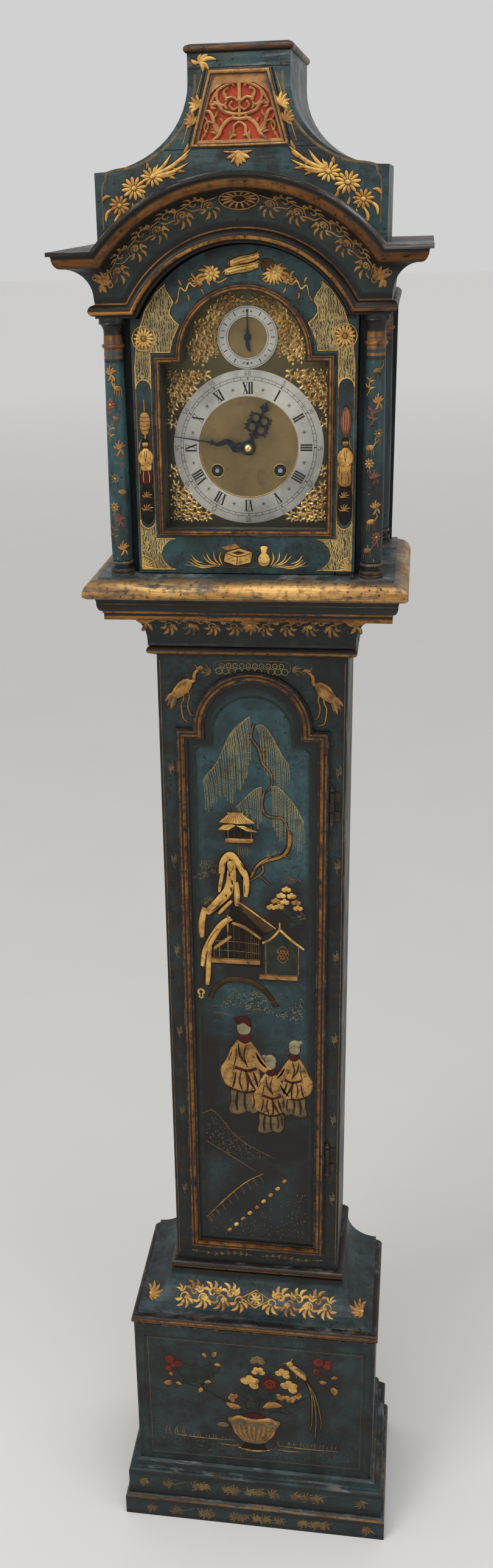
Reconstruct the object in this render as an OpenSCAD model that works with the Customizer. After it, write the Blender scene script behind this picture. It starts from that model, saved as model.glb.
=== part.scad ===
// Grandmother clock: spring-driven, hood slides forward, origin on the floor at the centre of its footprint.
// Front faces -Y, up is +Z, sizes in millimetres.

/* [Plinth] */
// How far the plinth box stands out from each side of the trunk
plinth_out = 50.5; // [46:0.5:56]
// Height of the plinth box, floor to bead
plinth_h = 310; // [240:1:360]
// Height of the lower skirt board
skirt_low_h = 34; // [20:1:50]
// How far the lower skirt board stands out from the plinth
skirt_low_out = 19; // [15:0.5:24]
// Height of the upper skirt board
skirt_up_h = 43; // [25:1:60]
// How far the upper skirt board stands out from the plinth
skirt_up_out = 14; // [6:0.5:15]
// Height of the bead on top of the plinth
plinth_bead_h = 13; // [8:1:18]
// Height of the hollow moulding between plinth and trunk
base_hollow_h = 43; // [30:1:55]

/* [Trunk] */
// Width of the trunk
trunk_w = 203; // [190:1:215]
// Depth of the trunk from its face to the back of the case
trunk_depth = 130; // [120:1:150]
// Height of the trunk face between its two beads
trunk_h = 800; // [700:1:900]
// Thickness of the sides and plinth boards
board_t = 12; // [9:0.5:14]
// Thickness of the front frame of the trunk
frame_t = 16; // [12:0.5:18]
// Thickness of the backboard
back_t = 8; // [6:0.5:10]
// Height of the half-round beads at both ends of the trunk
bead_h = 11; // [8:0.5:14]

/* [Trunk door] */
// Width of the frame left showing beside the door moulding
door_margin = 18; // [14:0.5:22]
// Height of the frame left showing below the door moulding
door_foot = 23; // [15:1:40]
// Radius of the arch of the door moulding
door_arch_r = 65; // [50:0.5:70]
// Height of the frame left showing above the arch
door_head = 15; // [10:1:30]
// Thickness of the door panel
door_t = 15; // [12:0.5:17]
// Width of the moulding round the door
door_mould_w = 13; // [10:0.5:16]
// How far the door moulding stands out from the trunk face
door_mould_out = 6; // [4:0.5:8]
// Height of the lower hinge above the foot of the door
hinge_low_up = 145; // [100:5:250]
// Depth of the upper hinge below the middle of the arch
hinge_high_down = 87; // [60:1:150]
// Height of the lock above the foot of the door
lock_up = 360; // [300:5:400]
// How far the door opens
door_swing = 100; // [60:5:105]

/* [Throat] */
// Height of the hollow under the hood
throat_hollow_h = 38; // [30:1:48]
// How far the hollow flares out from the trunk
throat_out = 45; // [36:0.5:48]
// Height of the flat edge at the top of the throat
throat_edge_h = 8; // [5:0.5:12]

/* [Hood] */
// How far the frieze of the hood stands out from each side of the trunk
hood_out = 36; // [35:0.5:41]
// How far the frieze stands ahead of the trunk face
hood_forward = 60.6; // [50:0.2:75]
// Height of the cyma moulding under the hood
cyma_h = 20; // [14:1:26]
// Height of the hood base above the cyma
hood_base_h = 20; // [16:1:26]
// Radius of the quarter round on the hood base
ovolo_r = 13; // [9:0.5:15]
// Height of the columns
column_h = 246; // [230:1:260]
// Radius of the column shafts at the foot
column_r = 10.5; // [8:0.25:11]
// Height of the architrave above the columns
architrave_h = 14; // [11:0.5:18]
// Height of the hollow frieze
frieze_h = 31; // [24:0.5:38]
// Height of the cornice moulding
cornice_h = 15; // [12:0.5:20]
// How far the cornice stands out from the frieze
cornice_out = 36; // [30:0.5:42]
// Depth of the arch centre below the foot of the architrave
arch_drop = 46; // [38:0.5:52]
// Thickness of the entablature wall
hood_wall = 12; // [10:0.5:14]
// Thickness of the hood side boards
hood_side_t = 8; // [6:0.5:10]
// How far the hood slides forward
hood_travel = 200; // [120:10:240]

/* [Hood door] */
// Thickness of the hood door
hood_door_t = 14; // [11:0.5:15]
// Width of the dial opening in the door
sight_w = 159; // [150:0.5:162]
// Height of the dial opening above the hood base
sight_up = 45.5; // [43:0.5:48]
// Height of the straight part of the dial opening
sight_h = 158; // [152:1:162]
// Radius of the arch of the dial opening
sight_r = 59; // [56:0.5:63]
// Height of the arch centre above the shoulders of the dial opening
sight_rise = 5; // [3:0.5:8]
// Width of the moulding round the dial opening
sight_mould_w = 7; // [5:0.5:9]
// How far the moulding round the dial opening stands out
sight_mould_out = 3; // [2:0.5:5]
// How far the hood door opens
hood_door_swing = 90; // [60:5:95]

/* [Cap] */
// How far the cap stands in from each side of the frieze
cap_inset = 5.5; // [2:0.5:12]
// Height of the upright foot of the cap
cap_foot_h = 65; // [55:1:80]
// Height of the hollow curve of the cap
cap_curve_h = 71; // [55:1:85]
// Height of the upright neck above the curve
cap_neck_h = 21; // [14:1:30]
// Width of the cap at its neck
cap_neck_w = 90; // [80:1:110]
// Height of the moulding on top of the cap
cap_mould_h = 8; // [6:0.5:12]
// Thickness of the cap's boards
cap_t = 7; // [5:0.5:9]

/* [Dial] */
// Width of the dial plate
dial_w = 164; // [160:0.5:170]
// Thickness of the dial plate
dial_t = 2; // [1.5:0.25:3]
// Outer diameter of the chapter ring
chapter_d = 149; // [136:0.5:150]
// Width of the band of the chapter ring
chapter_band = 25; // [20:0.5:27]
// Outer diameter of the strike and silent ring
sub_d = 58; // [50:0.5:60]
// Width of the band of the strike and silent ring
sub_band = 10; // [7:0.5:12]
// Thickness of the silvered rings
ring_t = 1.5; // [1:0.25:2]
// Distance from a winding square to the middle plane
wind_x = 31.4; // [31:0.1:33]
// Depth of the winding squares below the dial centre
wind_drop = 22.5; // [21:0.25:24]
// Minutes past twelve shown by the hands
shown_minutes = 46.5; // [0:0.5:59.5]

/* [Movement] */
// Width of the movement plates
plate_w = 116; // [112:1:124]
// Height of the movement plates
plate_h = 128; // [124:1:136]
// Thickness of the movement plates
plate_t = 3; // [2.5:0.25:4]
// Distance from the dial centre down to the line that places the pillars
plate_drop = 54.5; // [52:0.5:56]
// Height of the seat board above the hood base
seat_up = 33; // [30:1:36]
// Distance between the movement plates
plate_gap = 50; // [48:0.5:54]
// Length from the pendulum's pivot to the centre of its bob
pendulum_l = 690; // [640:5:760]
// Radius of the pendulum bob
bob_r = 42; // [34:1:46]
// Half angle of the pendulum's swing
swing = 3; // [2:0.5:3.5]
// Radius of the spring barrels
barrel_r = 19; // [16:0.5:20]
// Width of the gong block
gong_w = 32; // [30:1:40]
// Height of the gong block
gong_h = 26; // [20:1:32]
// Height of the gong block above the seat board
gong_up = 14; // [10:1:20]
// Length of the longest gong rod
gong_l = 380; // [300:10:420]

/* [Hidden] */

// Clearance between pieces that move past each other
gap = 0.3;
// Radial clearance of a shaft in its hole
run = 0.05;
// Overlap that keeps a cut clean
over = 1;
// Thickness of the seat board
seat_t = 16;
// Half size of the key that joins the arched and straight mouldings at their mitre
key = 3;

// Depths, front to back
case_depth = trunk_depth + hood_forward + cornice_out;
back_y = case_depth / 2;
frieze_y = -case_depth / 2 + cornice_out;
trunk_y = frieze_y + hood_forward;
trunk_half = trunk_w / 2;
hood_half = trunk_half + hood_out;
plinth_half = trunk_half + plinth_out;
plinth_y = trunk_y - (plinth_half - trunk_half);
inner_back_y = back_y - back_t;
hood_door_y = frieze_y + hood_wall + 3.6;
mask_y = hood_door_y + hood_door_t + 0.5;
mask_t = 14;
ring_y = mask_y + mask_t + 5.2;
dial_y = ring_y + ring_t;
dial_back_y = dial_y + dial_t;
front_plate_y = dial_back_y + 16;
train_y = front_plate_y + plate_t;
back_plate_y = train_y + plate_gap;
movement_back_y = back_plate_y + plate_t;
pendulum_y = movement_back_y + 29;
gong_y = inner_back_y - 8;

// Heights, floor upwards
hollow_z = plinth_h + plinth_bead_h;
low_bead_z = hollow_z + base_hollow_h;
trunk_z = low_bead_z + bead_h;
up_bead_z = trunk_z + trunk_h;
throat_z = up_bead_z + bead_h + 2.5;
edge_z = throat_z + throat_hollow_h;
cyma_z = edge_z + throat_edge_h + gap;
base_z = cyma_z + cyma_h;
platform_z = base_z + hood_base_h;
soffit_z = platform_z + column_h;
frieze_z = soffit_z + architrave_h;
cornice_z = frieze_z + frieze_h;
cap_z = cornice_z + cornice_h;
cap_curve_z = cap_z + cap_foot_h;
cap_neck_z = cap_curve_z + cap_curve_h;
cap_top_z = cap_neck_z + cap_neck_h;
arch_z = soffit_z - arch_drop;
sight_z = platform_z + sight_up;
shoulder_z = sight_z + sight_h;
crown_z = shoulder_z + sight_rise;
dial_z = sight_z + chapter_d / 2 - 1;
seat_z = platform_z + seat_up;
plate_z = dial_z - plate_drop;
sub_z = dial_z + chapter_d / 2 + sub_d / 2 + 0.6;

// Hood widths, outwards from the door to the frieze
column_x = hood_half - 13.5;
hood_door_half = column_x - 16.5;
arch_r = hood_door_half + 2;

// Arch geometry: the entablature's height above the soffit becomes radius round the arch
arch_shift = soffit_z - arch_r;
function mitre_x(z) = sqrt(pow(z - arch_shift, 2) - pow(z - arch_z, 2));

// Trunk door sizes
door_half = trunk_half - door_margin;
door_z = trunk_z + door_foot;
door_arch_z = up_bead_z - door_head - door_arch_r;
door_lip = 6;
frame_half = door_half - door_lip;
frame_r = door_arch_r - door_lip;
frame_foot_z = door_z + door_lip;
door_gap = 1.5;
hinge_x = door_half + 3.2;
hinge_y = trunk_y - 3.2;
knuckle_r = 2.6;
hinge_pin_r = 1.1;
hinge_h = 34;
HINGE_Z = [door_z + hinge_low_up, door_arch_z - hinge_high_down];
lock_z = door_z + lock_up;
keyhole_x = -(door_half - 21);
lock_left = -frame_half + door_gap + 4;
lock_w = 26;
lock_back = trunk_y - 1 + door_t;

// Hood sizes
platform_half = hood_half + 11;
platform_y = frieze_y - 3.4;
column_y = frieze_y + 12.7;
carcass_half = column_x - 12;
hood_inner = carcass_half - hood_side_t;
stile_y = column_y + 13;
stile_half = column_x + 8;
rear_stile_half = platform_half - 8;
rear_stile_t = 8;
rail_w = 6;
rail_h = 5;
rail_z = cyma_z + 7;
base_inner_y = mask_y + mask_t - 4;
rear_column_x = column_x + 3;
rear_column_y = back_y - rear_stile_t - 13;
pivot_x = hood_door_half - 1;
pivot_y = frieze_y + 3.7;
pivot_r = 1.5;
strap_t = 2;

// Cap sizes
cap_half = hood_half - cap_inset;
neck_half = cap_neck_w / 2;
fret_z = cap_curve_z + 21;
fret_h = 55;
fret_top_half = 22.5;
fret_low_half = 39.8;

// Movement: positions are [right, up] from the dial centre
ratio_mod = 0.65;
fine_mod = 0.5;
small_mod = 0.4;
great_teeth = 72;
inter_leaves = 12;
inter_teeth = 54;
centre_leaves = 12;
centre_teeth = 72;
third_leaves = 8;
third_teeth = 64;
escape_leaves = 8;
escape_teeth = 30;
cannon_teeth = 20;
minute_teeth = 60;
minute_leaves = 16;
hour_teeth = 64;
CENTRE = [0, 0];
GOING = [wind_x, -wind_drop];
STRIKE = [-wind_x, -wind_drop];
function centres(a, b, mod) = (a + b) * mod / 2;
// Point at distance ra from a and rb from b, on the side given by 1 or -1
function meet(a, b, ra, rb, side) =
    let (d = norm(b - a), u = (b - a) / d, t = (ra * ra - rb * rb + d * d) / (2 * d),
        h = sqrt(max(ra * ra - t * t, 0)))
    a + u * t + side * h * [-u[1], u[0]];
INTER = meet(CENTRE, GOING, centres(inter_teeth, centre_leaves, fine_mod),
    centres(great_teeth, inter_leaves, ratio_mod), 1);
PIN = [-INTER[0], INTER[1]];
third_reach = centres(centre_teeth, third_leaves, small_mod);
THIRD = [-5, sqrt(third_reach * third_reach - 25)];
escape_reach = centres(third_teeth, escape_leaves, small_mod);
ESCAPE = [0, THIRD[1] + sqrt(escape_reach * escape_reach - THIRD[0] * THIRD[0])];
escape_r = 12;
PALLET = [0, ESCAPE[1] + 17.3];
MOTION = centres(cannon_teeth, minute_teeth, fine_mod) * [cos(35), -sin(35)];
HAMMER = [-50, 34];
function angle_to(a, b) = atan2(b[1] - a[1], b[0] - a[0]);

// Places of the wheels along the arbors, measured back from the front plate
inter_at = 2.5;
pin_at = 6;
great_at = 9.5;
drum_at = great_at + 3;
drum_l = 20;
centre_at = 37;
third_at = 41.5;
escape_at = 46;
wheel_t = 1.6;
arbor_r = 1.2;
barrel_arbor_r = 3;
pipe_r = 2.4;
hour_pipe_r = 4.2;
minute_angle = shown_minutes * 6;
hour_angle = shown_minutes / 2;
hour_hand_y = ring_y - 1.4;
minute_hand_y = hour_hand_y - 2.6;
hand_t = 1;
pivot_z = dial_z + PALLET[1];

// Points of an elliptical arc
function arc(cx, cy, rx, ry, a0, a1, n = 8) =
    [for (i = [0 : n]) let (a = a0 + (a1 - a0) * i / n) [cx + rx * cos(a), cy + ry * sin(a)]];

// Bar along X, Y or Z given by its two opposite corners
module block(a, b) {
    translate([min(a[0], b[0]), min(a[1], b[1]), min(a[2], b[2])])
        cube([abs(b[0] - a[0]), abs(b[1] - a[1]), abs(b[2] - a[2])]);
}

// Shape drawn in the XZ plane and made thick from y0 to y1
module upright(y0, y1) {
    translate([0, y1, 0]) rotate([90, 0, 0]) linear_extrude(height = y1 - y0) children();
}

// Round bar along Y
module rod_y(x, z, r, y0, y1) {
    translate([x, y1, z]) rotate([90, 0, 0]) cylinder(r = r, h = y1 - y0, $fn = 40);
}

module both_sides() {
    for (s = [-1, 1]) scale([s, 1, 1]) children();
}

// Moulding mitred round the front and both sides; profile points are [outwards, height]
module mitred(profile, half, front, back, front_scale = 1) {
    outs = [for (p = profile) p[0]];
    ups = [for (p = profile) p[1]];
    reach = max(outs) + over;
    inset = -min(outs) + over;
    low = min(ups) - over;
    high = max(ups) + over;
    intersection() {
        translate([-half - reach, 0, 0]) rotate([90, 0, 90]) linear_extrude(height = 2 * (half + reach))
            polygon([for (p = profile) [front - p[0] * front_scale, p[1]]]);
        translate([0, 0, low]) linear_extrude(height = high - low)
            polygon([[-half - reach, front - reach * front_scale], [half + reach, front - reach * front_scale],
                [half - inset, front + inset * front_scale], [inset - half, front + inset * front_scale]]);
    }
    for (s = [-1, 1]) intersection() {
        translate([0, back, 0]) rotate([90, 0, 0])
            linear_extrude(height = back - front + reach * front_scale)
            polygon([for (p = profile) [s * (half + p[0]), p[1]]]);
        translate([0, 0, low]) linear_extrude(height = high - low)
            polygon([[s * (half - inset), front + inset * front_scale],
                [s * (half + reach), front - reach * front_scale],
                [s * (half + reach), back + over], [s * (half - inset), back + over]]);
    }
}

// Region above the mitre between the arch and the straight entablature
module arch_zone(z0, z1, y0, y1) {
    steps = 8;
    edge = [for (i = [0 : steps]) let (z = z0 + (z1 - z0) * i / steps) [mitre_x(z), z]];
    top = arch_z + arch_r + z1;
    wide = mitre_x(z1);
    upright(y0, y1) polygon(concat([for (p = edge) [-p[0], p[1]]], [[-wide, top], [wide, top]],
        [for (i = [steps : -1 : 0]) edge[i]]));
}

// Moulding that runs along both sides, across the front and up over the arch
module entablature(profile) {
    ups = [for (p = profile) p[1]];
    outs = [for (p = profile) p[0]];
    z0 = min(ups);
    z1 = max(ups);
    y0 = frieze_y - max(outs) - over;
    y1 = frieze_y + hood_wall;
    difference() {
        mitred(profile, hood_half, frieze_y, back_y);
        arch_zone(z0, z1, y0, y1 + 0.01);
        block([-mitre_x(z0), y0, z0 - over], [mitre_x(z0), y1 + 0.01, z0 + 0.5]);
    }
    intersection() {
        translate([0, 0, arch_z]) rotate([90, 0, 0]) rotate_extrude($fn = 120)
            polygon([for (p = profile) [p[1] - arch_shift, p[0] - frieze_y]]);
        arch_zone(z0, z1, y0, y1 + over);
    }
    mid = (z0 + z1) / 2;
    both_sides() block([mitre_x(mid) - key, frieze_y + 2, mid - key],
        [mitre_x(mid) + key, frieze_y + hood_wall - 2, mid + key]);
}

// Round-headed outline: a straight-sided field with an arch on top
module arched(half, foot, shoulder, r, centre_z) {
    translate([-half, foot]) square([2 * half, shoulder - foot]);
    translate([-r, foot]) square([2 * r, centre_z - foot]);
    translate([0, centre_z]) circle(r = r, $fn = 96);
}

// Toothed wheel lying in the XZ plane; teeth are straight sided and run with play
module wheel(pos, teeth, mod, phase, y0, thick, bore = 0, leaf = 0) {
    pitch = 360 / teeth;
    r = teeth * mod / 2;
    tip = r + mod * (leaf > 0 ? 0.75 : 0.85);
    root = r - mod * (leaf > 0 ? 1.2 : 1.1);
    wide = leaf > 0 ? 0.2 : 0.27;
    narrow = leaf > 0 ? 0.1 : 0.09;
    translate([pos[0], y0 + thick, dial_z + pos[1]]) rotate([90, 0, 0]) difference() {
        linear_extrude(height = thick) polygon([for (i = [0 : teeth - 1], c = [[-wide, root], [-narrow, tip],
            [narrow, tip], [wide, root]])
            let (a = phase + (i + c[0]) * pitch) c[1] * [cos(a), sin(a)]]);
        if (bore > 0) translate([0, 0, -over]) cylinder(r = bore, h = thick + 2 * over, $fn = 40);
    }
}

module arbor(pos, r, y0, y1) {
    rod_y(pos[0], dial_z + pos[1], r, y0, y1);
}

lacquer = "#20424a";
dark_lacquer = "#1b2a2c";
gilt = "#a9763a";
brass_colour = "#c2a25a";
steel = "#8c9096";
blued = "#1c2030";
bare_wood = "#7a5a3a";

module backboard() {
    color(bare_wood) {
        block([-trunk_half, inner_back_y, plinth_h], [trunk_half, back_y, cap_z - over]);
        block([-plinth_half + board_t, inner_back_y, 0], [plinth_half - board_t, back_y, plinth_h]);
    }
}

module trunk_sides() {
    color(lacquer) both_sides() {
        block([trunk_half - board_t, trunk_y + frame_t, plinth_h], [trunk_half, inner_back_y, seat_z]);
    }
}

module trunk_front() {
    color(lacquer) upright(trunk_y, trunk_y + frame_t) difference() {
        translate([-trunk_half, low_bead_z]) square([trunk_w, cyma_z - gap - low_bead_z]);
        arched(frame_half, frame_foot_z, door_arch_z - door_lip, frame_r, door_arch_z);
    }
}

module throat_moulding() {
    foot = throat_out * 0.17;
    color(dark_lacquer) mitred(concat([[0, throat_z], [foot, throat_z]],
        arc(throat_out * 0.62, throat_z + 4, throat_out * 0.45, throat_hollow_h - 7, 180, 90, 8),
        [[throat_out - 1, edge_z], [throat_out, edge_z], [throat_out, edge_z + throat_edge_h],
            [0, edge_z + throat_edge_h]]), trunk_half, trunk_y, back_y);
}

// Half-round bead profile with a flat fillet on each side
function bead(foot, h, out) = concat([[0, foot], [out * 0.35, foot]],
    arc(out * 0.35, foot + h / 2, out * 0.65, h * 0.42, -90, 90, 8), [[out * 0.35, foot + h], [0, foot + h]]);

module gilt_beads() {
    color(gilt) {
        mitred(bead(up_bead_z + 2.5, bead_h, 9.5), trunk_half, trunk_y, back_y);
        mitred(bead(low_bead_z, bead_h, 8), trunk_half, trunk_y, back_y);
        mitred([for (p = bead(plinth_h, plinth_bead_h, 7)) [p[0] <= 0 ? -board_t - 2 : p[0] - 4, p[1]]],
            plinth_half, plinth_y, back_y);
    }
}

module base_moulding() {
    spread = plinth_half - trunk_half;
    color(lacquer) mitred(concat([[0, hollow_z], [spread - 5, hollow_z], [spread - 5, hollow_z + 2]],
        arc(spread - 5, low_bead_z - 4, spread - 12, base_hollow_h - 9, 270, 180, 8),
        [[7, low_bead_z], [0, low_bead_z]]), trunk_half, trunk_y, back_y);
}

module plinth_boards() {
    color(lacquer) {
        block([-plinth_half, plinth_y, 0], [plinth_half, plinth_y + board_t, plinth_h]);
        both_sides() block([plinth_half - board_t, plinth_y + board_t, 0], [plinth_half, back_y, plinth_h]);
        block([-plinth_half + board_t, plinth_y + board_t, 0], [plinth_half - board_t, inner_back_y, board_t]);
    }
}

module skirt_upper() {
    top = skirt_low_h + skirt_up_h;
    color(lacquer) mitred(concat([[0, skirt_low_h], [skirt_up_out, skirt_low_h], [skirt_up_out, top - 7]],
        arc(skirt_up_out - 5, top - 7, 5, 4, 0, 90, 5), [[skirt_up_out - 8, top - 2], [skirt_up_out - 10, top + 4],
        [0, top + 6]]), plinth_half, plinth_y, back_y);
}

module skirt_lower() {
    color(lacquer) mitred(concat([[0, 0], [skirt_low_out, 0], [skirt_low_out, skirt_low_h - 6]],
        arc(skirt_low_out - 5, skirt_low_h - 6, 5, 6, 0, 90, 5), [[0, skirt_low_h]]), plinth_half, plinth_y, back_y);
}

module seat_board() {
    color(bare_wood)
        block([-trunk_half, front_plate_y - 4, seat_z], [trunk_half, movement_back_y + 12, seat_z + seat_t]);
}

module hood_rails() {
    color(bare_wood) both_sides()
        block([trunk_half, trunk_y + 20, rail_z], [trunk_half + rail_w, inner_back_y, rail_z + rail_h]);
}

// Turned finial and knuckle stack of a hinge, with the middle third left for the door leaf
module trunk_hinge_leaves() {
    color("#3a2f28") for (z = HINGE_Z) {
        for (part = [[-hinge_h / 2, hinge_h / 3 - gap], [hinge_h / 6 + gap, hinge_h / 3 - gap]]) {
            translate([hinge_x, hinge_y, z + part[0]]) cylinder(r = knuckle_r, h = part[1], $fn = 40);
            block([hinge_x, trunk_y - 1.2, z + part[0]], [hinge_x + 9, trunk_y, z + part[0] + part[1]]);
            block([hinge_x - 0.6, hinge_y + 1.5, z + part[0]],
                [hinge_x + 0.8, trunk_y - 0.1, z + part[0] + part[1]]);
        }
        translate([hinge_x, hinge_y, z - hinge_h / 2]) cylinder(r = hinge_pin_r, h = hinge_h, $fn = 40);
        for (s = [-1, 1]) {
            translate([hinge_x, hinge_y, z + s * (hinge_h / 2 + 3)]) sphere(r = 2.9, $fn = 32);
            translate([hinge_x, hinge_y, z + s * (hinge_h / 2 + 6.5)]) sphere(r = 1.6, $fn = 32);
        }
    }
}

module dial_plate() {
    color(brass_colour) difference() {
        upright(dial_y, dial_back_y)
            arched(dial_w / 2, sight_z - 6, shoulder_z + 3, sight_r + 4, crown_z);
        rod_y(0, dial_z, hour_pipe_r + 0.4, dial_y - over, dial_back_y + over);
        rod_y(0, sub_z, arbor_r + run, dial_y - over, dial_back_y + over);
        for (p = [GOING, STRIKE]) rod_y(p[0], dial_z + p[1], 5, dial_y - over, dial_back_y + over);
    }
}

module ring(x, z, r_out, r_in, y0, y1) {
    difference() {
        rod_y(x, z, r_out, y0, y1);
        rod_y(x, z, r_in, y0 - over, y1 + over);
    }
}

module chapter_rings() {
    color("#c9ccd0") {
        ring(0, dial_z, chapter_d / 2, chapter_d / 2 - chapter_band, ring_y, dial_y);
        ring(0, sub_z, sub_d / 2, sub_d / 2 - sub_band, ring_y, dial_y);
    }
}

// Cast corner ornament: scrolls in a rough triangle that follows the chapter ring
module spandrels() {
    edge = sight_w / 2 - 1;
    reach = chapter_d / 2 + 2;
    color(brass_colour) {
        for (sx = [-1, 1], sz = [-1, 1]) {
            difference() {
                intersection() {
                    block([sx * 22, ring_y + 0.3, dial_z + sz * 22],
                        [sx * edge, dial_y, dial_z + sz * (sz > 0 ? edge - 4 : 72)]);
                    ring(0, dial_z, edge * 1.42, reach, ring_y, dial_y + over);
                }
                rod_y(0, sub_z, sub_d / 2 + 1.5, ring_y - over, dial_y + over);
                for (k = [0 : 2]) rod_y(sx * (edge - 8 - 7 * k), dial_z + sz * (60 - 5 * k), 1.6,
                    ring_y - over, dial_y + over);
            }
        }
        for (sx = [-1, 1]) difference() {
            intersection() {
                block([sx * 6, ring_y + 0.3, shoulder_z - 1], [sx * (sight_r - 2), dial_y, shoulder_z + 48]);
                rod_y(0, crown_z, sight_r - 2, ring_y, dial_y + over);
            }
            rod_y(0, sub_z, sub_d / 2 + 1.5, ring_y - over, dial_y + over);
            for (k = [0 : 2]) rod_y(sx * (36 + 5 * k), shoulder_z + 24 - 6 * k, 1.8, ring_y - over, dial_y + over);
        }
    }
}

// Every arbor hole in the plates: [position, shaft radius]
ARBORS = [[CENTRE, arbor_r], [GOING, barrel_arbor_r], [STRIKE, barrel_arbor_r], [INTER, arbor_r],
    [PIN, arbor_r], [THIRD, arbor_r], [ESCAPE, arbor_r], [PALLET, arbor_r], [HAMMER, arbor_r]];

module movement_plates() {
    color(brass_colour) for (y = [front_plate_y, back_plate_y]) difference() {
        block([-plate_w / 2, y, seat_z + seat_t], [plate_w / 2, y + plate_t, plate_z + plate_h]);
        for (a = ARBORS) rod_y(a[0][0], dial_z + a[0][1], a[1] + run, y - over, y + plate_t + over);
    }
}

module pillars_and_feet() {
    color(brass_colour) for (sx = [-1, 1]) {
        for (z = [plate_z + 8, plate_z + plate_h - 8])
            rod_y(sx * (plate_w / 2 - 4.5), z, 3.5, train_y, back_plate_y);
        for (z = [plate_z + 12, plate_z + plate_h - 14])
            rod_y(sx * (plate_w / 2 - 5), z, 2.5, dial_back_y, front_plate_y);
    }
    color(brass_colour) rod_y(MOTION[0], dial_z + MOTION[1], 1.5, front_plate_y - 9, front_plate_y);
}

// Bracket behind the movement that carries the pendulum on a stud
module back_cock() {
    color(brass_colour) {
        block([-16, movement_back_y, pivot_z + 5], [16, movement_back_y + 3, plate_z + plate_h - 2]);
        block([-7, movement_back_y, pivot_z + 5], [7, pendulum_y + 6, pivot_z + 9]);
        block([-3, pendulum_y + 4, pivot_z - 2], [3, pendulum_y + 6, pivot_z + 5]);
        rod_y(0, pivot_z, 1.5, pendulum_y - 4, pendulum_y + 5);
    }
}

gong_z = seat_z + seat_t + gong_up;
gong_x = -22;
GONG_X = [gong_x - gong_w * 0.25, gong_x - gong_w * 0.5625, gong_x - gong_w * 0.875];

module rod_gong() {
    color("#4a4a4c") {
        block([gong_x - gong_w, gong_y - 6, gong_z], [gong_x, inner_back_y, gong_z + gong_h]);
        for (i = [0 : 2]) translate([GONG_X[i], gong_y, gong_z - gong_l + 25 * i])
            cylinder(r = 2.5, h = gong_l + 1 - 25 * i, $fn = 32);
    }
}

module trunk_door_panel() {
    half = frame_half - door_gap;
    r = frame_r - door_gap;
    color(lacquer) upright(trunk_y - 1, trunk_y - 1 + door_t)
        arched(half, frame_foot_z + door_gap, door_arch_z - door_lip - door_gap, r, door_arch_z);
}

// Door moulding: an outer roll that laps over the frame and an inner step down to the panel
module trunk_door_moulding() {
    module band(outer, inner, y0, y1) {
        upright(y0, y1) difference() {
            arched(door_half - outer, door_z + outer, door_arch_z - outer, door_arch_r - outer, door_arch_z);
            arched(door_half - inner, door_z + inner, door_arch_z - inner, door_arch_r - inner, door_arch_z);
        }
    }
    w = door_mould_w;
    color(gilt) {
        band(0, door_lip + door_gap, trunk_y - door_mould_out + 1.5, trunk_y - gap);
        band(1.5, w - 5, trunk_y - door_mould_out, trunk_y - door_mould_out + 1.5);
        band(door_lip + door_gap, w - 3.5, trunk_y - door_mould_out + 1.5, trunk_y - 1);
        band(w - 3.5, w, trunk_y - 3, trunk_y - 1);
    }
}

module trunk_door_hinges() {
    third = hinge_h / 3;
    color("#3a2f28") for (z = HINGE_Z) {
        translate([hinge_x, hinge_y, z - third / 2 + gap]) difference() {
            cylinder(r = knuckle_r, h = third - 2 * gap, $fn = 40);
            translate([0, 0, -over]) cylinder(r = hinge_pin_r + run, h = third + 2 * over, $fn = 40);
        }
        block([door_half, hinge_y - 0.7, z - third / 2 + gap],
            [hinge_x - hinge_pin_r - 0.5, hinge_y + 0.7, z + third / 2 - gap]);
    }
}

module lock_case() {
    color(steel) difference() {
        block([lock_left, lock_back, lock_z - 20], [lock_left + lock_w, lock_back + 8, lock_z + 20]);
        block([lock_left - over, lock_back + 2, lock_z - 5.4],
            [lock_left + lock_w - 4, lock_back + 5.4, lock_z + 5.4]);
        rod_y(keyhole_x, lock_z + 10, 2, lock_back - over, lock_back + 8 + over);
    }
}

// Small shield round the keyhole
module escutcheon() {
    color(brass_colour) difference() {
        union() {
            rod_y(keyhole_x, lock_z + 10, 4.5, trunk_y - 1.8, trunk_y - 1);
            rod_y(keyhole_x, lock_z + 4, 3, trunk_y - 1.8, trunk_y - 1);
        }
        rod_y(keyhole_x, lock_z + 10, 2, trunk_y - 2 - over, trunk_y);
        block([keyhole_x - 0.9, trunk_y - 2 - over, lock_z + 3], [keyhole_x + 0.9, trunk_y, lock_z + 10]);
    }
}

module lock_bolt() {
    color(steel)
        block([lock_left + 0.5, lock_back + 2.2, lock_z - 5], [lock_left + lock_w - 5, lock_back + 5.2, lock_z + 5]);
}

module hood_base() {
    color(gilt) difference() {
        mitred(concat([[-platform_half + hood_inner, base_z], [ovolo_r - 4, base_z], [ovolo_r, base_z + 3]],
            arc(0, platform_z - 2 - ovolo_r, ovolo_r, ovolo_r, 0, 90, 8),
            [[-1.5, platform_z - 2], [-1.5, platform_z], [-platform_half + hood_inner, platform_z]]),
            platform_half, platform_y, back_y);
        translate([pivot_x, pivot_y, platform_z - 6]) cylinder(r = pivot_r + run, h = 12, $fn = 32);
    }
    color(gilt)
        block([-hood_inner, platform_y + (platform_half - hood_inner), base_z], [hood_inner, base_inner_y, platform_z]);
}

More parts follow.
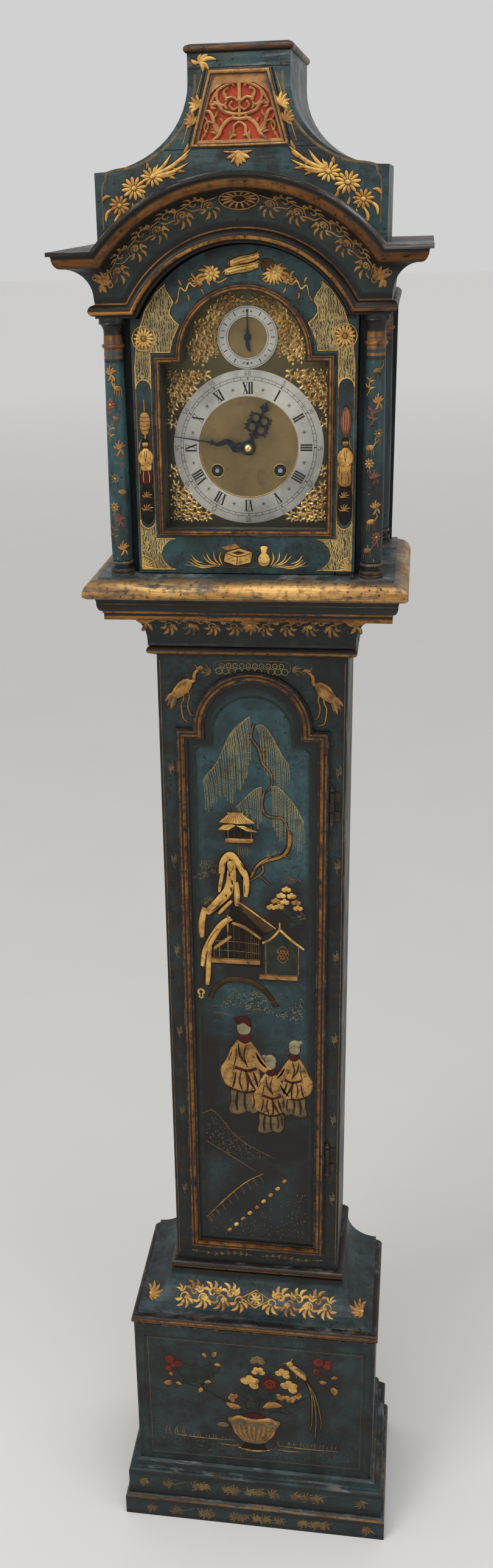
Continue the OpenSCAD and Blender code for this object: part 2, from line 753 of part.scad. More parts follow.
module hood_base_cyma() {
    side = platform_half - 1.5;
    front = platform_y + 14;
    inset = side - hood_inner;
    color(dark_lacquer) difference() {
        mitred(concat([[-inset, cyma_z], [0, cyma_z], [0, cyma_z + 1.5]],
            arc(0, cyma_z + cyma_h / 2 + 0.8, 5, cyma_h / 2 - 1, -90, 0, 5),
            arc(9.5, cyma_z + cyma_h / 2 + 1, 4.5, cyma_h / 2 - 2.5, 180, 90, 5),
            [[9.5, base_z], [-inset, base_z]]), side, front, back_y);
        for (s = [-1, 1]) block([s * (hood_inner - over), trunk_y + 10, rail_z - 0.5],
            [s * (trunk_half + rail_w + 0.6), back_y + over, rail_z + rail_h + 0.5]);
    }
}

// Hood side boards with the rear stiles that back the rear columns and the blocks behind the frieze
module hood_sides() {
    color(lacquer) both_sides() {
        block([hood_inner, mask_y + mask_t, platform_z], [carcass_half, back_y, cap_z]);
        block([carcass_half, back_y - rear_stile_t, platform_z], [rear_stile_half, back_y, soffit_z]);
        block([carcass_half, mask_y + mask_t, soffit_z], [hood_half - hood_wall, back_y, cap_z]);
    }
}

// Frame behind the hood door that hides the edge of the dial, with the stiles behind the columns
module hood_mask() {
    color(lacquer) {
        upright(mask_y, mask_y + mask_t) difference() {
            union() {
                translate([-carcass_half, platform_z]) square([2 * carcass_half, soffit_z - platform_z]);
                intersection() {
                    translate([0, arch_z]) circle(r = arch_r - 2, $fn = 96);
                    translate([-arch_r, arch_z]) square([2 * arch_r, cap_z - arch_z]);
                }
            }
            arched(sight_w / 2 + 0.5, sight_z - 5, shoulder_z, sight_r + 0.5, crown_z);
        }
        both_sides() block([hood_door_half + 1.3, stile_y, platform_z], [stile_half, mask_y + mask_t, soffit_z]);
    }
}

// One turned column with base, neck ring and capital
module column() {
    h = column_h;
    neck = column_r - 1.5;
    rotate_extrude($fn = 64) polygon(concat([[0, 0], [12, 0], [12, 3]],
        arc(9.5, 5.5, 2.5, 2.5, -60, 90, 5), [[8.5, 8.5], [8.5, 11]], arc(9, 13, 2, 2, -90, 90, 5),
        [[column_r - 0.6, 16], [column_r, 40], [column_r, 90], [neck, h - 28]],
        arc(neck, h - 25.5, 2, 2, -90, 90, 5), [[neck, h - 22], [neck - 0.4, h - 14]],
        arc(14, h - 14, 14.4 - neck, 9, 180, 100, 6), [[12.8, h - 4], [12.8, h], [0, h]]));
}

module hood_columns() {
    color(lacquer) for (s = [-1, 1], at = [[column_x, column_y], [rear_column_x, rear_column_y]])
        translate([s * at[0], at[1], platform_z]) column();
}

module architrave() {
    h = architrave_h;
    color(gilt) difference() {
        entablature(concat([[-hood_wall, soffit_z], [0, soffit_z], [0, soffit_z + 1.8]],
            arc(0.5, soffit_z + h * 0.5, 5.5, h * 0.36, -90, 90, 8),
            [[0, soffit_z + h - 1.5], [0, soffit_z + h], [-hood_wall, soffit_z + h]]));
        translate([pivot_x, pivot_y, soffit_z - over]) cylinder(r = pivot_r + run, h = 8 + over, $fn = 32);
    }
}

module frieze() {
    color(lacquer) entablature(concat([[-hood_wall, frieze_z], [0, frieze_z], [0.4, frieze_z + 3]],
        arc(cornice_out * 0.69, frieze_z + 3, cornice_out * 0.69 - 0.4, frieze_h - 3, 180, 90, 10),
        [[-hood_wall, cornice_z]]));
}

module cornice() {
    edge = cap_z - 3.6;
    color(dark_lacquer) entablature(concat([[-hood_wall, cornice_z], [cornice_out * 0.69, cornice_z]],
        arc(cornice_out * 0.69, edge - 1, cornice_out * 0.2, edge - 1 - cornice_z, -90, 0, 6),
        [[cornice_out - 3, edge], [cornice_out, edge], [cornice_out, cap_z], [-hood_wall, cap_z]]));
}

module hood_top_board() {
    color(bare_wood)
        block([-cap_half + cap_t + 0.5, mask_y + 2, cap_z], [cap_half - cap_t - 0.5, back_y - cap_t, cap_z + 8]);
}

// Outline of the cap seen from the front, drawn in by t all round
module cap_outline(t) {
    foot = cap_half - t;
    neck = neck_half - t;
    curve = arc(foot, cap_neck_z, foot - neck, cap_curve_h + t, 270, 180, 14);
    polygon(concat([[-foot, cap_z]], [for (p = curve) [-p[0], p[1]]],
        [[-neck, cap_top_z - t], [neck, cap_top_z - t]], [for (i = [len(curve) - 1 : -1 : 0]) curve[i]], [[foot, cap_z]]));
}

module fret_field(grow) {
    polygon([[-fret_low_half - grow, fret_z - grow], [fret_low_half + grow, fret_z - grow],
        [fret_top_half + grow, fret_z + fret_h + grow], [-fret_top_half - grow, fret_z + fret_h + grow]]);
}

module cap_front() {
    color(lacquer) upright(frieze_y, frieze_y + hood_wall) difference() {
        cap_outline(0);
        translate([0, arch_z]) circle(r = cap_z - arch_shift + 0.01, $fn = 120);
        fret_field(0);
    }
}

module cap_shell() {
    color(lacquer) {
        upright(frieze_y + hood_wall, back_y) difference() {
            cap_outline(0);
            translate([0, -0.01]) cap_outline(cap_t);
        }
        upright(back_y - cap_t, back_y) translate([0, -0.01]) cap_outline(cap_t);
    }
}

module cap_moulding() {
    out = 3;
    color(gilt) {
        mitred(concat([[-neck_half, cap_top_z], [0, cap_top_z]],
            arc(0, cap_top_z + cap_mould_h / 2, out, cap_mould_h / 2 - 0.8, -90, 90, 8),
            [[-2, cap_top_z + cap_mould_h], [-neck_half, cap_top_z + cap_mould_h]]), neck_half, frieze_y, back_y);
    }
}

// Pierced panel of C scrolls over the cloth
module sound_fret() {
    thick = 2.5;
    y0 = frieze_y + 2;
    module scroll(x, z, r, w) {
        ring(x, fret_z + z, r, r - w, y0, y0 + thick);
    }
    color("#b08a4e") {
        upright(y0, y0 + thick) difference() {
            fret_field(0);
            polygon([[-fret_low_half + 5, fret_z + 4], [fret_low_half - 5, fret_z + 4],
                [fret_top_half - 5, fret_z + fret_h - 9], [5 - fret_top_half, fret_z + fret_h - 9]]);
        }
        intersection() {
            union() {
                for (s = [-1, 1]) {
                    scroll(s * 12.5, 10.5, 8.5, 2);
                    scroll(s * 28.5, 9.5, 7, 2);
                    scroll(s * 8.6, 26.5, 8, 2);
                    scroll(s * 22.5, 25, 6.6, 2);
                    scroll(s * 8, 41, 7, 2);
                }
                upright(y0, y0 + thick) translate([-1.2, fret_z + 3]) square([2.4, fret_h - 10]);
            }
            upright(y0, y0 + thick) fret_field(-2);
        }
    }
}

module fret_lining() {
    color("#b5402a") upright(frieze_y + 5, frieze_y + 7) fret_field(0);
}

module hood_door_frame() {
    half = hood_door_half;
    foot = platform_z + 1.2;
    top = soffit_z - 1.8;
    recess = strap_t + 0.3;
    color(lacquer) difference() {
        upright(hood_door_y, hood_door_y + hood_door_t) difference() {
            union() {
                translate([-half, foot]) square([2 * half, top - foot]);
                translate([0, arch_z]) circle(r = half, $fn = 120);
            }
            arched(sight_w / 2, sight_z, shoulder_z, sight_r, crown_z);
        }
        upright(hood_door_y + hood_door_t - 4, hood_door_y + hood_door_t + over)
            arched(sight_w / 2 + 3, sight_z - 3, shoulder_z + 3, sight_r + 3, crown_z);
        block([half - 20, hood_door_y - over, foot - over], [half + over, hood_door_y + 10, foot + recess]);
        block([half - 20, hood_door_y - over, top - recess], [half + over, hood_door_y + 10, top + over]);
    }
}

module hood_door_moulding() {
    w = sight_mould_w;
    module band(outer, inner, y0, y1) {
        upright(y0, y1) difference() {
            arched(sight_w / 2 + outer, sight_z - outer, shoulder_z + outer, sight_r + outer, crown_z);
            arched(sight_w / 2 + inner, sight_z - inner, shoulder_z + inner, sight_r + inner, crown_z);
        }
    }
    color(gilt) {
        band(w, 0, hood_door_y - sight_mould_out * 0.6, hood_door_y);
        band(w - 1.5, 2, hood_door_y - sight_mould_out, hood_door_y - sight_mould_out * 0.6);
    }
}

module hood_glass() {
    color("#dfeef0", 0.3) upright(hood_door_y + hood_door_t - 4, hood_door_y + hood_door_t - 2)
        arched(sight_w / 2 + 2.5, sight_z - 2.5, shoulder_z + 2.5, sight_r + 2.5, crown_z);
}

// Brass straps let into the top and bottom of the hood door, each with a pin ahead of the door
module hood_door_pivots() {
    half = hood_door_half;
    foot = platform_z + 1.2;
    top = soffit_z - 1.8;
    color(brass_colour) for (end = [[foot, -1], [top - strap_t, 1]]) {
        block([half - 18, hood_door_y, end[0]], [half - 0.5, hood_door_y + 9.5, end[0] + strap_t]);
        block([pivot_x - 2.2, pivot_y, end[0]], [pivot_x + 0.5, hood_door_y, end[0] + strap_t]);
        translate([pivot_x, pivot_y, end[0]]) cylinder(r = 2.2, h = strap_t, $fn = 40);
        translate([pivot_x, pivot_y, end[1] < 0 ? end[0] - 5 : end[0] + strap_t])
            cylinder(r = pivot_r, h = end[1] < 0 ? 5.5 : 5, $fn = 32);
    }
}

// Centre arbor with its pinion, wheel and the cannon pinion of the motion work
module centre_arbor() {
    color(steel) {
        arbor(CENTRE, arbor_r, minute_hand_y - 3, movement_back_y);
        wheel(CENTRE, centre_leaves, fine_mod, angle_to(CENTRE, INTER) + 180 / centre_leaves, train_y + inter_at,
            2.4, 0, 1);
    }
    color(brass_colour) {
        wheel(CENTRE, centre_teeth, small_mod, angle_to(CENTRE, THIRD), train_y + centre_at, wheel_t);
        arbor(CENTRE, pipe_r - run, minute_hand_y + hand_t, front_plate_y - 4.2);
        wheel(CENTRE, cannon_teeth, fine_mod, angle_to(CENTRE, MOTION) + 180 / cannon_teeth,
            front_plate_y - 4.2, 3, 0, 1);
    }
}

// Hand outline pointing up from the dial centre: a stem swelling into a pierced head
module minute_hand() {
    reach = chapter_d / 2 - 0.5;
    color(blued) translate([0, minute_hand_y + hand_t, dial_z]) rotate([0, minute_angle, 0]) rotate([90, 0, 0])
        difference() {
            union() {
                cylinder(r = 6, h = hand_t, $fn = 48);
                linear_extrude(height = hand_t) polygon([[-3, 4], [-1.6, 14], [-3.4, 22], [-1.2, 30], [-1.6, 38],
                    [-0.5, 42], [-0.3, reach], [0.3, reach], [0.5, 42], [2.6, 34], [1.4, 26], [0.6, 18], [3, 4]]);
            }
            translate([0, 0, -over]) cylinder(r = arbor_r + 0.02, h = hand_t + 2 * over, $fn = 32);
        }
}

module hand_collet() {
    color(brass_colour) translate([0, minute_hand_y, dial_z]) rotate([90, 0, 0]) difference() {
        intersection() {
            translate([0, 0, -1.5]) sphere(r = 5, $fn = 48);
            cylinder(r = 6, h = 6, $fn = 48);
        }
        translate([0, 0, -over]) cylinder(r = arbor_r + 0.02, h = 4.2, $fn = 32);
    }
}

module hour_wheel() {
    color(brass_colour) {
        ring(0, dial_z, hour_pipe_r, pipe_r + run, hour_hand_y - 0.4, front_plate_y - 8.4);
        wheel(CENTRE, hour_teeth, fine_mod, angle_to(CENTRE, MOTION), front_plate_y - 8.4, wheel_t, pipe_r + run);
    }
}

module hour_hand() {
    reach = chapter_d / 2 - chapter_band - 1;
    color(blued) translate([0, hour_hand_y + hand_t, dial_z]) rotate([0, hour_angle, 0]) rotate([90, 0, 0])
        difference() {
            union() {
                cylinder(r = 7, h = hand_t, $fn = 48);
                linear_extrude(height = hand_t) polygon([[-3, 5], [-1.3, 12], [-3, 16], [-2, reach - 12],
                    [-4, reach - 6], [0, reach], [4, reach - 6], [2, reach - 12], [3, 16], [1.3, 12], [3, 5]]);
                for (s = [-1, 1], z = [18, 26]) translate([s * 4.6, z, 0]) cylinder(r = 4.2, h = hand_t, $fn = 40);
            }
            for (s = [-1, 1], z = [18, 26]) translate([s * 4.6, z, -over])
                cylinder(r = 2.6, h = hand_t + 2 * over, $fn = 40);
            translate([0, 0, -over]) cylinder(r = hour_pipe_r + 0.02, h = hand_t + 2 * over, $fn = 40);
        }
}

// Minute wheel and its pinion, turning on a stud ahead of the front plate
module motion_wheel() {
    color(brass_colour) {
        wheel(MOTION, minute_teeth, fine_mod, angle_to(MOTION, CENTRE), front_plate_y - 3.8, wheel_t, 1.5 + run);
        wheel(MOTION, minute_leaves, fine_mod, angle_to(MOTION, CENTRE) + 180 / minute_leaves,
            front_plate_y - 8.8, 5.1, 1.5 + run, 1);
    }
}

// Spring barrel with its great wheel and the winding arbor that reaches the dial
module barrel(pos, toward) {
    color(brass_colour) {
        wheel(pos, great_teeth, ratio_mod, angle_to(pos, toward), train_y + great_at, 2.5);
        arbor(pos, barrel_r, train_y + drum_at - 0.6, train_y + drum_at + drum_l);
    }
    color(steel) {
        arbor(pos, barrel_arbor_r, dial_y + 0.5, movement_back_y);
        translate([pos[0] - 1.7, ring_y + 0.2, dial_z + pos[1] - 1.7]) cube([3.4, 8, 3.4]);
    }
}

module going_barrel() {
    barrel(GOING, INTER);
}

module strike_barrel() {
    barrel(STRIKE, PIN);
}

// Arbor with a driving wheel and a pinion that the great wheel turns
module inter_arbor(pos, barrel_pos, wheel_at, next) {
    color(steel) {
        arbor(pos, arbor_r, front_plate_y, train_y + drum_at + drum_l - 4);
        wheel(pos, inter_leaves, ratio_mod, angle_to(pos, barrel_pos) + 180 / inter_leaves, train_y + great_at - 0.2,
            2.9, 0, 1);
    }
    color(brass_colour) wheel(pos, inter_teeth, fine_mod, angle_to(pos, next), train_y + wheel_at, wheel_t);
}

module intermediate_wheel() {
    inter_arbor(INTER, GOING, inter_at + 0.4, CENTRE);
}

module pin_wheel() {
    inter_arbor(PIN, STRIKE, pin_at, CENTRE);
    color(steel) for (i = [0 : 7]) arbor(PIN + 10 * [cos(45 * i), sin(45 * i)], 0.6,
        train_y + pin_at + wheel_t - 0.2, train_y + pin_at + wheel_t + 1.2);
}

module third_wheel() {
    color(steel) {
        arbor(THIRD, arbor_r, front_plate_y, movement_back_y);
        wheel(THIRD, third_leaves, small_mod, angle_to(THIRD, CENTRE) + 180 / third_leaves,
            train_y + centre_at - 0.2, 2, 0, 1);
    }
    color(brass_colour) wheel(THIRD, third_teeth, small_mod, angle_to(THIRD, ESCAPE), train_y + third_at, wheel_t);
}

module escape_wheel() {
    root = escape_r - 2;
    color(steel) {
        arbor(ESCAPE, arbor_r, front_plate_y, movement_back_y);
        wheel(ESCAPE, escape_leaves, small_mod, angle_to(ESCAPE, THIRD) + 180 / escape_leaves,
            train_y + third_at - 0.2, 2, 0, 1);
    }
    color(brass_colour) translate([0, train_y + escape_at + 1.2, dial_z + ESCAPE[1]]) rotate([90, 0, 0])
        linear_extrude(height = 1.2) polygon([for (i = [0 : escape_teeth - 1], c = [[0, escape_r], [0.25, escape_r - 0.2],
            [0.5, root], [0.9, root]]) let (a = (i + c[0]) * 360 / escape_teeth) c[1] * [cos(a), sin(a)]]);
}

// Hammer that strikes the nearest gong rod, with its lifting tail between the plates
module hammer() {
    head_x = GONG_X[2] - 2.5 - 2 - 4;
    color(steel) {
        arbor(HAMMER, arbor_r, front_plate_y, gong_y + 2.5);
        upright(gong_y - 2.5, gong_y + 2.5) polygon([[HAMMER[0] - 2, dial_z + HAMMER[1] + 3],
            [HAMMER[0] + 2, dial_z + HAMMER[1] + 3], [HAMMER[0] + 2, dial_z + HAMMER[1] - 4],
            [head_x + 1.5, dial_z + HAMMER[1] - 18], [head_x + 1.5, gong_z - 12], [head_x - 1.5, gong_z - 12],
            [head_x - 1.5, dial_z + HAMMER[1] - 16]]);
        translate([head_x, gong_y, gong_z - 12 - 5]) cylinder(r = 4, h = 10, $fn = 40);
        upright(train_y + 14, train_y + 16) polygon([[HAMMER[0] - 2, dial_z + HAMMER[1] + 2],
            [HAMMER[0] + 2, dial_z + HAMMER[1] + 2], [HAMMER[0] + 14, dial_z + HAMMER[1] - 16],
            [HAMMER[0] + 12, dial_z + HAMMER[1] - 17]]);
    }
}

// Anchor over the escape wheel, and the crutch that follows the pendulum rod
module pallets() {
    anchor_y = train_y + escape_at - 0.4;
    crutch_y = movement_back_y + 6;
    color(steel) {
        arbor(PALLET, arbor_r, front_plate_y, crutch_y + 2);
        difference() {
            intersection() {
                ring(0, dial_z + ESCAPE[1], escape_r + 3.6, escape_r + 1.4, anchor_y, anchor_y + 2);
                upright(anchor_y - over, anchor_y + 2 + over) polygon([[0, dial_z + ESCAPE[1]],
                    [-16, dial_z + ESCAPE[1] + 16], [16, dial_z + ESCAPE[1] + 16]]);
            }
        }
        arbor(PALLET, 3, anchor_y, anchor_y + 2);
        block([-1.5, anchor_y, dial_z + ESCAPE[1] + escape_r + 2], [1.5, anchor_y + 2, pivot_z]);
        block([-2, crutch_y, pivot_z - 48], [2, crutch_y + 2, pivot_z + 2]);
        block([-6, crutch_y, pivot_z - 48], [6, crutch_y + 2, pivot_z - 44]);
        for (s = [-1, 1]) rod_y(s * 4.8, pivot_z - 46, 1, crutch_y, pendulum_y + 3);
    }
}

bob_z = pivot_z - pendulum_l;

module pendulum_rod() {
    color(steel) {
        difference() {
            union() {
                rod_y(0, pivot_z, 4, pendulum_y - 2, pendulum_y + 2);
                translate([0, pendulum_y, bob_z - bob_r - 22]) cylinder(r = 3, h = pendulum_l + bob_r + 20, $fn = 40);
            }
            rod_y(0, pivot_z, 1.5 + run, pendulum_y - 6, pendulum_y + 6);
        }
    }
    color(brass_colour) translate([0, pendulum_y, bob_z - bob_r - 12]) difference() {
        cylinder(r = 7, h = 7, $fn = 48);
        translate([0, 0, -over]) cylinder(r = 3, h = 7 + 2 * over, $fn = 40);
    }
}

// Lens-shaped bob that slides on the rod
module pendulum_bob() {
    thick = 22;
    lens_r = (bob_r * bob_r + thick * thick / 4) / thick;
    color(brass_colour) difference() {
        translate([0, pendulum_y, bob_z]) rotate([90, 0, 0]) intersection() {
            translate([0, 0, thick / 2 - lens_r]) sphere(r = lens_r, $fn = 96);
            translate([0, 0, lens_r - thick / 2]) sphere(r = lens_r, $fn = 96);
            cylinder(r = bob_r - 1, h = thick, center = true, $fn = 96);
        }
        translate([0, pendulum_y, bob_z - bob_r - over]) cylinder(r = 3, h = 2 * (bob_r + over), $fn = 40);
    }
}

// Pointer of the strike and silent ring: straight point up, curled tail down
module strike_silent_hand() {
    y0 = ring_y - 1.3;
    reach = sub_d / 2 - 3;
    color(blued) {
        translate([0, y0 + hand_t, sub_z]) rotate([90, 0, 0]) difference() {
            union() {
                cylinder(r = 3.4, h = hand_t, $fn = 40);
                linear_extrude(height = hand_t) polygon([[-1.6, 2], [-0.5, 10], [-0.4, reach], [0.4, reach], [0.5, 10],
                    [1.6, 2]]);
                linear_extrude(height = hand_t) polygon([[-1.4, -2], [-1.8, -7], [0.4, -12], [2.8, -13.5], [2.2, -9],
                    [1.4, -6], [1.4, -2]]);
            }
        }
    }
    color(steel) {
        rod_y(0, sub_z, arbor_r, y0 - 1, dial_back_y + 4);
        rod_y(0, sub_z, 2.2, y0 - 2, y0 + 0.2);
    }
}

backboard();
trunk_sides();
trunk_front();
throat_moulding();
gilt_beads();
base_moulding();
plinth_boards();
skirt_upper();
skirt_lower();
seat_board();
hood_rails();
trunk_hinge_leaves();
dial_plate();
chapter_rings();
spandrels();
movement_plates();
pillars_and_feet();
back_cock();
rod_gong();
trunk_door_panel();
trunk_door_moulding();
trunk_door_hinges();
lock_case();
escutcheon();
lock_bolt();
hood_base();
hood_base_cyma();
hood_sides();
hood_mask();
hood_columns();
architrave();
frieze();
cornice();
hood_top_board();
cap_front();
cap_shell();
cap_moulding();
sound_fret();
fret_lining();
hood_door_frame();
hood_door_moulding();
hood_glass();
hood_door_pivots();
centre_arbor();
minute_hand();
hand_collet();
hour_wheel();
hour_hand();
motion_wheel();
going_barrel();
intermediate_wheel();
third_wheel();
escape_wheel();
strike_barrel();
pin_wheel();
hammer();
pallets();
pendulum_rod();
pendulum_bob();
strike_silent_hand();
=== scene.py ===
import math
import random

import bpy
from mathutils import Matrix, Vector
from mathutils.geometry import tessellate_polygon


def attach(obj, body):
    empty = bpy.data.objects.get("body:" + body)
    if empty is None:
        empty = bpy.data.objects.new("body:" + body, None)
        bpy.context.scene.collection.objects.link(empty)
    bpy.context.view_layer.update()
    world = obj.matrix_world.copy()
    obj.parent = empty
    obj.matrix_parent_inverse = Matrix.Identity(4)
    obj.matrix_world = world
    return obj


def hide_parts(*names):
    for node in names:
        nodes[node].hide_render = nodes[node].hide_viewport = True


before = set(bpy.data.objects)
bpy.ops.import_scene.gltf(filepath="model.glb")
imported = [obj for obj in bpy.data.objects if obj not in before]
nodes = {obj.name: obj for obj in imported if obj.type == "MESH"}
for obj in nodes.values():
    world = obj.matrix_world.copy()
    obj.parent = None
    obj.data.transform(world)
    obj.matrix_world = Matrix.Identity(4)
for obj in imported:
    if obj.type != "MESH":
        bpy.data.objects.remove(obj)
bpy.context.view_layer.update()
MM = 0.001

# Heights of the case in millimetres, floor upwards
PLINTH_TOP = 310.0
LOW_BEAD_Z = 366.0
THROAT_Z = 1190.5
FRIEZE_Z = 1536.8
ARCH_Z = 1476.8
ARCH_SHIFT = 1413.3
DIAL_Z = 1395.8
SUB_Z = 1499.9
FRET_Z = 1668.8
CAP_CURVE_Z = 1647.8
NECK_Z = 1718.8

# Depths of the front faces in millimetres
TRUNK_Y = -16.7
DOOR_Y = -17.7
PLINTH_Y = -67.2
CAP_Y = -77.3
HOOD_DOOR_Y = -61.7
RING_Y = -28.0
DIAL_Y = -26.5
COLUMN_Y = -64.6
FRET_Y = -72.8
DUST_Y = -47.3
SKIRT_Y = -86.2
UPPER_SKIRT_Y = -81.2

# Half widths and depth of the case in millimetres
TRUNK_HALF = 101.5
PLINTH_HALF = 152.0
BACK_Y = 113.3
COLUMN_X = 124.0
CAP_HALF = 132.0
NECK_HALF = 45.0


# Colours and shaders

def tone(red, green, blue):
    """A display colour from 0 to 255 as the linear colour that a shader takes."""
    parts = []
    for value in (red, green, blue):
        v = value / 255
        parts.append(v / 12.92 if v <= 0.04045 else ((v + 0.055) / 1.055) ** 2.4)
    return (*parts, 1.0)


TEAL = tone(27, 44, 47)
TEAL_LIGHT = tone(45, 68, 70)
TEAL_DARK = tone(16, 26, 27)
# Near black: soot patches, and painted shade in hollows, quirks and along edges.
SOOT_AND_SHADE = tone(17, 17, 16)
BROWN = tone(42, 28, 19)
RED_BROWN = tone(78, 42, 22)
# Grey of rubbed lacquer, also used as painted sheen on edges and curved faces.
RUBBED_AND_SHEEN = tone(118, 122, 124)
GOLD = tone(176, 132, 62)
GOLD_DEEP = tone(118, 76, 34)
GOLD_PALE = tone(206, 168, 90)
INK = tone(24, 17, 12)
UMBER = tone(19, 14, 10)


class Shade:
    """Builds one procedural material node by node."""

    def __init__(self, name):
        self.mat = bpy.data.materials.new(name)
        self.mat.use_nodes = True
        self.tree = self.mat.node_tree
        self.tree.nodes.clear()
        out = self.add("ShaderNodeOutputMaterial")
        self.main = self.add("ShaderNodeBsdfPrincipled")
        self.tree.links.new(self.main.outputs[0], out.inputs[0])
        self.at = self.add("ShaderNodeTexCoord").outputs["Object"]
        self.parts = None

    def add(self, kind):
        return self.tree.nodes.new(kind)

    def join(self, value, socket):
        if isinstance(value, bpy.types.NodeSocket):
            self.tree.links.new(value, socket)
        else:
            socket.default_value = value

    def axis(self, letter):
        """Place along X, Y or Z in metres."""
        if self.parts is None:
            self.parts = self.add("ShaderNodeSeparateXYZ")
            self.join(self.at, self.parts.inputs[0])
        return self.parts.outputs[letter]

    def math(self, kind, *values):
        node = self.add("ShaderNodeMath")
        node.operation = kind
        for socket, value in zip(node.inputs, values):
            self.join(value, socket)
        return node.outputs[0]

    def plus(self, a, b):
        return self.math("ADD", a, b)

    def minus(self, a, b):
        return self.math("SUBTRACT", a, b)

    def times(self, a, b):
        return self.math("MULTIPLY", a, b)

    def least(self, a, b):
        return self.math("MINIMUM", a, b)

    def most(self, a, b):
        return self.math("MAXIMUM", a, b)

    def far(self, a, b):
        """Length of the longest side of a right triangle with sides a and b."""
        return self.math("SQRT", self.plus(self.times(a, a), self.times(b, b)))

    def stain(self, colour, tint, value, low, high, share=1.0):
        """Tints a colour where a value passes from low to high."""
        mask = self.band(value, low, high)
        return self.blend(mask if share == 1.0 else self.times(mask, share), colour, tint)

    def moved(self, stretch):
        if stretch == (1, 1, 1):
            return self.at
        node = self.add("ShaderNodeMapping")
        self.join(self.at, node.inputs["Vector"])
        node.inputs["Scale"].default_value = stretch
        return node.outputs[0]

    def noise(self, scale, detail=3.0, rough=0.55, stretch=(1, 1, 1), warp=0.0):
        node = self.add("ShaderNodeTexNoise")
        self.join(self.moved(stretch), node.inputs["Vector"])
        node.inputs["Scale"].default_value = scale
        node.inputs["Detail"].default_value = detail
        node.inputs["Roughness"].default_value = rough
        node.inputs["Distortion"].default_value = warp
        return node.outputs[0]

    def cells(self, scale, feature="F1", stretch=(1, 1, 1)):
        node = self.add("ShaderNodeTexVoronoi")
        node.feature = feature
        self.join(self.moved(stretch), node.inputs["Vector"])
        node.inputs["Scale"].default_value = scale
        return node.outputs["Distance"]

    def band(self, value, low, high, bottom=0.0, top=1.0):
        """0 at low, 1 at high, held beyond both."""
        node = self.add("ShaderNodeMapRange")
        node.clamp = True
        for socket, v in zip(node.inputs, (value, low, high, bottom, top)):
            self.join(v, socket)
        return node.outputs[0]

    def blend(self, share, first, second):
        node = self.add("ShaderNodeMix")
        node.data_type = "RGBA"
        self.join(share, node.inputs["Factor"])
        self.join(first, node.inputs[6])
        self.join(second, node.inputs[7])
        return node.outputs[2]

    def crest(self, along, bands):
        """Strongest of several soft bands, each (middle in mm, half width in mm, strength)."""
        total = 0.0
        for middle, half, strength in bands:
            away = self.math("ABSOLUTE", self.minus(along, middle * MM))
            part = self.band(away, half * MM, half * MM * 0.55, 0.0, strength)
            total = part if total == 0.0 else self.most(total, part)
        return total

    def near_edge(self, low, high, width):
        """1 along the edges of a box given by two corners in mm, 0 inside its faces."""
        away = []
        for letter, a, b in zip("XYZ", low, high):
            middle = (a + b) / 2 * MM
            half = (b - a) / 2 * MM
            off = self.math("ABSOLUTE", self.minus(self.axis(letter), middle))
            away.append(self.math("ABSOLUTE", self.minus(half, off)))
        low_end = self.least(self.least(away[0], away[1]), away[2])
        high_end = self.most(self.most(away[0], away[1]), away[2])
        total = self.plus(self.plus(away[0], away[1]), away[2])
        middle = self.minus(self.minus(total, low_end), high_end)
        return self.band(middle, width * MM, 0.0)

    def ovals(self, spots):
        """Strongest of several soft ragged ovals, each (x, z, half width, half height, strength) in mm."""
        drift = self.add("ShaderNodeTexNoise")
        self.join(self.at, drift.inputs["Vector"])
        drift.inputs["Scale"].default_value = 24.0
        drift.inputs["Detail"].default_value = 5.0
        drift.inputs["Roughness"].default_value = 0.65
        total = 0.0
        for x, z, half_x, half_z, strength in spots:
            off = self.add("ShaderNodeVectorMath")
            off.operation = "SUBTRACT"
            self.join(self.at, off.inputs[0])
            off.inputs[1].default_value = (x * MM, 0, z * MM)
            scaled = self.add("ShaderNodeVectorMath")
            scaled.operation = "DIVIDE"
            self.join(off.outputs[0], scaled.inputs[0])
            scaled.inputs[1].default_value = (half_x * MM, 1000.0, half_z * MM)
            far = self.add("ShaderNodeVectorMath")
            far.operation = "LENGTH"
            self.join(scaled.outputs[0], far.inputs[0])
            reach = self.plus(far.outputs["Value"], self.times(drift.outputs[0], 1.1))
            part = self.band(reach, 1.75, 1.05, 0.0, strength)
            total = part if total == 0.0 else self.most(total, part)
        return total

    def round_arch(self, height):
        """Lets every texture run along the arch instead of straight across it."""
        up = self.minus(self.axis("Z"), ARCH_Z * MM)
        turn_at = self.math("ARCTAN2", self.axis("X"), up)
        bent = self.add("ShaderNodeCombineXYZ")
        self.join(self.times(turn_at, 0.14), bent.inputs[0])
        self.join(self.axis("Y"), bent.inputs[1])
        self.join(height, bent.inputs[2])
        self.at = bent.outputs[0]

    def bump(self, height, depth, strength=1.0, under=None):
        node = self.add("ShaderNodeBump")
        node.inputs["Strength"].default_value = strength
        node.inputs["Distance"].default_value = depth * MM
        self.join(height, node.inputs["Height"])
        if under is not None:
            self.join(under, node.inputs["Normal"])
        return node.outputs[0]

    def done(self, colour, rough, metal=0.0, normal=None, coat=0.0, level=0.5):
        self.join(colour, self.main.inputs["Base Color"])
        self.join(rough, self.main.inputs["Roughness"])
        self.join(metal, self.main.inputs["Metallic"])
        self.main.inputs["Specular IOR Level"].default_value = level
        if coat:
            self.main.inputs["Coat Weight"].default_value = coat
            self.main.inputs["Coat Roughness"].default_value = 0.22
        if normal is not None:
            self.join(normal, self.main.inputs["Normal"])
        return self.mat


def arch_height(s):
    """Height along the entablature in metres: plain Z, or the radius where it runs over the arch."""
    x = s.axis("X")
    up = s.minus(s.axis("Z"), ARCH_Z * MM)
    far = s.far(x, up)
    return s.least(s.plus(far, ARCH_SHIFT * MM), s.axis("Z"))


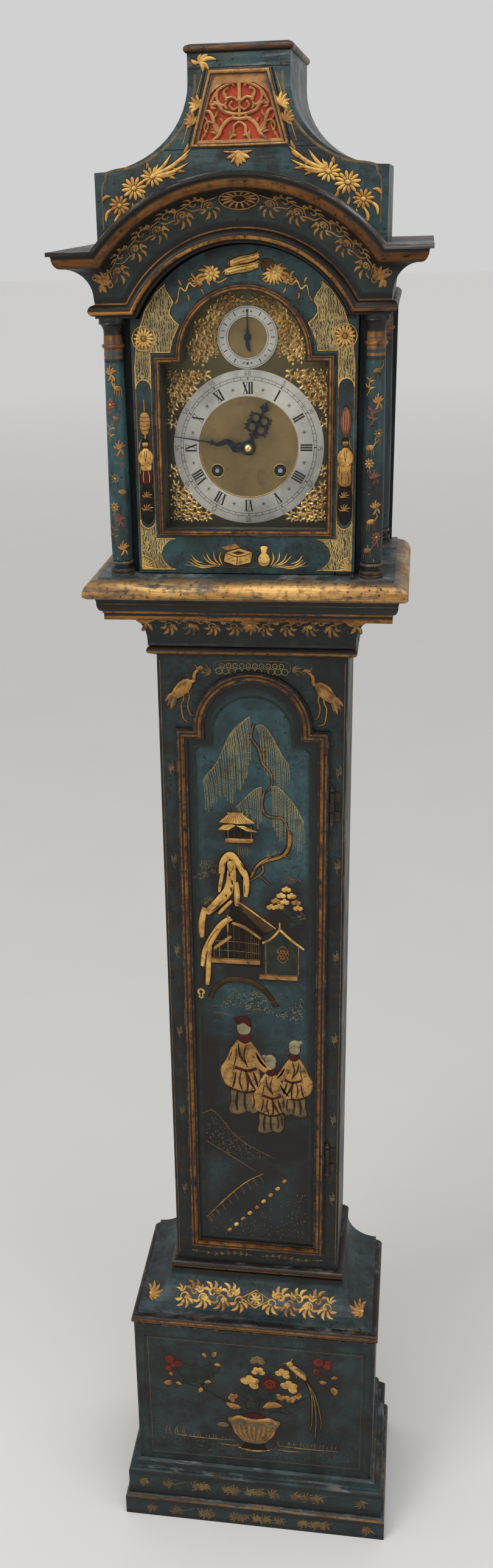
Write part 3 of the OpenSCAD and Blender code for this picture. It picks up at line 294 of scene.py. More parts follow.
def outline_depth(half, foot, shoulder, radius, centre):
    """Returns a shader function: distance inwards from a round-headed outline with shoulders, in metres."""
    def along(s):
        x = s.math("ABSOLUTE", s.axis("X"))
        z = s.axis("Z")
        off = s.minus(z, centre * MM)
        low = s.minus(z, foot * MM)
        side = s.minus(half * MM, x)
        top = s.minus(shoulder * MM, z)
        field = s.least(s.least(side, low), top)
        stilt = s.least(s.minus(radius * MM, x), low)
        far = s.far(x, off)
        crown = s.minus(radius * MM, far)
        above = s.math("GREATER_THAN", off, 0.0)
        arch = s.plus(s.times(stilt, s.minus(1.0, above)), s.times(crown, above))
        return s.most(field, arch)
    return along


# Half width, foot, shoulder, radius of the round head and height of its centre, in millimetres
DOOR_OUTLINE = (83.5, 400.0, 1097.0, 65.0, 1097.0)
SIGHT_Z = 1485.3
SIGHT_OUTLINE = (86.5, 1315.3, 1487.3, 66.0, SIGHT_Z)


def aged(name, ground=TEAL, ground_light=TEAL_LIGHT, along="Z", gilt=(), rub_and_sheen=(), dark=(), box=None,
         smoke=(), soot=0.5, worn=0.5, gold=GOLD, deep=GOLD_DEEP, streak=(1, 1, 1), edge=4.0, low_dark_and_shade=None,
         run=(0.3, 0.3, 3)):
    """Old lacquer: uneven colour, soot in patches, pits, crazing, worn gilt bands, dark bands of painted
    shade, painted shadow along the edges of a box, darkening towards the bottom that is partly its own
    colour and partly painted shade, and grey bands that are partly rubbed edges and partly painted sheen.
    """
    s = Shade(name)
    height = s.axis("Z") if along == "Z" else (arch_height(s) if along == "arch" else along(s))
    if along == "arch":
        s.round_arch(height)
    cloud = s.noise(9.0, 5.0, 0.6, streak)
    patch = s.noise(21.0, 6.0, 0.68, streak, 0.4)
    fine = s.noise(150.0, 4.0, 0.6, streak)
    grit = s.noise(620.0, 2.0, 0.5)
    brush = s.noise(60.0, 4.0, 0.65, run)
    colour = s.stain(ground, ground_light, cloud, 0.38, 0.66)
    colour = s.stain(colour, ground, brush, 0.4, 0.7, 0.5)
    colour = s.stain(colour, SOOT_AND_SHADE, patch, 0.44, 0.62, soot)
    colour = s.blend(s.times(s.band(s.noise(55.0, 6.0, 0.75, streak), 0.5, 0.62), soot * 0.8), colour,
                     SOOT_AND_SHADE)
    colour = s.stain(colour, BROWN, fine, 0.54, 0.72, 0.5)
    # Painted shade: dark bands along the profile in hollows, quirks, under overhangs, at the floor and just
    # inside raised mouldings.
    if dark:
        colour = s.blend(s.crest(height, dark), colour, SOOT_AND_SHADE)
    if smoke:
        front = s.band(s.axis("Y"), (DOOR_Y + 4) * MM, (DOOR_Y + 2) * MM)
        colour = s.blend(s.times(s.ovals(smoke), front), colour, UMBER)
    # Darker towards the bottom: partly the lacquer's own darker colour, partly painted shade where less
    # light reaches the lower case.
    if low_dark_and_shade is not None:
        share = s.band(s.axis("Z"), low_dark_and_shade[1] * MM, low_dark_and_shade[0] * MM, 0.0, low_dark_and_shade[2])
        colour = s.blend(share, colour, UMBER)
    metal = 0.0
    if gilt:
        wear = s.band(s.plus(brush, s.times(fine, 0.3)), 0.84, 0.66)
        mask = s.times(s.crest(height, gilt), wear)
        leaf = s.stain(deep, gold, s.noise(48.0, 4.0, 0.6, run), 0.36, 0.62)
        leaf = s.stain(leaf, RED_BROWN, s.noise(22.0, 4.0, 0.6, run), 0.5, 0.66, 0.7)
        leaf = s.stain(leaf, BROWN, fine, 0.5, 0.66, 0.6)
        colour = s.blend(mask, colour, leaf)
        metal = s.times(mask, 0.55)
    scrape_and_sheen = s.band(s.noise(70.0, 6.0, 0.75, run), 0.5, 0.62)
    bare = s.stain(RUBBED_AND_SHEEN, tone(96, 74, 52), s.noise(28.0, 4.0, 0.6), 0.42, 0.6)
    # Grey bands that are partly rubbed, bare lacquer and partly painted sheen, along the given bands and
    # the arrises of the box; worn sets their strength.
    masks = []
    if rub_and_sheen:
        masks.append(s.crest(height, rub_and_sheen))
    if box is not None:
        shadow = s.near_edge(box[0], box[1], edge * 3.2)
        colour = s.blend(s.times(shadow, s.band(patch, 0.25, 0.6, 0.45, 0.95)), colour, SOOT_AND_SHADE)
        masks.append(s.band(s.near_edge(box[0], box[1], edge), 0.35, 0.95))
    for mask in masks:
        colour = s.blend(s.times(s.times(mask, scrape_and_sheen), worn), colour, bare)
    pits = s.times(s.band(s.cells(165.0), 0.24, 0.12), s.band(s.noise(30.0, 2.0), 0.46, 0.54))
    colour = s.blend(s.times(pits, 0.9), colour, tone(9, 8, 7))
    craze = s.band(s.cells(75.0, "DISTANCE_TO_EDGE", (1, 1, 2.2)), 0.0, 0.035)
    lumps = s.plus(s.times(cloud, 3.0), fine)
    normal = s.bump(lumps, 0.4, 0.6)
    normal = s.bump(craze, 0.05, 0.35, normal)
    normal = s.bump(s.minus(grit, s.times(pits, 2.0)), 0.1, 0.6, normal)
    rough = s.plus(s.band(patch, 0.35, 0.7, 0.3, 0.58), s.times(fine, 0.12))
    return s.done(colour, rough, metal, normal, 0.05, 0.28)


def gilding(name, bright=GOLD_PALE, middle=GOLD, low=GOLD_DEEP, wear=0.5, metal=0.35, shine=0.46):
    """Raised gilding: warm gold with dull brown rubbing, dark pits and a fine grain."""
    s = Shade(name)
    cloud = s.noise(38.0, 5.0, 0.65)
    fine = s.noise(240.0, 4.0, 0.62)
    colour = s.stain(middle, bright, cloud, 0.4, 0.64)
    colour = s.stain(colour, low, s.noise(90.0, 4.0, 0.6), 0.5, 0.7)
    colour = s.stain(colour, BROWN, fine, 0.56, 0.7, wear)
    pits = s.band(s.cells(520.0), 0.2, 0.08)
    colour = s.blend(s.times(pits, 0.5), colour, INK)
    rough = s.band(fine, 0.3, 0.7, shine, shine + 0.2)
    normal = s.bump(s.plus(fine, s.times(cloud, 2.0)), 0.2, 0.55)
    return s.done(colour, rough, metal, normal)


def paint(name, first, second, rough=0.6):
    """Thin paint of one hue with brush variation and a slight tooth."""
    s = Shade(name)
    cloud = s.noise(60.0, 5.0, 0.62)
    colour = s.stain(first, second, cloud, 0.36, 0.64)
    fine = s.noise(300.0, 3.0)
    normal = s.bump(fine, 0.06, 0.5)
    return s.done(colour, s.band(fine, 0.3, 0.7, rough - 0.1, rough + 0.12), 0.0, normal, level=0.15)


def metalwork(name, first, second, rough=0.34, metal=1.0, stain=None, scale=45.0):
    """Metal with uneven tarnish, fine scratches and smudged gloss."""
    s = Shade(name)
    cloud = s.noise(scale, 5.0, 0.6)
    colour = s.stain(first, second, cloud, 0.38, 0.62)
    if stain is not None:
        colour = s.stain(colour, stain, s.noise(scale * 0.5, 6.0, 0.7), 0.5, 0.68, 0.7)
    fine = s.noise(900.0, 2.0, 0.5)
    normal = s.bump(fine, 0.02, 0.5)
    return s.done(colour, s.band(s.noise(120.0, 4.0), 0.3, 0.7, rough - 0.08, rough + 0.16), metal,
                  normal)


def wood(name, first, second):
    """Bare old wood with long grain along Z."""
    s = Shade(name)
    rings = s.noise(46.0, 6.0, 0.6, (6, 6, 1), 0.6)
    colour = s.stain(first, second, rings, 0.35, 0.65)
    colour = s.stain(colour, BROWN, s.noise(12.0, 5.0, 0.7), 0.48, 0.7, 0.6)
    normal = s.bump(rings, 0.25, 0.6)
    return s.done(colour, s.band(rings, 0.3, 0.7, 0.55, 0.75), 0.0, normal)


def silvered():
    """Silvered ring with fine circular graining about the dial centre, soft grey tarnish and painted
    highlights in two opposite quadrants.
    """
    s = Shade("silvered_ring")
    x = s.axis("X")
    up = s.minus(s.axis("Z"), DIAL_Z * MM)
    far = s.far(x, up)
    turn = s.math("ARCTAN2", x, up)
    # Painted highlight: lighter in two opposite quadrants, standing in for the sheen of the circular
    # graining.
    painted_sheen = s.math("SINE", s.times(turn, 2.0))
    cloud = s.noise(26.0, 4.0, 0.6)
    colour = s.stain(tone(150, 148, 142), tone(188, 186, 178), cloud, 0.36, 0.66)
    colour = s.blend(s.band(painted_sheen, -0.6, 1.0, 0.0, 0.35), colour, tone(214, 206, 190))
    colour = s.stain(colour, tone(120, 108, 84), s.noise(70.0, 5.0, 0.7), 0.54, 0.72, 0.5)
    lines = s.add("ShaderNodeCombineXYZ")
    s.join(s.times(far, 2600.0), lines.inputs[0])
    grain = s.add("ShaderNodeTexNoise")
    s.join(lines.outputs[0], grain.inputs["Vector"])
    grain.inputs["Scale"].default_value = 1.0
    normal = s.bump(grain.outputs[0], 0.02, 0.6)
    return s.done(colour, s.band(cloud, 0.3, 0.7, 0.34, 0.5), 0.75, normal)


def dial_brass():
    """Dial plate: a matted centre, a smooth ground outside it, and outside the rings a darker ground under
    the castings, partly green tarnish and partly painted shade, browner and darker towards the bottom.
    """
    s = Shade("dial_brass")
    x = s.axis("X")
    up = s.minus(s.axis("Z"), DIAL_Z * MM)
    far = s.far(x, up)
    centre = s.band(far, 49.8 * MM, 49.2 * MM)
    cloud = s.noise(24.0, 6.0, 0.66)
    colour = s.stain(tone(100, 83, 50), tone(128, 108, 66), cloud, 0.34, 0.66)
    over = s.minus(s.axis("Z"), SUB_Z * MM)
    small = s.far(x, over)
    # Painted shade with tarnish: outside the rings the plate darkens under the castings, browner and darker
    # towards the bottom.
    outer = s.times(s.band(far, 73.5 * MM, 75.0 * MM), s.band(small, 27.5 * MM, 28.5 * MM))
    ground = s.blend(s.band(s.axis("Z"), (DIAL_Z + 40) * MM, (DIAL_Z + 110) * MM), tone(54, 42, 22),
                     tone(88, 82, 44))
    colour = s.blend(s.times(outer, s.band(cloud, 0.3, 0.6, 0.8, 1.0)), colour, ground)
    colour = s.stain(colour, tone(62, 48, 26), s.noise(60.0, 5.0, 0.7), 0.52, 0.7, 0.55)
    dots = s.cells(1300.0)
    matted = s.times(s.band(dots, 0.1, 0.6), centre)
    normal = s.bump(matted, 0.12, 0.8)
    normal = s.bump(s.noise(400.0, 3.0), 0.03, 0.4, normal)
    rough = s.plus(s.band(cloud, 0.3, 0.7, 0.36, 0.5), s.times(centre, 0.08))
    return s.done(colour, rough, 0.8, normal)


def cloth():
    """Faded red silk with a plain weave."""
    s = Shade("red_cloth")
    waves = []
    for letter in "XZ":
        waves.append(s.math("SINE", s.times(s.axis(letter), 5200.0)))
    weave = s.times(waves[0], waves[1])
    cloud = s.noise(40.0, 5.0, 0.6)
    colour = s.stain(tone(138, 42, 22), tone(172, 62, 32), cloud, 0.35, 0.65)
    colour = s.blend(s.band(weave, 0.2, -0.9, 0.0, 0.45), colour, tone(110, 34, 22))
    normal = s.bump(weave, 0.12, 0.6)
    normal = s.bump(s.noise(22.0, 2.0), 0.8, 0.5, normal)
    s.main.inputs["Sheen Weight"].default_value = 0.3
    return s.done(colour, 0.8, 0.0, normal, level=0.25)


def glass():
    """Clear old glass, slightly uneven."""
    s = Shade("old_glass")
    s.main.inputs["Alpha"].default_value = 0.01
    normal = s.bump(s.noise(18.0, 2.0), 0.15, 0.3)
    smear = s.noise(40.0, 3.0)
    return s.done(s.blend(s.band(smear, 0.3, 0.7), tone(216, 226, 224), tone(240, 246, 244)),
                  s.band(smear, 0.35, 0.7, 0.02, 0.06), 0.0, normal, level=0.3)


def fretwork_ground():
    """Tan ground covered with fine dark meandering lines."""
    s = Shade("fretwork_ground")
    wander = s.times(s.noise(170.0, 2.0, 0.5), 6.0)
    stripe = s.math("PINGPONG", s.plus(s.math("DIVIDE", s.axis("X"), 1.15 * MM), wander), 1.0)
    line = s.band(stripe, 0.52, 0.36)
    breaks = s.band(s.noise(240.0, 1.0), 0.4, 0.46)
    colour = s.stain(tone(112, 94, 54), tone(160, 136, 78), s.noise(70.0, 4.0), 0.36, 0.64)
    colour = s.blend(s.times(s.times(line, breaks), 0.95), colour, tone(22, 30, 28))
    colour = s.stain(colour, tone(38, 38, 30), s.noise(48.0, 5.0, 0.7), 0.5, 0.68, 0.6)
    normal = s.bump(line, 0.1, 0.5)
    return s.done(colour, 0.52, 0.15, normal)


# Materials

DOOR_SMOKE = ((-19, 978, 36, 34, 0.8), (-27, 918, 34, 54, 0.95), (-56, 830, 24, 90, 0.97),
              (38, 872, 36, 56, 1.0), (-14, 842, 58, 50, 1.0), (4, 799, 78, 20, 0.97),
              (-14, 664, 50, 66, 0.92), (34, 640, 42, 60, 0.95), (-60, 650, 34, 120, 1.0),
              (-24, 596, 66, 40, 1.0), (-30, 560, 50, 36, 0.9), (34, 560, 52, 46, 0.97),
              (4, 520, 40, 26, 0.9), (-20, 480, 40, 30, 0.7), (62, 500, 18, 70, 0.85),
              (18, 1086, 14, 34, 0.35))
PLINTH_SMOKE = ((0, 152, 54, 34, 0.85), (8, 208, 44, 34, 0.8), (-96, 236, 42, 30, 0.75),
                (-60, 210, 34, 20, 0.6), (60, 246, 30, 34, 0.75), (82, 190, 18, 60, 0.7),
                (98, 240, 30, 24, 0.7))
plinth_lacquer = aged("plinth_lacquer", tone(23, 37, 38), tone(38, 56, 56), soot=0.85, smoke=PLINTH_SMOKE,
                      box=((-PLINTH_HALF, PLINTH_Y, 8), (PLINTH_HALF, BACK_Y, PLINTH_TOP)), edge=3.0,
                      run=(2.5, 2.5, 0.4))
# The trunk darkens towards the bottom, partly its own colour and partly painted shade.
trunk_lacquer = aged("trunk_lacquer", tone(20, 32, 32), tone(36, 54, 54), soot=0.95,
                     low_dark_and_shade=(380, 1100, 0.62), box=((-TRUNK_HALF, TRUNK_Y, 372),
                                                  (TRUNK_HALF, BACK_Y, 1184)), edge=2.5, run=(3, 3, 0.3))
# The door has a dark band of painted shade just inside its raised moulding, and darkens towards the bottom,
# partly its own dark ground and partly painted shade.
door_lacquer = aged("door_lacquer", tone(34, 57, 62), tone(52, 80, 84), soot=0.5, smoke=DOOR_SMOKE,
                    low_dark_and_shade=(430, 760, 0.86), along=outline_depth(*DOOR_OUTLINE), dark=((10, 16, 0.9),),
                    run=(3, 3, 0.3))
throat_lacquer = aged("throat_lacquer", tone(14, 22, 22), tone(30, 42, 40), soot=0.85,
                      gilt=((1230.5, 2.6, 1.0),), rub_and_sheen=((1236, 1.4, 1.0), (1192, 1.4, 0.6)),
                      gold=tone(150, 100, 44), deep=tone(104, 64, 28))
hollow_lacquer = aged("hollow_lacquer", tone(28, 42, 46), tone(54, 68, 74), soot=0.7,
                      rub_and_sheen=((325, 4.0, 1.0),), dark=((364, 8, 0.8),), worn=0.6)
bead_gilt = aged("bead_gilt", tone(26, 18, 12), tone(30, 26, 22),
                 gilt=((313.5, 2.2, 0.8), (318.0, 1.6, 0.9), (369.6, 2.0, 1.0), (1183.2, 2.2, 1.0)),
                 rub_and_sheen=((322, 2.0, 0.9), (376, 1.6, 0.8)), worn=0.5, gold=tone(150, 102, 46),
                 deep=tone(100, 62, 28))
skirt_low_lacquer = aged("skirt_low_lacquer", tone(20, 36, 38), tone(32, 52, 54), soot=0.65,
                         gilt=((30.5, 2.0, 0.6),), rub_and_sheen=((32, 3.0, 1.0),),
                         dark=((0, 9, 0.8), (25, 4, 0.7)), worn=0.7)
skirt_up_lacquer = aged("skirt_up_lacquer", tone(20, 36, 38), tone(32, 52, 54), soot=0.65,
                        rub_and_sheen=((73.5, 3.0, 0.9), (82, 1.6, 0.8)), dark=((38, 9, 0.8), (68, 4, 0.7)),
                        worn=0.65)
cyma_lacquer = aged("cyma_lacquer", tone(16, 22, 21), tone(34, 42, 38), soot=0.7,
                    gilt=((1237.6, 1.8, 1.0), (1247.5, 0.7, 0.35)), rub_and_sheen=((1255.5, 1.0, 0.8),),
                    gold=tone(160, 110, 52), deep=tone(112, 70, 30))
base_gilt = aged("base_gilt", tone(38, 50, 52), tone(56, 72, 78), gilt=((1265.0, 11.5, 1.0),),
                 dark=((1258.6, 1.2, 0.9),), rub_and_sheen=((1276, 1.6, 1.0),), gold=tone(196, 156, 92),
                 deep=tone(146, 106, 56), worn=0.8, soot=0.4)
architrave_gilt = aged("architrave_gilt", tone(24, 16, 10), SOOT_AND_SHADE, along="arch",
                       gilt=((1527.6, 1.9, 1.0), (1535.6, 0.8, 0.6)), soot=0.5, gold=tone(186, 132, 62),
                       deep=tone(134, 86, 38))
frieze_lacquer = aged("frieze_lacquer", tone(24, 36, 34), tone(44, 58, 54), along="arch",
                      dark=((1537.8, 5.0, 0.95), (1567.8, 9.0, 0.95)), soot=0.6)
cornice_lacquer = aged("cornice_lacquer", tone(22, 15, 10), tone(26, 22, 20), along="arch",
                       gilt=((1572.6, 4.4, 1.0),), rub_and_sheen=((1581.9, 1.6, 1.0),), dark=((1577.8, 1.4, 1.0),),
                       gold=tone(134, 88, 38), deep=tone(88, 54, 24), worn=0.8, soot=0.4)
# The broad grey bands round 1690 mm on the cap are painted sheen on its curved face.
cap_lacquer = aged("cap_lacquer", tone(28, 46, 50), tone(54, 78, 80), soot=0.8,
                   rub_and_sheen=((1733, 10.0, 0.95), (1690, 60.0, 0.22), (1590, 5.0, 0.4)), worn=0.7)
# Painted reflection: the cap's sides take a greyer, lighter copy of the cap lacquer.
cap_side_sheen = aged("cap_side_sheen", tone(40, 52, 54), tone(74, 84, 84), soot=0.5,
                rub_and_sheen=((1733, 10.0, 0.9), (1690, 70, 0.3)), worn=0.7)
cap_bead = aged("cap_bead", tone(24, 18, 14), SOOT_AND_SHADE, gilt=((1744, 2.2, 0.7),), rub_and_sheen=((1747.4, 1.2, 0.8),),
                gold=tone(134, 90, 42), deep=tone(86, 54, 26))
column_lacquer = aged("column_lacquer", tone(26, 46, 50), tone(50, 82, 84), soot=0.85, streak=(1, 1, 0.3),
                      gilt=((1497, 6.0, 0.8), (1505, 3.0, 0.9), (1487.5, 1.6, 0.9), (1281, 2.4, 0.35),
                            (1290, 1.6, 0.5)), dark=((1284, 5.0, 0.85), (1514, 12.0, 0.97),
                                                     (1484, 2, 0.8)),
                      rub_and_sheen=((1289.8, 1.2, 1.0), (1277, 1.2, 1.0)), gold=tone(148, 98, 46),
                      deep=tone(84, 48, 24), run=(2, 2, 0.5))
hood_lacquer = aged("hood_lacquer", tone(29, 49, 52), tone(52, 79, 82), soot=0.78)
hood_side_lacquer = aged("hood_side_lacquer", tone(20, 34, 36), tone(34, 54, 56), soot=0.75,
                         box=((-112, -33, 1270), (112, BACK_Y, 1524)))
mask_lacquer = aged("mask_lacquer", TEAL_DARK, TEAL, soot=0.8)
bright_gilt = gilding("bright_gilt")
soft_gilt = gilding("soft_gilt", tone(166, 122, 60), tone(136, 94, 42), tone(88, 56, 26), 0.75)
robe_gilt = gilding("robe_gilt", tone(168, 128, 68), tone(140, 100, 48), tone(70, 46, 24), 0.95)
faded_gilt = gilding("faded_gilt", tone(112, 88, 50), tone(84, 66, 40), tone(54, 44, 30), 0.8, 0.15, 0.6)
olive_gilt = gilding("olive_gilt", tone(146, 130, 82), tone(116, 104, 64), tone(78, 72, 48), 0.6, 0.15,
                     0.55)
tan_gilt = gilding("tan_gilt", tone(178, 128, 74), tone(150, 102, 56), tone(104, 66, 34), 0.45, 0.2, 0.5)
ink = paint("ink", INK, tone(38, 28, 20))
void = paint("deep_shadow", tone(2, 2, 2), tone(5, 4, 4), 0.7)
black_paint = paint("black_paint", tone(12, 11, 10), tone(26, 22, 18), 0.5)
red_paint = paint("red_paint", tone(74, 24, 18), tone(104, 38, 27), 0.5)
dark_red = paint("dark_red", tone(42, 15, 13), tone(62, 24, 20), 0.5)
wall_brown = paint("wall_brown", tone(40, 28, 16), tone(66, 46, 24), 0.55)
wall_dark = paint("wall_dark", tone(16, 12, 9), tone(30, 22, 14), 0.5)
grey_paint = paint("grey_paint", tone(104, 98, 76), tone(136, 126, 98), 0.6)
RED_SPRAY = gilding("red_spray", tone(126, 66, 34), tone(100, 48, 26), tone(66, 34, 22), 0.6, 0.1, 0.55)
leaf_dark = paint("leaf_dark", tone(26, 34, 32), tone(40, 46, 40), 0.5)
bare = wood("bare_wood", tone(104, 74, 46), tone(140, 104, 66))
iron = metalwork("old_iron", tone(40, 36, 34), tone(64, 58, 54), 0.48, 0.8, tone(52, 34, 24))
steel = metalwork("steel", tone(150, 152, 156), tone(182, 184, 188), 0.3)
blued = metalwork("blued_steel", tone(13, 15, 26), tone(22, 26, 42), 0.4, 0.8)
brass = metalwork("brass", tone(176, 142, 78), tone(206, 172, 100), 0.32, 1.0, tone(112, 84, 44))
polished = metalwork("polished_brass", tone(220, 186, 112), tone(238, 208, 138), 0.2, 1.0,
                     tone(150, 116, 60))
cast_brass = metalwork("cast_brass", tone(196, 158, 88), tone(240, 212, 146), 0.3, 0.8, tone(110, 80, 38),
                       120.0)
lead_grey = metalwork("gong_iron", tone(70, 70, 74), tone(96, 96, 100), 0.42, 0.9)
silver = silvered()
dial_plate = dial_brass()
silk = cloth()
clear = glass()
fretwork = fretwork_ground()


# Finishes of the carried-over nodes

def finish(name, *materials):
    """Gives a node its materials, the first one on every face."""
    mesh = nodes[name].data
    mesh.materials.clear()
    for material in materials:
        mesh.materials.append(material)
    mesh.polygons.foreach_set("material_index", [0] * len(mesh.polygons))


def choose(name, rule):
    """Sets each face's slot from its middle in mm and its normal."""
    mesh = nodes[name].data
    for face in mesh.polygons:
        face.material_index = rule(face.center / MM, face.normal)


def soften(name, width):
    """Worn arrises: a narrow bevel."""
    mod = nodes[name].modifiers.new("worn_arris", "BEVEL")
    mod.width = width * MM
    mod.segments = 2
    mod.limit_method = "ANGLE"
    mod.angle_limit = math.radians(35)
    mod.harden_normals = False


def rounded(name, angle=32):
    """Shades the small facets of turned and curved faces as one surface."""
    mesh = nodes[name].data
    for face in mesh.polygons:
        face.use_smooth = True
    mesh.set_sharp_from_angle(angle=math.radians(angle))


plain = {
    bare: "backboard seat_board hood_rails hood_top_board",
    trunk_lacquer: "trunk_sides trunk_front",
    throat_lacquer: "throat_moulding",
    bead_gilt: "gilt_beads",
    hollow_lacquer: "base_moulding",
    plinth_lacquer: "plinth_boards",
    skirt_up_lacquer: "skirt_upper",
    skirt_low_lacquer: "skirt_lower",
    door_lacquer: "trunk_door_panel",
    base_gilt: "hood_base",
    cyma_lacquer: "hood_base_cyma",
    hood_side_lacquer: "hood_sides",
    mask_lacquer: "hood_mask",
    column_lacquer: "hood_columns",
    architrave_gilt: "architrave",
    frieze_lacquer: "frieze",
    cornice_lacquer: "cornice",
    cap_lacquer: "cap_front",
    cap_side_sheen: "cap_shell",
    cap_bead: "cap_moulding",
    silk: "fret_lining",
    hood_lacquer: "hood_door_frame",
    clear: "hood_glass",
    dial_plate: "dial_plate",
    silver: "chapter_rings",
    blued: "strike_silent_hand",
    polished: "hand_collet pendulum_bob",
    lead_grey: "rod_gong",
    steel: "lock_bolt hammer pallets",
    iron: "trunk_hinge_leaves trunk_door_hinges lock_case hood_door_pivots",
    brass: "movement_plates pillars_and_feet back_cock escutcheon hour_wheel motion_wheel centre_arbor",
}
for material, names in plain.items():
    for name in names.split():
        finish(name, material)
for name in ("intermediate_wheel", "third_wheel", "escape_wheel", "pin_wheel", "pendulum_rod"):
    finish(name, brass)
for name in ("going_barrel", "strike_barrel"):
    finish(name, brass, steel)
    choose(name, lambda at, normal: 1 if at.y < -18 else 0)
for name in nodes:
    if name not in ("trunk_sides", "plinth_boards", "backboard", "hood_glass"):
        rounded(name)


# Raised decoration

def smooth_line(points, steps=5):
    """Points along a smooth curve through the given ones."""
    if len(points) < 3:
        (x0, y0), (x1, y1) = points
        return [(x0 + (x1 - x0) * i / 3, y0 + (y1 - y0) * i / 3) for i in range(4)]
    closed = points[0] == points[-1]
    out = []
    count = len(points)
    for i in range(count - 1):
        before = points[i - 1] if i > 0 else (points[-2] if closed else points[0])
        after = points[i + 2] if i + 2 < count else (points[1] if closed else points[-1])
        a, b = points[i], points[i + 1]
        for k in range(steps):
            t = k / steps
            spot = []
            for p, q, m, n in zip(before, a, b, after):
                bend = (2 * p - 5 * q + 4 * m - n) * t * t + (3 * q - p - 3 * m + n) * t ** 3
                spot.append(0.5 * (2 * q + (m - p) * t + bend))
            out.append(tuple(spot))
    out.append(tuple(points[-1]))
    return out


def turn(point, degrees, about=(0, 0)):
    a = math.radians(degrees)
    x, y = point[0] - about[0], point[1] - about[1]
    return (about[0] + x * math.cos(a) - y * math.sin(a), about[1] + x * math.sin(a) + y * math.cos(a))


def polar(x, y, r, degrees):
    return (x + r * math.cos(math.radians(degrees)), y + r * math.sin(math.radians(degrees)))


def arc_line(x, y, rx, ry, start, end, count=10):
    out = []
    for i in range(count + 1):
        a = math.radians(start + (end - start) * i / count)
        out.append((x + rx * math.cos(a), y + ry * math.sin(a)))
    return out


def flip(degrees, side):
    """The angle, or its mirror image for side -1."""
    return degrees if side > 0 else 180 - degrees


def sided(side, *points):
    """The points, or their mirror images for side -1."""
    return [(side * x, y) for x, y in points]


EVEN = (1, 1, 1)


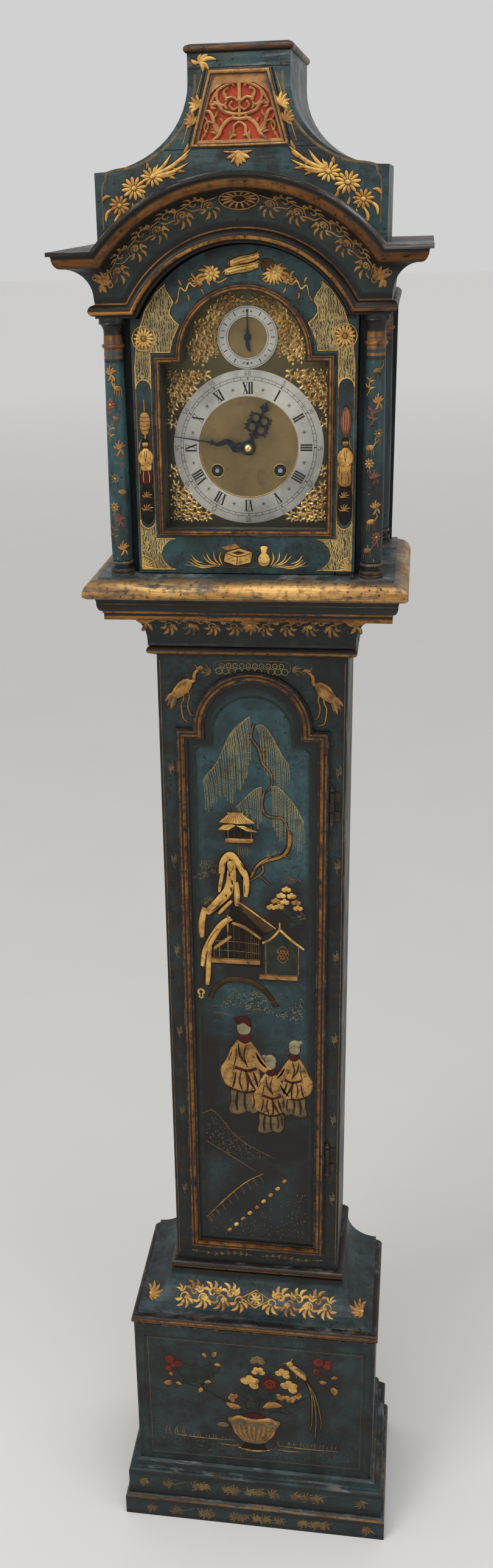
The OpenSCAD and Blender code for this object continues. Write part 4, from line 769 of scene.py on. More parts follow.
class Relief:
    """Domed strokes, leaves and patches drawn in millimetres on one surface, kept as one mesh."""

    def __init__(self, name, body, place, seed=1):
        self.name = name
        self.body = body
        self.place = place
        self.rng = random.Random(seed)
        self.points = []
        self.faces = []
        self.slots = []
        self.paints = []

    def paint(self, material):
        if material not in self.paints:
            self.paints.append(material)
        return self.paints.index(material)

    def grid(self, rows, slot, loop=False):
        """Faces between rows of (u, v, h) points; every row has the same count."""
        start = len(self.points)
        across = len(rows[0])
        for row in rows:
            self.points.extend(row)
        for i in range(len(rows) - 1):
            for j in range(across if loop else across - 1):
                k = (j + 1) % across
                a, b = start + i * across + j, start + i * across + k
                c, d = b + across, a + across
                self.faces.append((a, b, c, d))
                self.slots.append(slot)

    def stroke(self, line, width, material, height=None, taper=(0.2, 1.0, 0.1), halo=0.0, flat=0.0,
               steps=5, straight=False):
        """Ribbon with a rounded back; flat sets how much of its width is level."""
        path = list(line) if straight else smooth_line(line, steps)
        if halo > 0:
            self.stroke(line, width + 2 * halo, ink, 0.05, tuple(min(1.0, t + 0.35) for t in taper), 0,
                        0.9, steps, straight)
        height = width * 0.24 if height is None else height
        total = len(path) - 1
        rows = []
        shape = ((-1.0, 0.0), (-0.62 - 0.3 * flat, 0.72), (0.0, 1.0), (0.62 + 0.3 * flat, 0.72),
                 (1.0, 0.0))
        if flat >= 0.9:
            shape = ((-1.0, 0.0), (-0.93, 1.0), (0.93, 1.0), (1.0, 0.0))
        for i, (x, y) in enumerate(path):
            ahead = path[min(i + 1, total)]
            behind = path[max(i - 1, 0)]
            dx, dy = ahead[0] - behind[0], ahead[1] - behind[1]
            size = math.hypot(dx, dy) or 1.0
            nx, ny = dy / size, -dx / size
            t = i / total
            if t < 0.5:
                swell = taper[0] + (taper[1] - taper[0]) * math.sin(t * math.pi)
            else:
                swell = taper[2] + (taper[1] - taper[2]) * math.sin(t * math.pi)
            half = width / 2 * swell
            rise = height * (0.25 + 0.75 * min(1.0, swell))
            if flat >= 0.9:
                rise = height
            rows.append([(x - nx * k * half, y - ny * k * half, rise * h) for k, h in shape])
        self.grid(rows, self.paint(material))
        self.cap(rows[0], material)
        self.cap(rows[-1], material)

    def hoop(self, x, y, rx, ry, width, material, height, halo=0.0, flat=0.0, count=30):
        """Even stroke round a whole oval."""
        self.stroke(arc_line(x, y, rx, ry, 0, 360, count), width, material, height, EVEN, halo, flat,
                    straight=True)

    def fan(self, x, y, blades, width, material, bend=0.0, halo=0.0, side=1, height=None):
        """Leaves from one foot, each (angle, length), turned over for side -1."""
        for angle, length in blades:
            self.leaf(x, y, flip(angle, side), length, width, material, bend, height, halo)

    def cap(self, row, material):
        start = len(self.points)
        self.points.extend(row)
        self.faces.append(tuple(range(start, start + len(row))))
        self.slots.append(self.paint(material))

    def dash(self, x, y, degrees, length, width, material, height=0.25):
        """Small pointed stroke with a ridge, for leaves of willow, grass and stippling."""
        a = math.radians(degrees)
        dx, dy = math.cos(a), math.sin(a)
        start = len(self.points)
        for along, across, h in ((-0.5, 0, 0), (0, -0.5, 0), (0.5, 0, 0), (0, 0.5, 0), (0, 0, 1)):
            u = along * length * dx - across * width * dy
            v = along * length * dy + across * width * dx
            self.points.append((x + u, y + v, height * h))
        slot = self.paint(material)
        for i in range(4):
            self.faces.append((start + i, start + (i + 1) % 4, start + 4))
            self.slots.append(slot)

    def blob(self, x, y, rx, ry, material, height=None, tilt=0.0, halo=0.0, segments=12):
        """Low dome on an oval foot."""
        if halo > 0:
            self.blob(x, y, rx + halo, ry + halo, ink, 0.05, tilt, 0, segments)
        height = min(rx, ry) * 0.36 if height is None else height
        rows = []
        for r, h in ((1.0, 0.0), (0.9, 0.45), (0.68, 0.8), (0.36, 0.97), (0.02, 1.0)):
            row = []
            for i in range(segments):
                a = 2 * math.pi * i / segments
                u, v = turn((rx * r * math.cos(a), ry * r * math.sin(a)), tilt)
                row.append((x + u, y + v, height * h))
            rows.append(row)
        self.grid(rows, self.paint(material), True)

    def patch(self, outline, material, height=0.12, soft=True, round_off=0.0, halo=0.0):
        """Level field with a short slope down to the ground; round_off over 0 makes it a pillow."""
        ring = list(outline)
        if soft:
            ring = smooth_line(ring + [ring[0]], 4)[:-1]
        area = sum(a[0] * b[1] - b[0] * a[1] for a, b in zip(ring, ring[1:] + ring[:1]))
        if area < 0:
            ring.reverse()
        cx = sum(p[0] for p in ring) / len(ring)
        cy = sum(p[1] for p in ring) / len(ring)
        size = max(math.hypot(p[0] - cx, p[1] - cy) for p in ring)
        if halo > 0:
            big = 1 + halo / size
            self.patch([(cx + (x - cx) * big, cy + (y - cy) * big) for x, y in ring], ink, 0.05, False)
        if round_off > 0:
            levels = ((1.0, 0.0), (1 - round_off * 0.12, 0.55), (1 - round_off * 0.3, 0.85), (0.45, 1.0),
                      (0.02, 1.0))
        else:
            levels = ((1.0, 0.0), (1 - min(0.3, height * 0.8 / size), 1.0))
        rows = []
        for scale, rise in levels:
            rows.append([(cx + (x - cx) * scale, cy + (y - cy) * scale, height * rise) for x, y in ring])
        self.grid(rows, self.paint(material), True)
        if round_off <= 0:
            self.cap(rows[-1], material)

    def level(self, outline, material, height):
        """Level field of any outline, cut into triangles."""
        ring = list(outline)
        if sum(a[0] * b[1] - b[0] * a[1] for a, b in zip(ring, ring[1:] + ring[:1])) < 0:
            ring.reverse()
        start = len(self.points)
        for x, y in ring:
            self.points.append((x, y, height))
        for a, b, c in tessellate_polygon([[Vector((x, y, 0)) for x, y in ring]]):
            self.faces.append((start + a, start + b, start + c))
            self.slots.append(self.paint(material))

    def leaf(self, x, y, degrees, length, width, material, bend=0.0, height=None, halo=0.0, vein=False):
        """Pointed leaf from its foot outwards, bent sideways by a share of its length."""
        tip = polar(x, y, length, degrees)
        side = polar(0, 0, length * bend, degrees + 90)
        middle = ((x + tip[0]) / 2 + side[0], (y + tip[1]) / 2 + side[1])
        self.stroke([(x, y), middle, tip], width, material, height, (0.25, 1.0, 0.04), halo, steps=4)
        if vein:
            h = width * 0.26 if height is None else height * 1.05
            line = [(x, y), middle, (x * 0.25 + tip[0] * 0.75, y * 0.25 + tip[1] * 0.75)]
            self.stroke(line, width * 0.14, ink, h, (0.6, 1.0, 0.3), steps=3)

    def petals(self, x, y, rx, ry, count, material, inner=0.25, width=None, start=0.0, halo=0.0,
               heart=None):
        """Flower of separate petals in an oval."""
        for i in range(count):
            a = start + 360 * i / count
            foot = (x + rx * inner * math.cos(math.radians(a)),
                    y + ry * inner * math.sin(math.radians(a)))
            tip = (x + rx * math.cos(math.radians(a)), y + ry * math.sin(math.radians(a)))
            wide = (2 * math.pi * min(rx, ry) * 0.62 / count) if width is None else width
            mid = (foot[0] * 0.4 + tip[0] * 0.6, foot[1] * 0.4 + tip[1] * 0.6)
            self.stroke([foot, mid, tip], wide, material, min(0.38 * wide, 0.7), (0.3, 1.0, 0.35), halo,
                        steps=3)
        if heart is not None:
            self.blob(x, y, rx * inner * 0.9, ry * inner * 0.9, heart, min(rx, ry) * 0.14)

    def curl(self, x, y, r, start, sweep, width, material, halo=0.0, shrink=0.78, flat=0.0, height=None):
        """C scroll that winds in towards its middle."""
        line = []
        count = max(6, int(abs(sweep) / 32))
        for i in range(count + 1):
            t = i / count
            line.append(polar(x, y, r * (1 - shrink * t ** 0.9), start + sweep * t))
        self.stroke(line, width, material, height, (0.35, 1.0, 0.55), halo, flat, steps=3)
        if shrink > 0.6:
            self.blob(line[-1][0], line[-1][1], width * 0.5, width * 0.5, material)

    def sprig(self, line, size, material, count, width):
        """Curved stem with pairs of leaves along it and one at its tip."""
        path = smooth_line(line, 6)
        self.stroke(line, 0.9, material, None, (1.0, 0.8, 0.4))
        total = len(path) - 1
        for i in range(count):
            t = (i + 1) / (count + 0.4)
            k = min(total - 1, max(1, int(t * total)))
            dx, dy = path[k + 1][0] - path[k - 1][0], path[k + 1][1] - path[k - 1][1]
            along = math.degrees(math.atan2(dy, dx))
            share = 0.6 + 0.4 * math.sin(t * math.pi)
            for side in (1, -1):
                a = along + side * self.rng.uniform(34, 52)
                length = size * share * self.rng.uniform(0.85, 1.12)
                self.leaf(*path[k], a, length, length * width, material, -0.12 * side)
        dx, dy = path[-1][0] - path[-3][0], path[-1][1] - path[-3][1]
        end = math.degrees(math.atan2(dy, dx))
        self.leaf(*path[-1], end, size * 0.9, size * 0.9 * width, material)

    def make(self):
        """Builds the object and lets it ride on its body."""
        spots = [self.place(*p) for p in self.points]
        origin = Vector(self.place(0, 0, 0))
        along = Vector(self.place(1, 0, 0)) - origin
        up = Vector(self.place(0, 1, 0)) - origin
        out = Vector(self.place(0, 0, 1)) - origin
        faces = self.faces
        if along.cross(up).dot(out) < 0:
            faces = [tuple(reversed(f)) for f in faces]
        mesh = bpy.data.meshes.new(self.name)
        mesh.from_pydata([Vector(p) * MM for p in spots], [], faces)
        for material in self.paints:
            mesh.materials.append(material)
        mesh.polygons.foreach_set("material_index", self.slots)
        mesh.update()
        for face in mesh.polygons:
            face.use_smooth = True
        mesh.set_sharp_from_angle(angle=math.radians(50))
        obj = bpy.data.objects.new(self.name, mesh)
        bpy.context.collection.objects.link(obj)
        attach(obj, self.body)
        return obj


def front(y):
    """Places (x, z, rise) on an upright face that looks along -Y."""
    return lambda u, v, h: (u, y - h, v)


def side_face(x, sign):
    """Places (depth from y = 0, z, rise) on an upright side of the case."""
    return lambda u, v, h: (sign * (x + h), u, v)


def round_column(cx, cy, radius):
    """Places (distance round the shaft, z, rise) on a shaft whose radius is a function of z."""
    def place(u, v, h):
        r = radius(v)
        a = u / r
        return (cx + (r + h) * math.sin(a), cy - (r + h) * math.cos(a), v)
    return place


def hollow(face, cx, cz, rx, rz, start, end):
    """Places (x, share up the profile in mm, rise) on a hollow moulding along the front."""
    span = (rx + rz) / 2 * math.radians(abs(end - start))

    def place(u, v, h):
        a = math.radians(start + (end - start) * v / span)
        nx, nz = -math.cos(a), -math.sin(a)
        out = cx + rx * math.cos(a) + nx * h
        return (u, face - out, cz + rz * math.sin(a) + nz * h)
    return place


FRIEZE_HOLLOW = (24.84, FRIEZE_Z + 3, 24.44, 28.0)
ARCH_RADIUS = 139.0


def arch_hollow(u, v, h):
    """Places (distance round the arch, distance up the profile, rise) on the frieze over the arch."""
    depth, foot, wide, tall = FRIEZE_HOLLOW
    span = 26.2 * math.radians(90)
    a = math.radians(180 - 90 * v / span)
    out = depth + (wide - h) * math.cos(a)
    r = foot + (tall - h) * math.sin(a) - ARCH_SHIFT
    phi = u / ARCH_RADIUS
    return (r * math.sin(phi), CAP_Y - out, ARCH_Z + r * math.cos(phi))


straight_frieze = hollow(CAP_Y, *FRIEZE_HOLLOW, 180, 90)
throat_hollow = hollow(TRUNK_Y, 27.9, THROAT_Z + 4, 20.25, 31.0, 180, 90)
base_hollow = hollow(TRUNK_Y, 45.5, LOW_BEAD_Z - 4, 38.5, 34.0, 270, 180)


# Mouldings that follow a round-headed outline

# This moulding darkens towards the bottom, partly its own colour and partly painted shade; its grey bands
# are partly rubbed and partly painted sheen.
door_mould = aged("door_moulding", tone(22, 16, 12), tone(28, 26, 22), along=outline_depth(*DOOR_OUTLINE),
                  gilt=((3.4, 1.0, 0.75), (8.0, 1.9, 1.0)), rub_and_sheen=((1.4, 1.0, 0.6), (11.5, 0.8, 0.5)),
                  soot=0.5, gold=tone(150, 98, 42), deep=tone(98, 60, 26), worn=0.6, run=EVEN,
                  low_dark_and_shade=(380, 1000, 0.4))
sight_mould = aged("sight_moulding", tone(22, 16, 11), tone(26, 20, 15),
                   along=outline_depth(*SIGHT_OUTLINE), gilt=((2.0, 0.7, 0.6), (4.6, 1.2, 1.0)),
                   rub_and_sheen=((0.5, 0.5, 0.7),), soot=0.4, gold=tone(158, 106, 48), deep=tone(104, 64, 28),
                   worn=0.6, run=EVEN)
finish("trunk_door_moulding", door_mould)
finish("hood_door_moulding", sight_mould)
rounded("trunk_door_moulding", 60)
rounded("hood_door_moulding", 60)


# Dial: numerals, minute track and marks

# Radii and half heights of the marks in millimetres
NUMERAL_R = 57.2
NUMERAL_HALF = 5.5
STAR_R = 57.0
TRACK_R = (64.8, 67.6)
FIGURE_R = 71.0
FIGURE_HALF = 1.85
SMALL_TRACK_R = (20.2, 27.8)
MARK_RISE = 0.05


def mark_bar(r, x0, z0, x1, z1, width):
    r.stroke([(x0, z0), (x1, z1)], width, ink, MARK_RISE, EVEN, 0, 1.0, straight=True)


def mark_ring(r, z, radius, width, count):
    r.stroke(arc_line(0, z, radius, radius, 90, 450, count), width, ink, MARK_RISE, EVEN, 0, 1.0,
             straight=True)


def on_ring(angle, radius, across=0):
    """Point beside the radius at a clock angle, clockwise from twelve."""
    x, z = turn((across, radius), -angle)
    return (x, DIAL_Z + z)


def glyph(r, angle, radius, line, width, size):
    """Bar of a figure that stands upright on the ring; line is in half heights of the figure."""
    (x0, z0), (x1, z1) = line
    start = on_ring(angle, radius + z0 * size, x0 * size)
    end = on_ring(angle, radius + z1 * size, x1 * size)
    mark_bar(r, *start, *end, width)


def hour_numerals(r):
    """Roman hours with serif lines, and a star between each two."""
    thick, thin = 1.75, 0.55
    letters = {"I": (2.5, [((0, -1), (0, 1), thick)]),
               "V": (5.2, [((-0.36, 1), (0, -1), thick), ((0.36, 1), (0, -1), thin)]),
               "X": (5.4, [((-0.36, 1), (0.36, -1), thick), ((0.36, 1), (-0.36, -1), thin)])}
    names = ["XII", "I", "II", "III", "IIII", "V", "VI", "VII", "VIII", "IX", "X", "XI"]
    for hour, word in enumerate(names):
        angle = hour * 30
        reach = sum(letters[c][0] for c in word) / 2 / NUMERAL_HALF
        at = -reach
        for c in word:
            wide = letters[c][0] / NUMERAL_HALF
            shift = at + wide / 2
            for (x0, z0), (x1, z1), width in letters[c][1]:
                glyph(r, angle, NUMERAL_R, ((x0 + shift, z0), (x1 + shift, z1)), width, NUMERAL_HALF)
            at += wide
        for z in (-1, 1):
            glyph(r, angle, NUMERAL_R, ((-reach, z), (reach, z)), 0.5, NUMERAL_HALF)
        star = on_ring(angle + 15, STAR_R)
        for k in range(3):
            mark_bar(r, *polar(*star, 2.0, 60 * k), *polar(*star, 2.0, 60 * k + 180), 0.45)


def minute_track(r):
    for radius in TRACK_R:
        mark_ring(r, DIAL_Z, radius, 0.42, 90)
    for minute in range(60):
        inner, outer = [on_ring(minute * 6, radius) for radius in TRACK_R]
        mark_bar(r, *inner, *outer, 0.9 if minute % 5 == 0 else 0.42)


def minute_figures(r):
    """Figures 5 to 60 outside the track, each built of up to seven bars."""
    seven = {"0": "abcdef", "1": "bc", "2": "abged", "3": "abgcd", "4": "fgbc", "5": "afgcd",
             "6": "afgecd", "7": "abc", "8": "abcdefg", "9": "gfabcd"}
    ends = {"a": ((-1, 1), (1, 1)), "b": ((1, 1), (1, 0)), "c": ((1, 0), (1, -1)),
            "d": ((1, -1), (-1, -1)), "e": ((-1, -1), (-1, 0)), "f": ((-1, 0), (-1, 1)),
            "g": ((-1, 0), (1, 0))}
    for k in range(12):
        word = str(60 if k == 0 else 5 * k)
        for n, digit in enumerate(word):
            shift = (n - (len(word) - 1) / 2) * 1.75
            for bar in seven[digit]:
                (x0, z0), (x1, z1) = ends[bar]
                line = ((x0 * 0.45 + shift, z0), (x1 * 0.45 + shift, z1))
                glyph(r, 30 * k, FIGURE_R, line, 0.46, FIGURE_HALF)


def small_ring_marks(r):
    """Plain graduations of the small ring, in the place of its two settings."""
    for radius in SMALL_TRACK_R:
        mark_ring(r, SUB_Z, radius, 0.4, 60)
    for i in range(24):
        if i % 12 in (0, 1, 11):
            continue
        inner = polar(0, SUB_Z, 22.5, 90 + 15 * i)
        outer = polar(0, SUB_Z, 25.5 if i % 2 else 26.6, 90 + 15 * i)
        mark_bar(r, *inner, *outer, 0.55 if i % 2 else 0.9)
    for s in (1, -1):
        for a in (-9, 0, 9):
            x, z = polar(0, SUB_Z, 24, 90 * s + a)
            size = 0.8 if a else 1.3
            r.blob(x, z, size, size, ink, MARK_RISE, 0, 0, 8)


def dial_marks():
    r = Relief("dial_marks", "case", front(RING_Y), 3)
    hour_numerals(r)
    minute_track(r)
    minute_figures(r)
    small_ring_marks(r)
    r.make()


dial_marks()


# Winding holes: distance from the middle and depth under the dial's centre
WINDING_X = 31.4
WINDING_DROP = 22.5


def winding_rings():
    """Shadow and brass ring at each winding hole, and the fine ring round the matted centre."""
    r = Relief("winding_rings", "case", front(DIAL_Y), 4)
    for s in (-1, 1):
        x, z = s * WINDING_X, DIAL_Z - WINDING_DROP
        r.hoop(x, z, 4.1, 4.1, 3.6, void, 0.3, 0, 1.0, 40)
        r.hoop(x, z, 6.4, 6.4, 0.8, brass, 0.4, 0, 0, 40)
    r.hoop(0, DIAL_Z, 48.8, 48.8, 0.5, brass, 0.15, 0, 0, 90)
    r.make()


winding_rings()


def cast_fill(r, spots, size):
    """Crowd of cast scrolls, leaves and beads round the given places, mirrored left to right."""
    for i, (u, v, lean) in enumerate(spots):
        grow = size * (0.85 + 0.3 * ((i * 7) % 5) / 4)
        turn_by = 1 if i % 2 else -1
        for s in (-1, 1):
            a = flip(lean, s)
            way = turn_by * s
            r.curl(s * u, v, grow, a + 110 * way, -280 * way, grow * 0.62, cast_brass, shrink=0.66,
                   height=2.2)
            for off, far in ((-38, 1.8), (8, 2.1), (52, 1.7), (104, 1.3), (150, 1.2)):
                px, py = polar(s * u, v, grow * 0.6, a + off * s)
                r.leaf(px, py, a + off * s, grow * (far - 0.5), grow * 0.62, cast_brass, 0.2 * way,
                       1.4 + 0.6 * (off > 40))
            px, py = polar(s * u, v, grow * 1.15, a + 200 * s)
            r.blob(px, py, grow * 0.36, grow * 0.36, cast_brass, 2.0)


def spandrel_castings():
    r = Relief("spandrel_castings", "case", front(DIAL_Y), 5)
    for sign, low in ((1, DIAL_Z + 74.5), (-1, DIAL_Z - 73.0)):
        spots = []
        for row in range(8):
            for column in range(8):
                u = 75.6 - 7.8 * column - (3.6 if row % 2 else 0)
                v = -4.6 - 7.4 * row
                if math.hypot(u, 74.0 + v) > 79.6 and u > 12:
                    lean = math.degrees(math.atan2(v + 3, 77 - u)) * -0.5
                    spots.append((min(u, 75.6), low + sign * v,
                                  (200 + lean) if sign > 0 else (160 - lean)))
        cast_fill(r, spots, 4.3)
    spots = []
    for ring in range(4):
        radius = 34.6 + 7.0 * ring
        for k in range(13):
            a = -24 + 9.0 * k + 4.5 * (ring % 2)
            u = radius * math.cos(math.radians(a))
            v = SUB_Z + radius * math.sin(math.radians(a))
            inside = math.hypot(u, v - SIGHT_Z) < 55.5 and v > 1476.0
            if inside and u > 6 and math.hypot(u, v - DIAL_Z) > 79:
                spots.append((u, v, a + 90))
    cast_fill(r, spots, 4.1)
    obj = r.make()
    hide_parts("spandrels")


spandrel_castings()


# Hands

def hand_place(y, degrees):
    """Places (across, along the hand, rise) for a hand turned clockwise from twelve."""
    a = math.radians(degrees)
    return lambda u, v, h: (u * math.cos(a) + v * math.sin(a), y - h,
                            DIAL_Z + v * math.cos(a) - u * math.sin(a))


# Minutes past twelve that the hands show, and the depths at which they stand
SHOWN = 46.5
HOUR_Y = -28.4
MINUTE_Y = -31.0


def hour_hand():
    r = Relief("hour_hand_pierced", "hour_work", hand_place(HOUR_Y, SHOWN / 2), 6)
    rise = 0.95

    def bar(line, width, ends=EVEN):
        r.stroke(line, width * 1.25, blued, rise, ends, 0, 1.0)

    r.hoop(0, 0, 5.6, 5.6, 3.4, blued, rise, 0, 1.0, 40)
    for s in (-1, 1):
        bar([(s * 2.2, 6), (s * 0.6, 9.5), (s * 2.0, 12.5), (0, 16)], 2.0)
        r.leaf(s * 1.4, 11.5, 90 - s * 65, 4.2, 1.9, blued, 0, rise)
        for z, radius in ((20.2, 4.5), (29.4, 4.3)):
            x = s * (radius + 0.2)
            r.hoop(x, z, radius, radius, 2.0, blued, rise, 0, 1.0, 26)
            for lean, far in ((58, 3.6), (90, 3.2), (124, 3.4)):
                px, pz = polar(x, z, radius, 90 - s * lean)
                r.leaf(px, pz, 90 - s * lean, far, 1.9, blued, 0, rise)
    bar([(0, 14), (0, 24), (0, 38)], 1.7)
    r.blob(0, 39.6, 2.3, 2.8, blued, rise)
    for s in (-1, 1):
        r.leaf(s * 1.2, 38.4, 90 - s * 52, 5.2, 2.3, blued, 0.1 * s, rise)
        r.leaf(s * 1.0, 41.0, 90 - s * 40, 3.6, 1.8, blued, 0.1 * s, rise)
    r.stroke([(0, 38), (0, 43), (0, 48.4)], 3.2, blued, rise, (0.9, 0.7, 0.08), 0, 1.0)
    obj = r.make()
    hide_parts("hour_hand")


def minute_hand():
    r = Relief("minute_hand_wavy", "minute_work", hand_place(MINUTE_Y, SHOWN * 6), 7)
    rise = 0.95
    r.hoop(0, 0, 3.9, 3.9, 4.4, blued, rise, 0, 1.0, 36)
    r.stroke([(0, 5), (-3.4, 9.5), (-2.0, 14), (2.2, 17.5), (3.0, 22), (0.8, 27), (-1.0, 31), (0, 36)],
             5.4, blued, rise, (0.8, 1.0, 0.45), 0, 0.95)
    r.stroke([(3.0, 5.2), (3.6, 8.8), (0.8, 11.6), (-2.4, 11.6)], 3.2, blued, rise, (0.7, 0.9, 0.3), 0,
             0.9)
    r.curl(-3.6, 12.8, 2.7, 20, 250, 1.7, blued, flat=0.9, height=rise)
    r.curl(3.4, 20.6, 2.8, 200, 250, 1.7, blued, flat=0.9, height=rise)
    r.leaf(0.2, 33.5, 60, 5.2, 2.0, blued, 0.1, rise)
    r.leaf(-0.2, 33.5, 124, 5.2, 2.0, blued, -0.1, rise)
    r.stroke([(0, 34), (0, 40), (0, 54), (0, 73.6)], 2.2, blued, rise, (0.9, 0.6, 0.25), 0, 1.0)
    obj = r.make()
    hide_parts("minute_hand")


hour_hand()
minute_hand()


# Pierced sound panel

def sound_panel():
    r = Relief("sound_panel", "hood", front(FRET_Y), 8)
    rise = 2.3
    low, high = 39.8, 22.5
    tall = 55.0

    def bar(line, width, ends=EVEN):
        r.stroke([(x, FRET_Z + z) for x, z in line], width * 1.3, tan_gilt, rise, ends, 0, 0.7)

    def twin(line, width, ends=EVEN):
        bar(line, width, ends)
        bar([(-x, z) for x, z in line], width, ends)

    def rail(a, b, width, sink):
        r.stroke([(a[0], FRET_Z + a[1]), (b[0], FRET_Z + b[1])], width, tan_gilt, rise - sink, EVEN, 0,
                 1.0, straight=True)

    # Rails lie at slightly different heights, so that no two faces coincide where they cross
    rail((-low - 0.8, 1.0), (low + 0.8, 1.0), 3.6, 0.0)
    rail((-high - 1.0, tall - 3.4), (high + 1.0, tall - 3.4), 8.4, 0.0)
    head = [(-28.4, tall - 18), (-23.4, tall), (23.4, tall), (28.4, tall - 18)]
    head += [(22, tall - 12.4), (15, tall - 8.2), (7, tall - 6.2), (0, tall - 5.6), (-7, tall - 6.2),
             (-15, tall - 8.2), (-22, tall - 12.4)]
    r.level([(x, FRET_Z + z) for x, z in head], tan_gilt, rise - 0.3)
    for s in (-1, 1):
        rail((s * (low - 0.4), -0.4), (s * (high - 0.2), tall + 0.4), 3.2, 0.15)
    bar([(-26, 31), (-19, 42), (-9, 47), (0, 48.4), (9, 47), (19, 42), (26, 31)], 1.9)
    bar([(0, 49), (0, 42), (0, 34)], 3.0, (1.3, 0.8, 1.1))
    bar([(0, 36), (0, 28), (0, 20)], 2.0, (0.7, 1.0, 0.7))
    twin([(1, 33), (6, 36.5), (11.5, 36), (13.5, 41), (9.5, 44.5)], 2.0, (0.8, 1.0, 0.5))
    twin([(19, 42), (20, 36), (17, 31), (13, 30.5), (11, 34)], 2.0, (0.8, 1.0, 0.4))
    twin([(0, 23), (7, 23.5), (14.5, 26), (19, 31.5), (26, 30.5)], 2.2, (0.7, 1.1, 0.7))
    twin([(0, 29), (5, 26.5), (8.5, 30), (6.5, 33)], 1.8, (0.8, 1.0, 0.4))
    twin([(0, 19), (8, 19.5), (15, 14), (18.5, 7), (24, 2.5)], 2.5, (0.8, 1.1, 0.7))
    twin([(-0.2, 17), (5, 13.5), (5.5, 8), (9, 2.5)], 2.0, (0.8, 1.0, 0.8))
    twin([(18, 8), (22, 13), (23.5, 20), (26.5, 25.5), (31.5, 26)], 2.3, (0.9, 1.1, 0.7))
    twin([(23, 16), (28, 17.5), (31.5, 13), (30, 8.5)], 1.8, (0.8, 1.0, 0.4))
    twin([(31, 22), (28, 14), (34.5, 2)], 1.6, (0.9, 0.8, 0.9))
    for s in (-1, 1):
        for x, z, a, n in ((19, 7, 70, 11), (19, 7, 40, 8), (20, 7, 15, 7), (15, 15, 60, 6),
                           (9, 4, 90, 6), (11, 36, 50, 5), (19, 31, 20, 6), (6, 24, 250, 6),
                           (23, 20, 120, 7), (6, 48, 240, 4), (0, 20, 60, 5), (13, 31, 240, 5),
                           (23.5, 20, 60, 6), (34, 4, 120, 7), (26, 30, 200, 6)):
            r.leaf(s * x, FRET_Z + z, flip(a, s), n, 3.0, tan_gilt, 0.12 * s, rise)
        for x, z in ((10, 43.5), (11.5, 34.5), (7, 32.5), (30, 9.5), (4.5, 6)):
            r.blob(s * x, FRET_Z + z, 1.6, 1.6, tan_gilt, rise)
    obj = r.make()
    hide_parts("sound_fret")


sound_panel()


# Motifs used several times

def line(r, points, width, material, height, taper=(0.6, 1.0, 0.4), steps=5):
    """Level line lying at a given height, for marks on raised ground."""
    r.stroke(points, width, material, height, taper, 0, 1.0, steps)


def daisy(r, x, y, size, material, count=12, squash=0.85, halo=0.6, heart=None):
    r.petals(x, y, size, size * squash, count, material, 0.26, None, 8, halo, heart or bright_gilt)


def peony(r, x, y, size, outer, inner, halo=0.7):
    for ring, (n, far, wide) in enumerate(((9, 0.7, 0.36), (7, 0.42, 0.28), (4, 0.17, 0.2))):
        for i in range(n):
            a = 360 * i / n + 23 * ring
            px, py = polar(x, y, size * far, a)
            r.blob(px, py, size * wide, size * wide * 0.7, outer if ring == 0 else inner,
                   size * (0.1 + 0.06 * ring), a + 90, halo if ring == 0 else 0)


def speckle(r, outline, count, size, material, height=0.25):
    """Short strokes scattered within an outline."""
    xs = [p[0] for p in outline]
    ys = [p[1] for p in outline]
    placed = 0
    for _ in range(count * 12):
        x, y = r.rng.uniform(min(xs), max(xs)), r.rng.uniform(min(ys), max(ys))
        inside = False
        for (ax, ay), (bx, by) in zip(outline, outline[1:] + outline[:1]):
            if (ay > y) != (by > y) and x < (bx - ax) * (y - ay) / (by - ay) + ax:
                inside = not inside
        if inside:
            r.dash(x, y, r.rng.uniform(0, 180), size * r.rng.uniform(0.6, 1.3), size * 0.42, material,
                   height)
            placed += 1
        if placed >= count:
            return


# Cap

def cap_half(z):
    """Half width of the cap at a height."""
    if z <= CAP_CURVE_Z:
        return CAP_HALF
    if z >= NECK_Z:
        return NECK_HALF
    rise = (NECK_Z - z) / (NECK_Z - CAP_CURVE_Z)
    return CAP_HALF - (CAP_HALF - NECK_HALF) * math.sqrt(1 - rise ** 2)


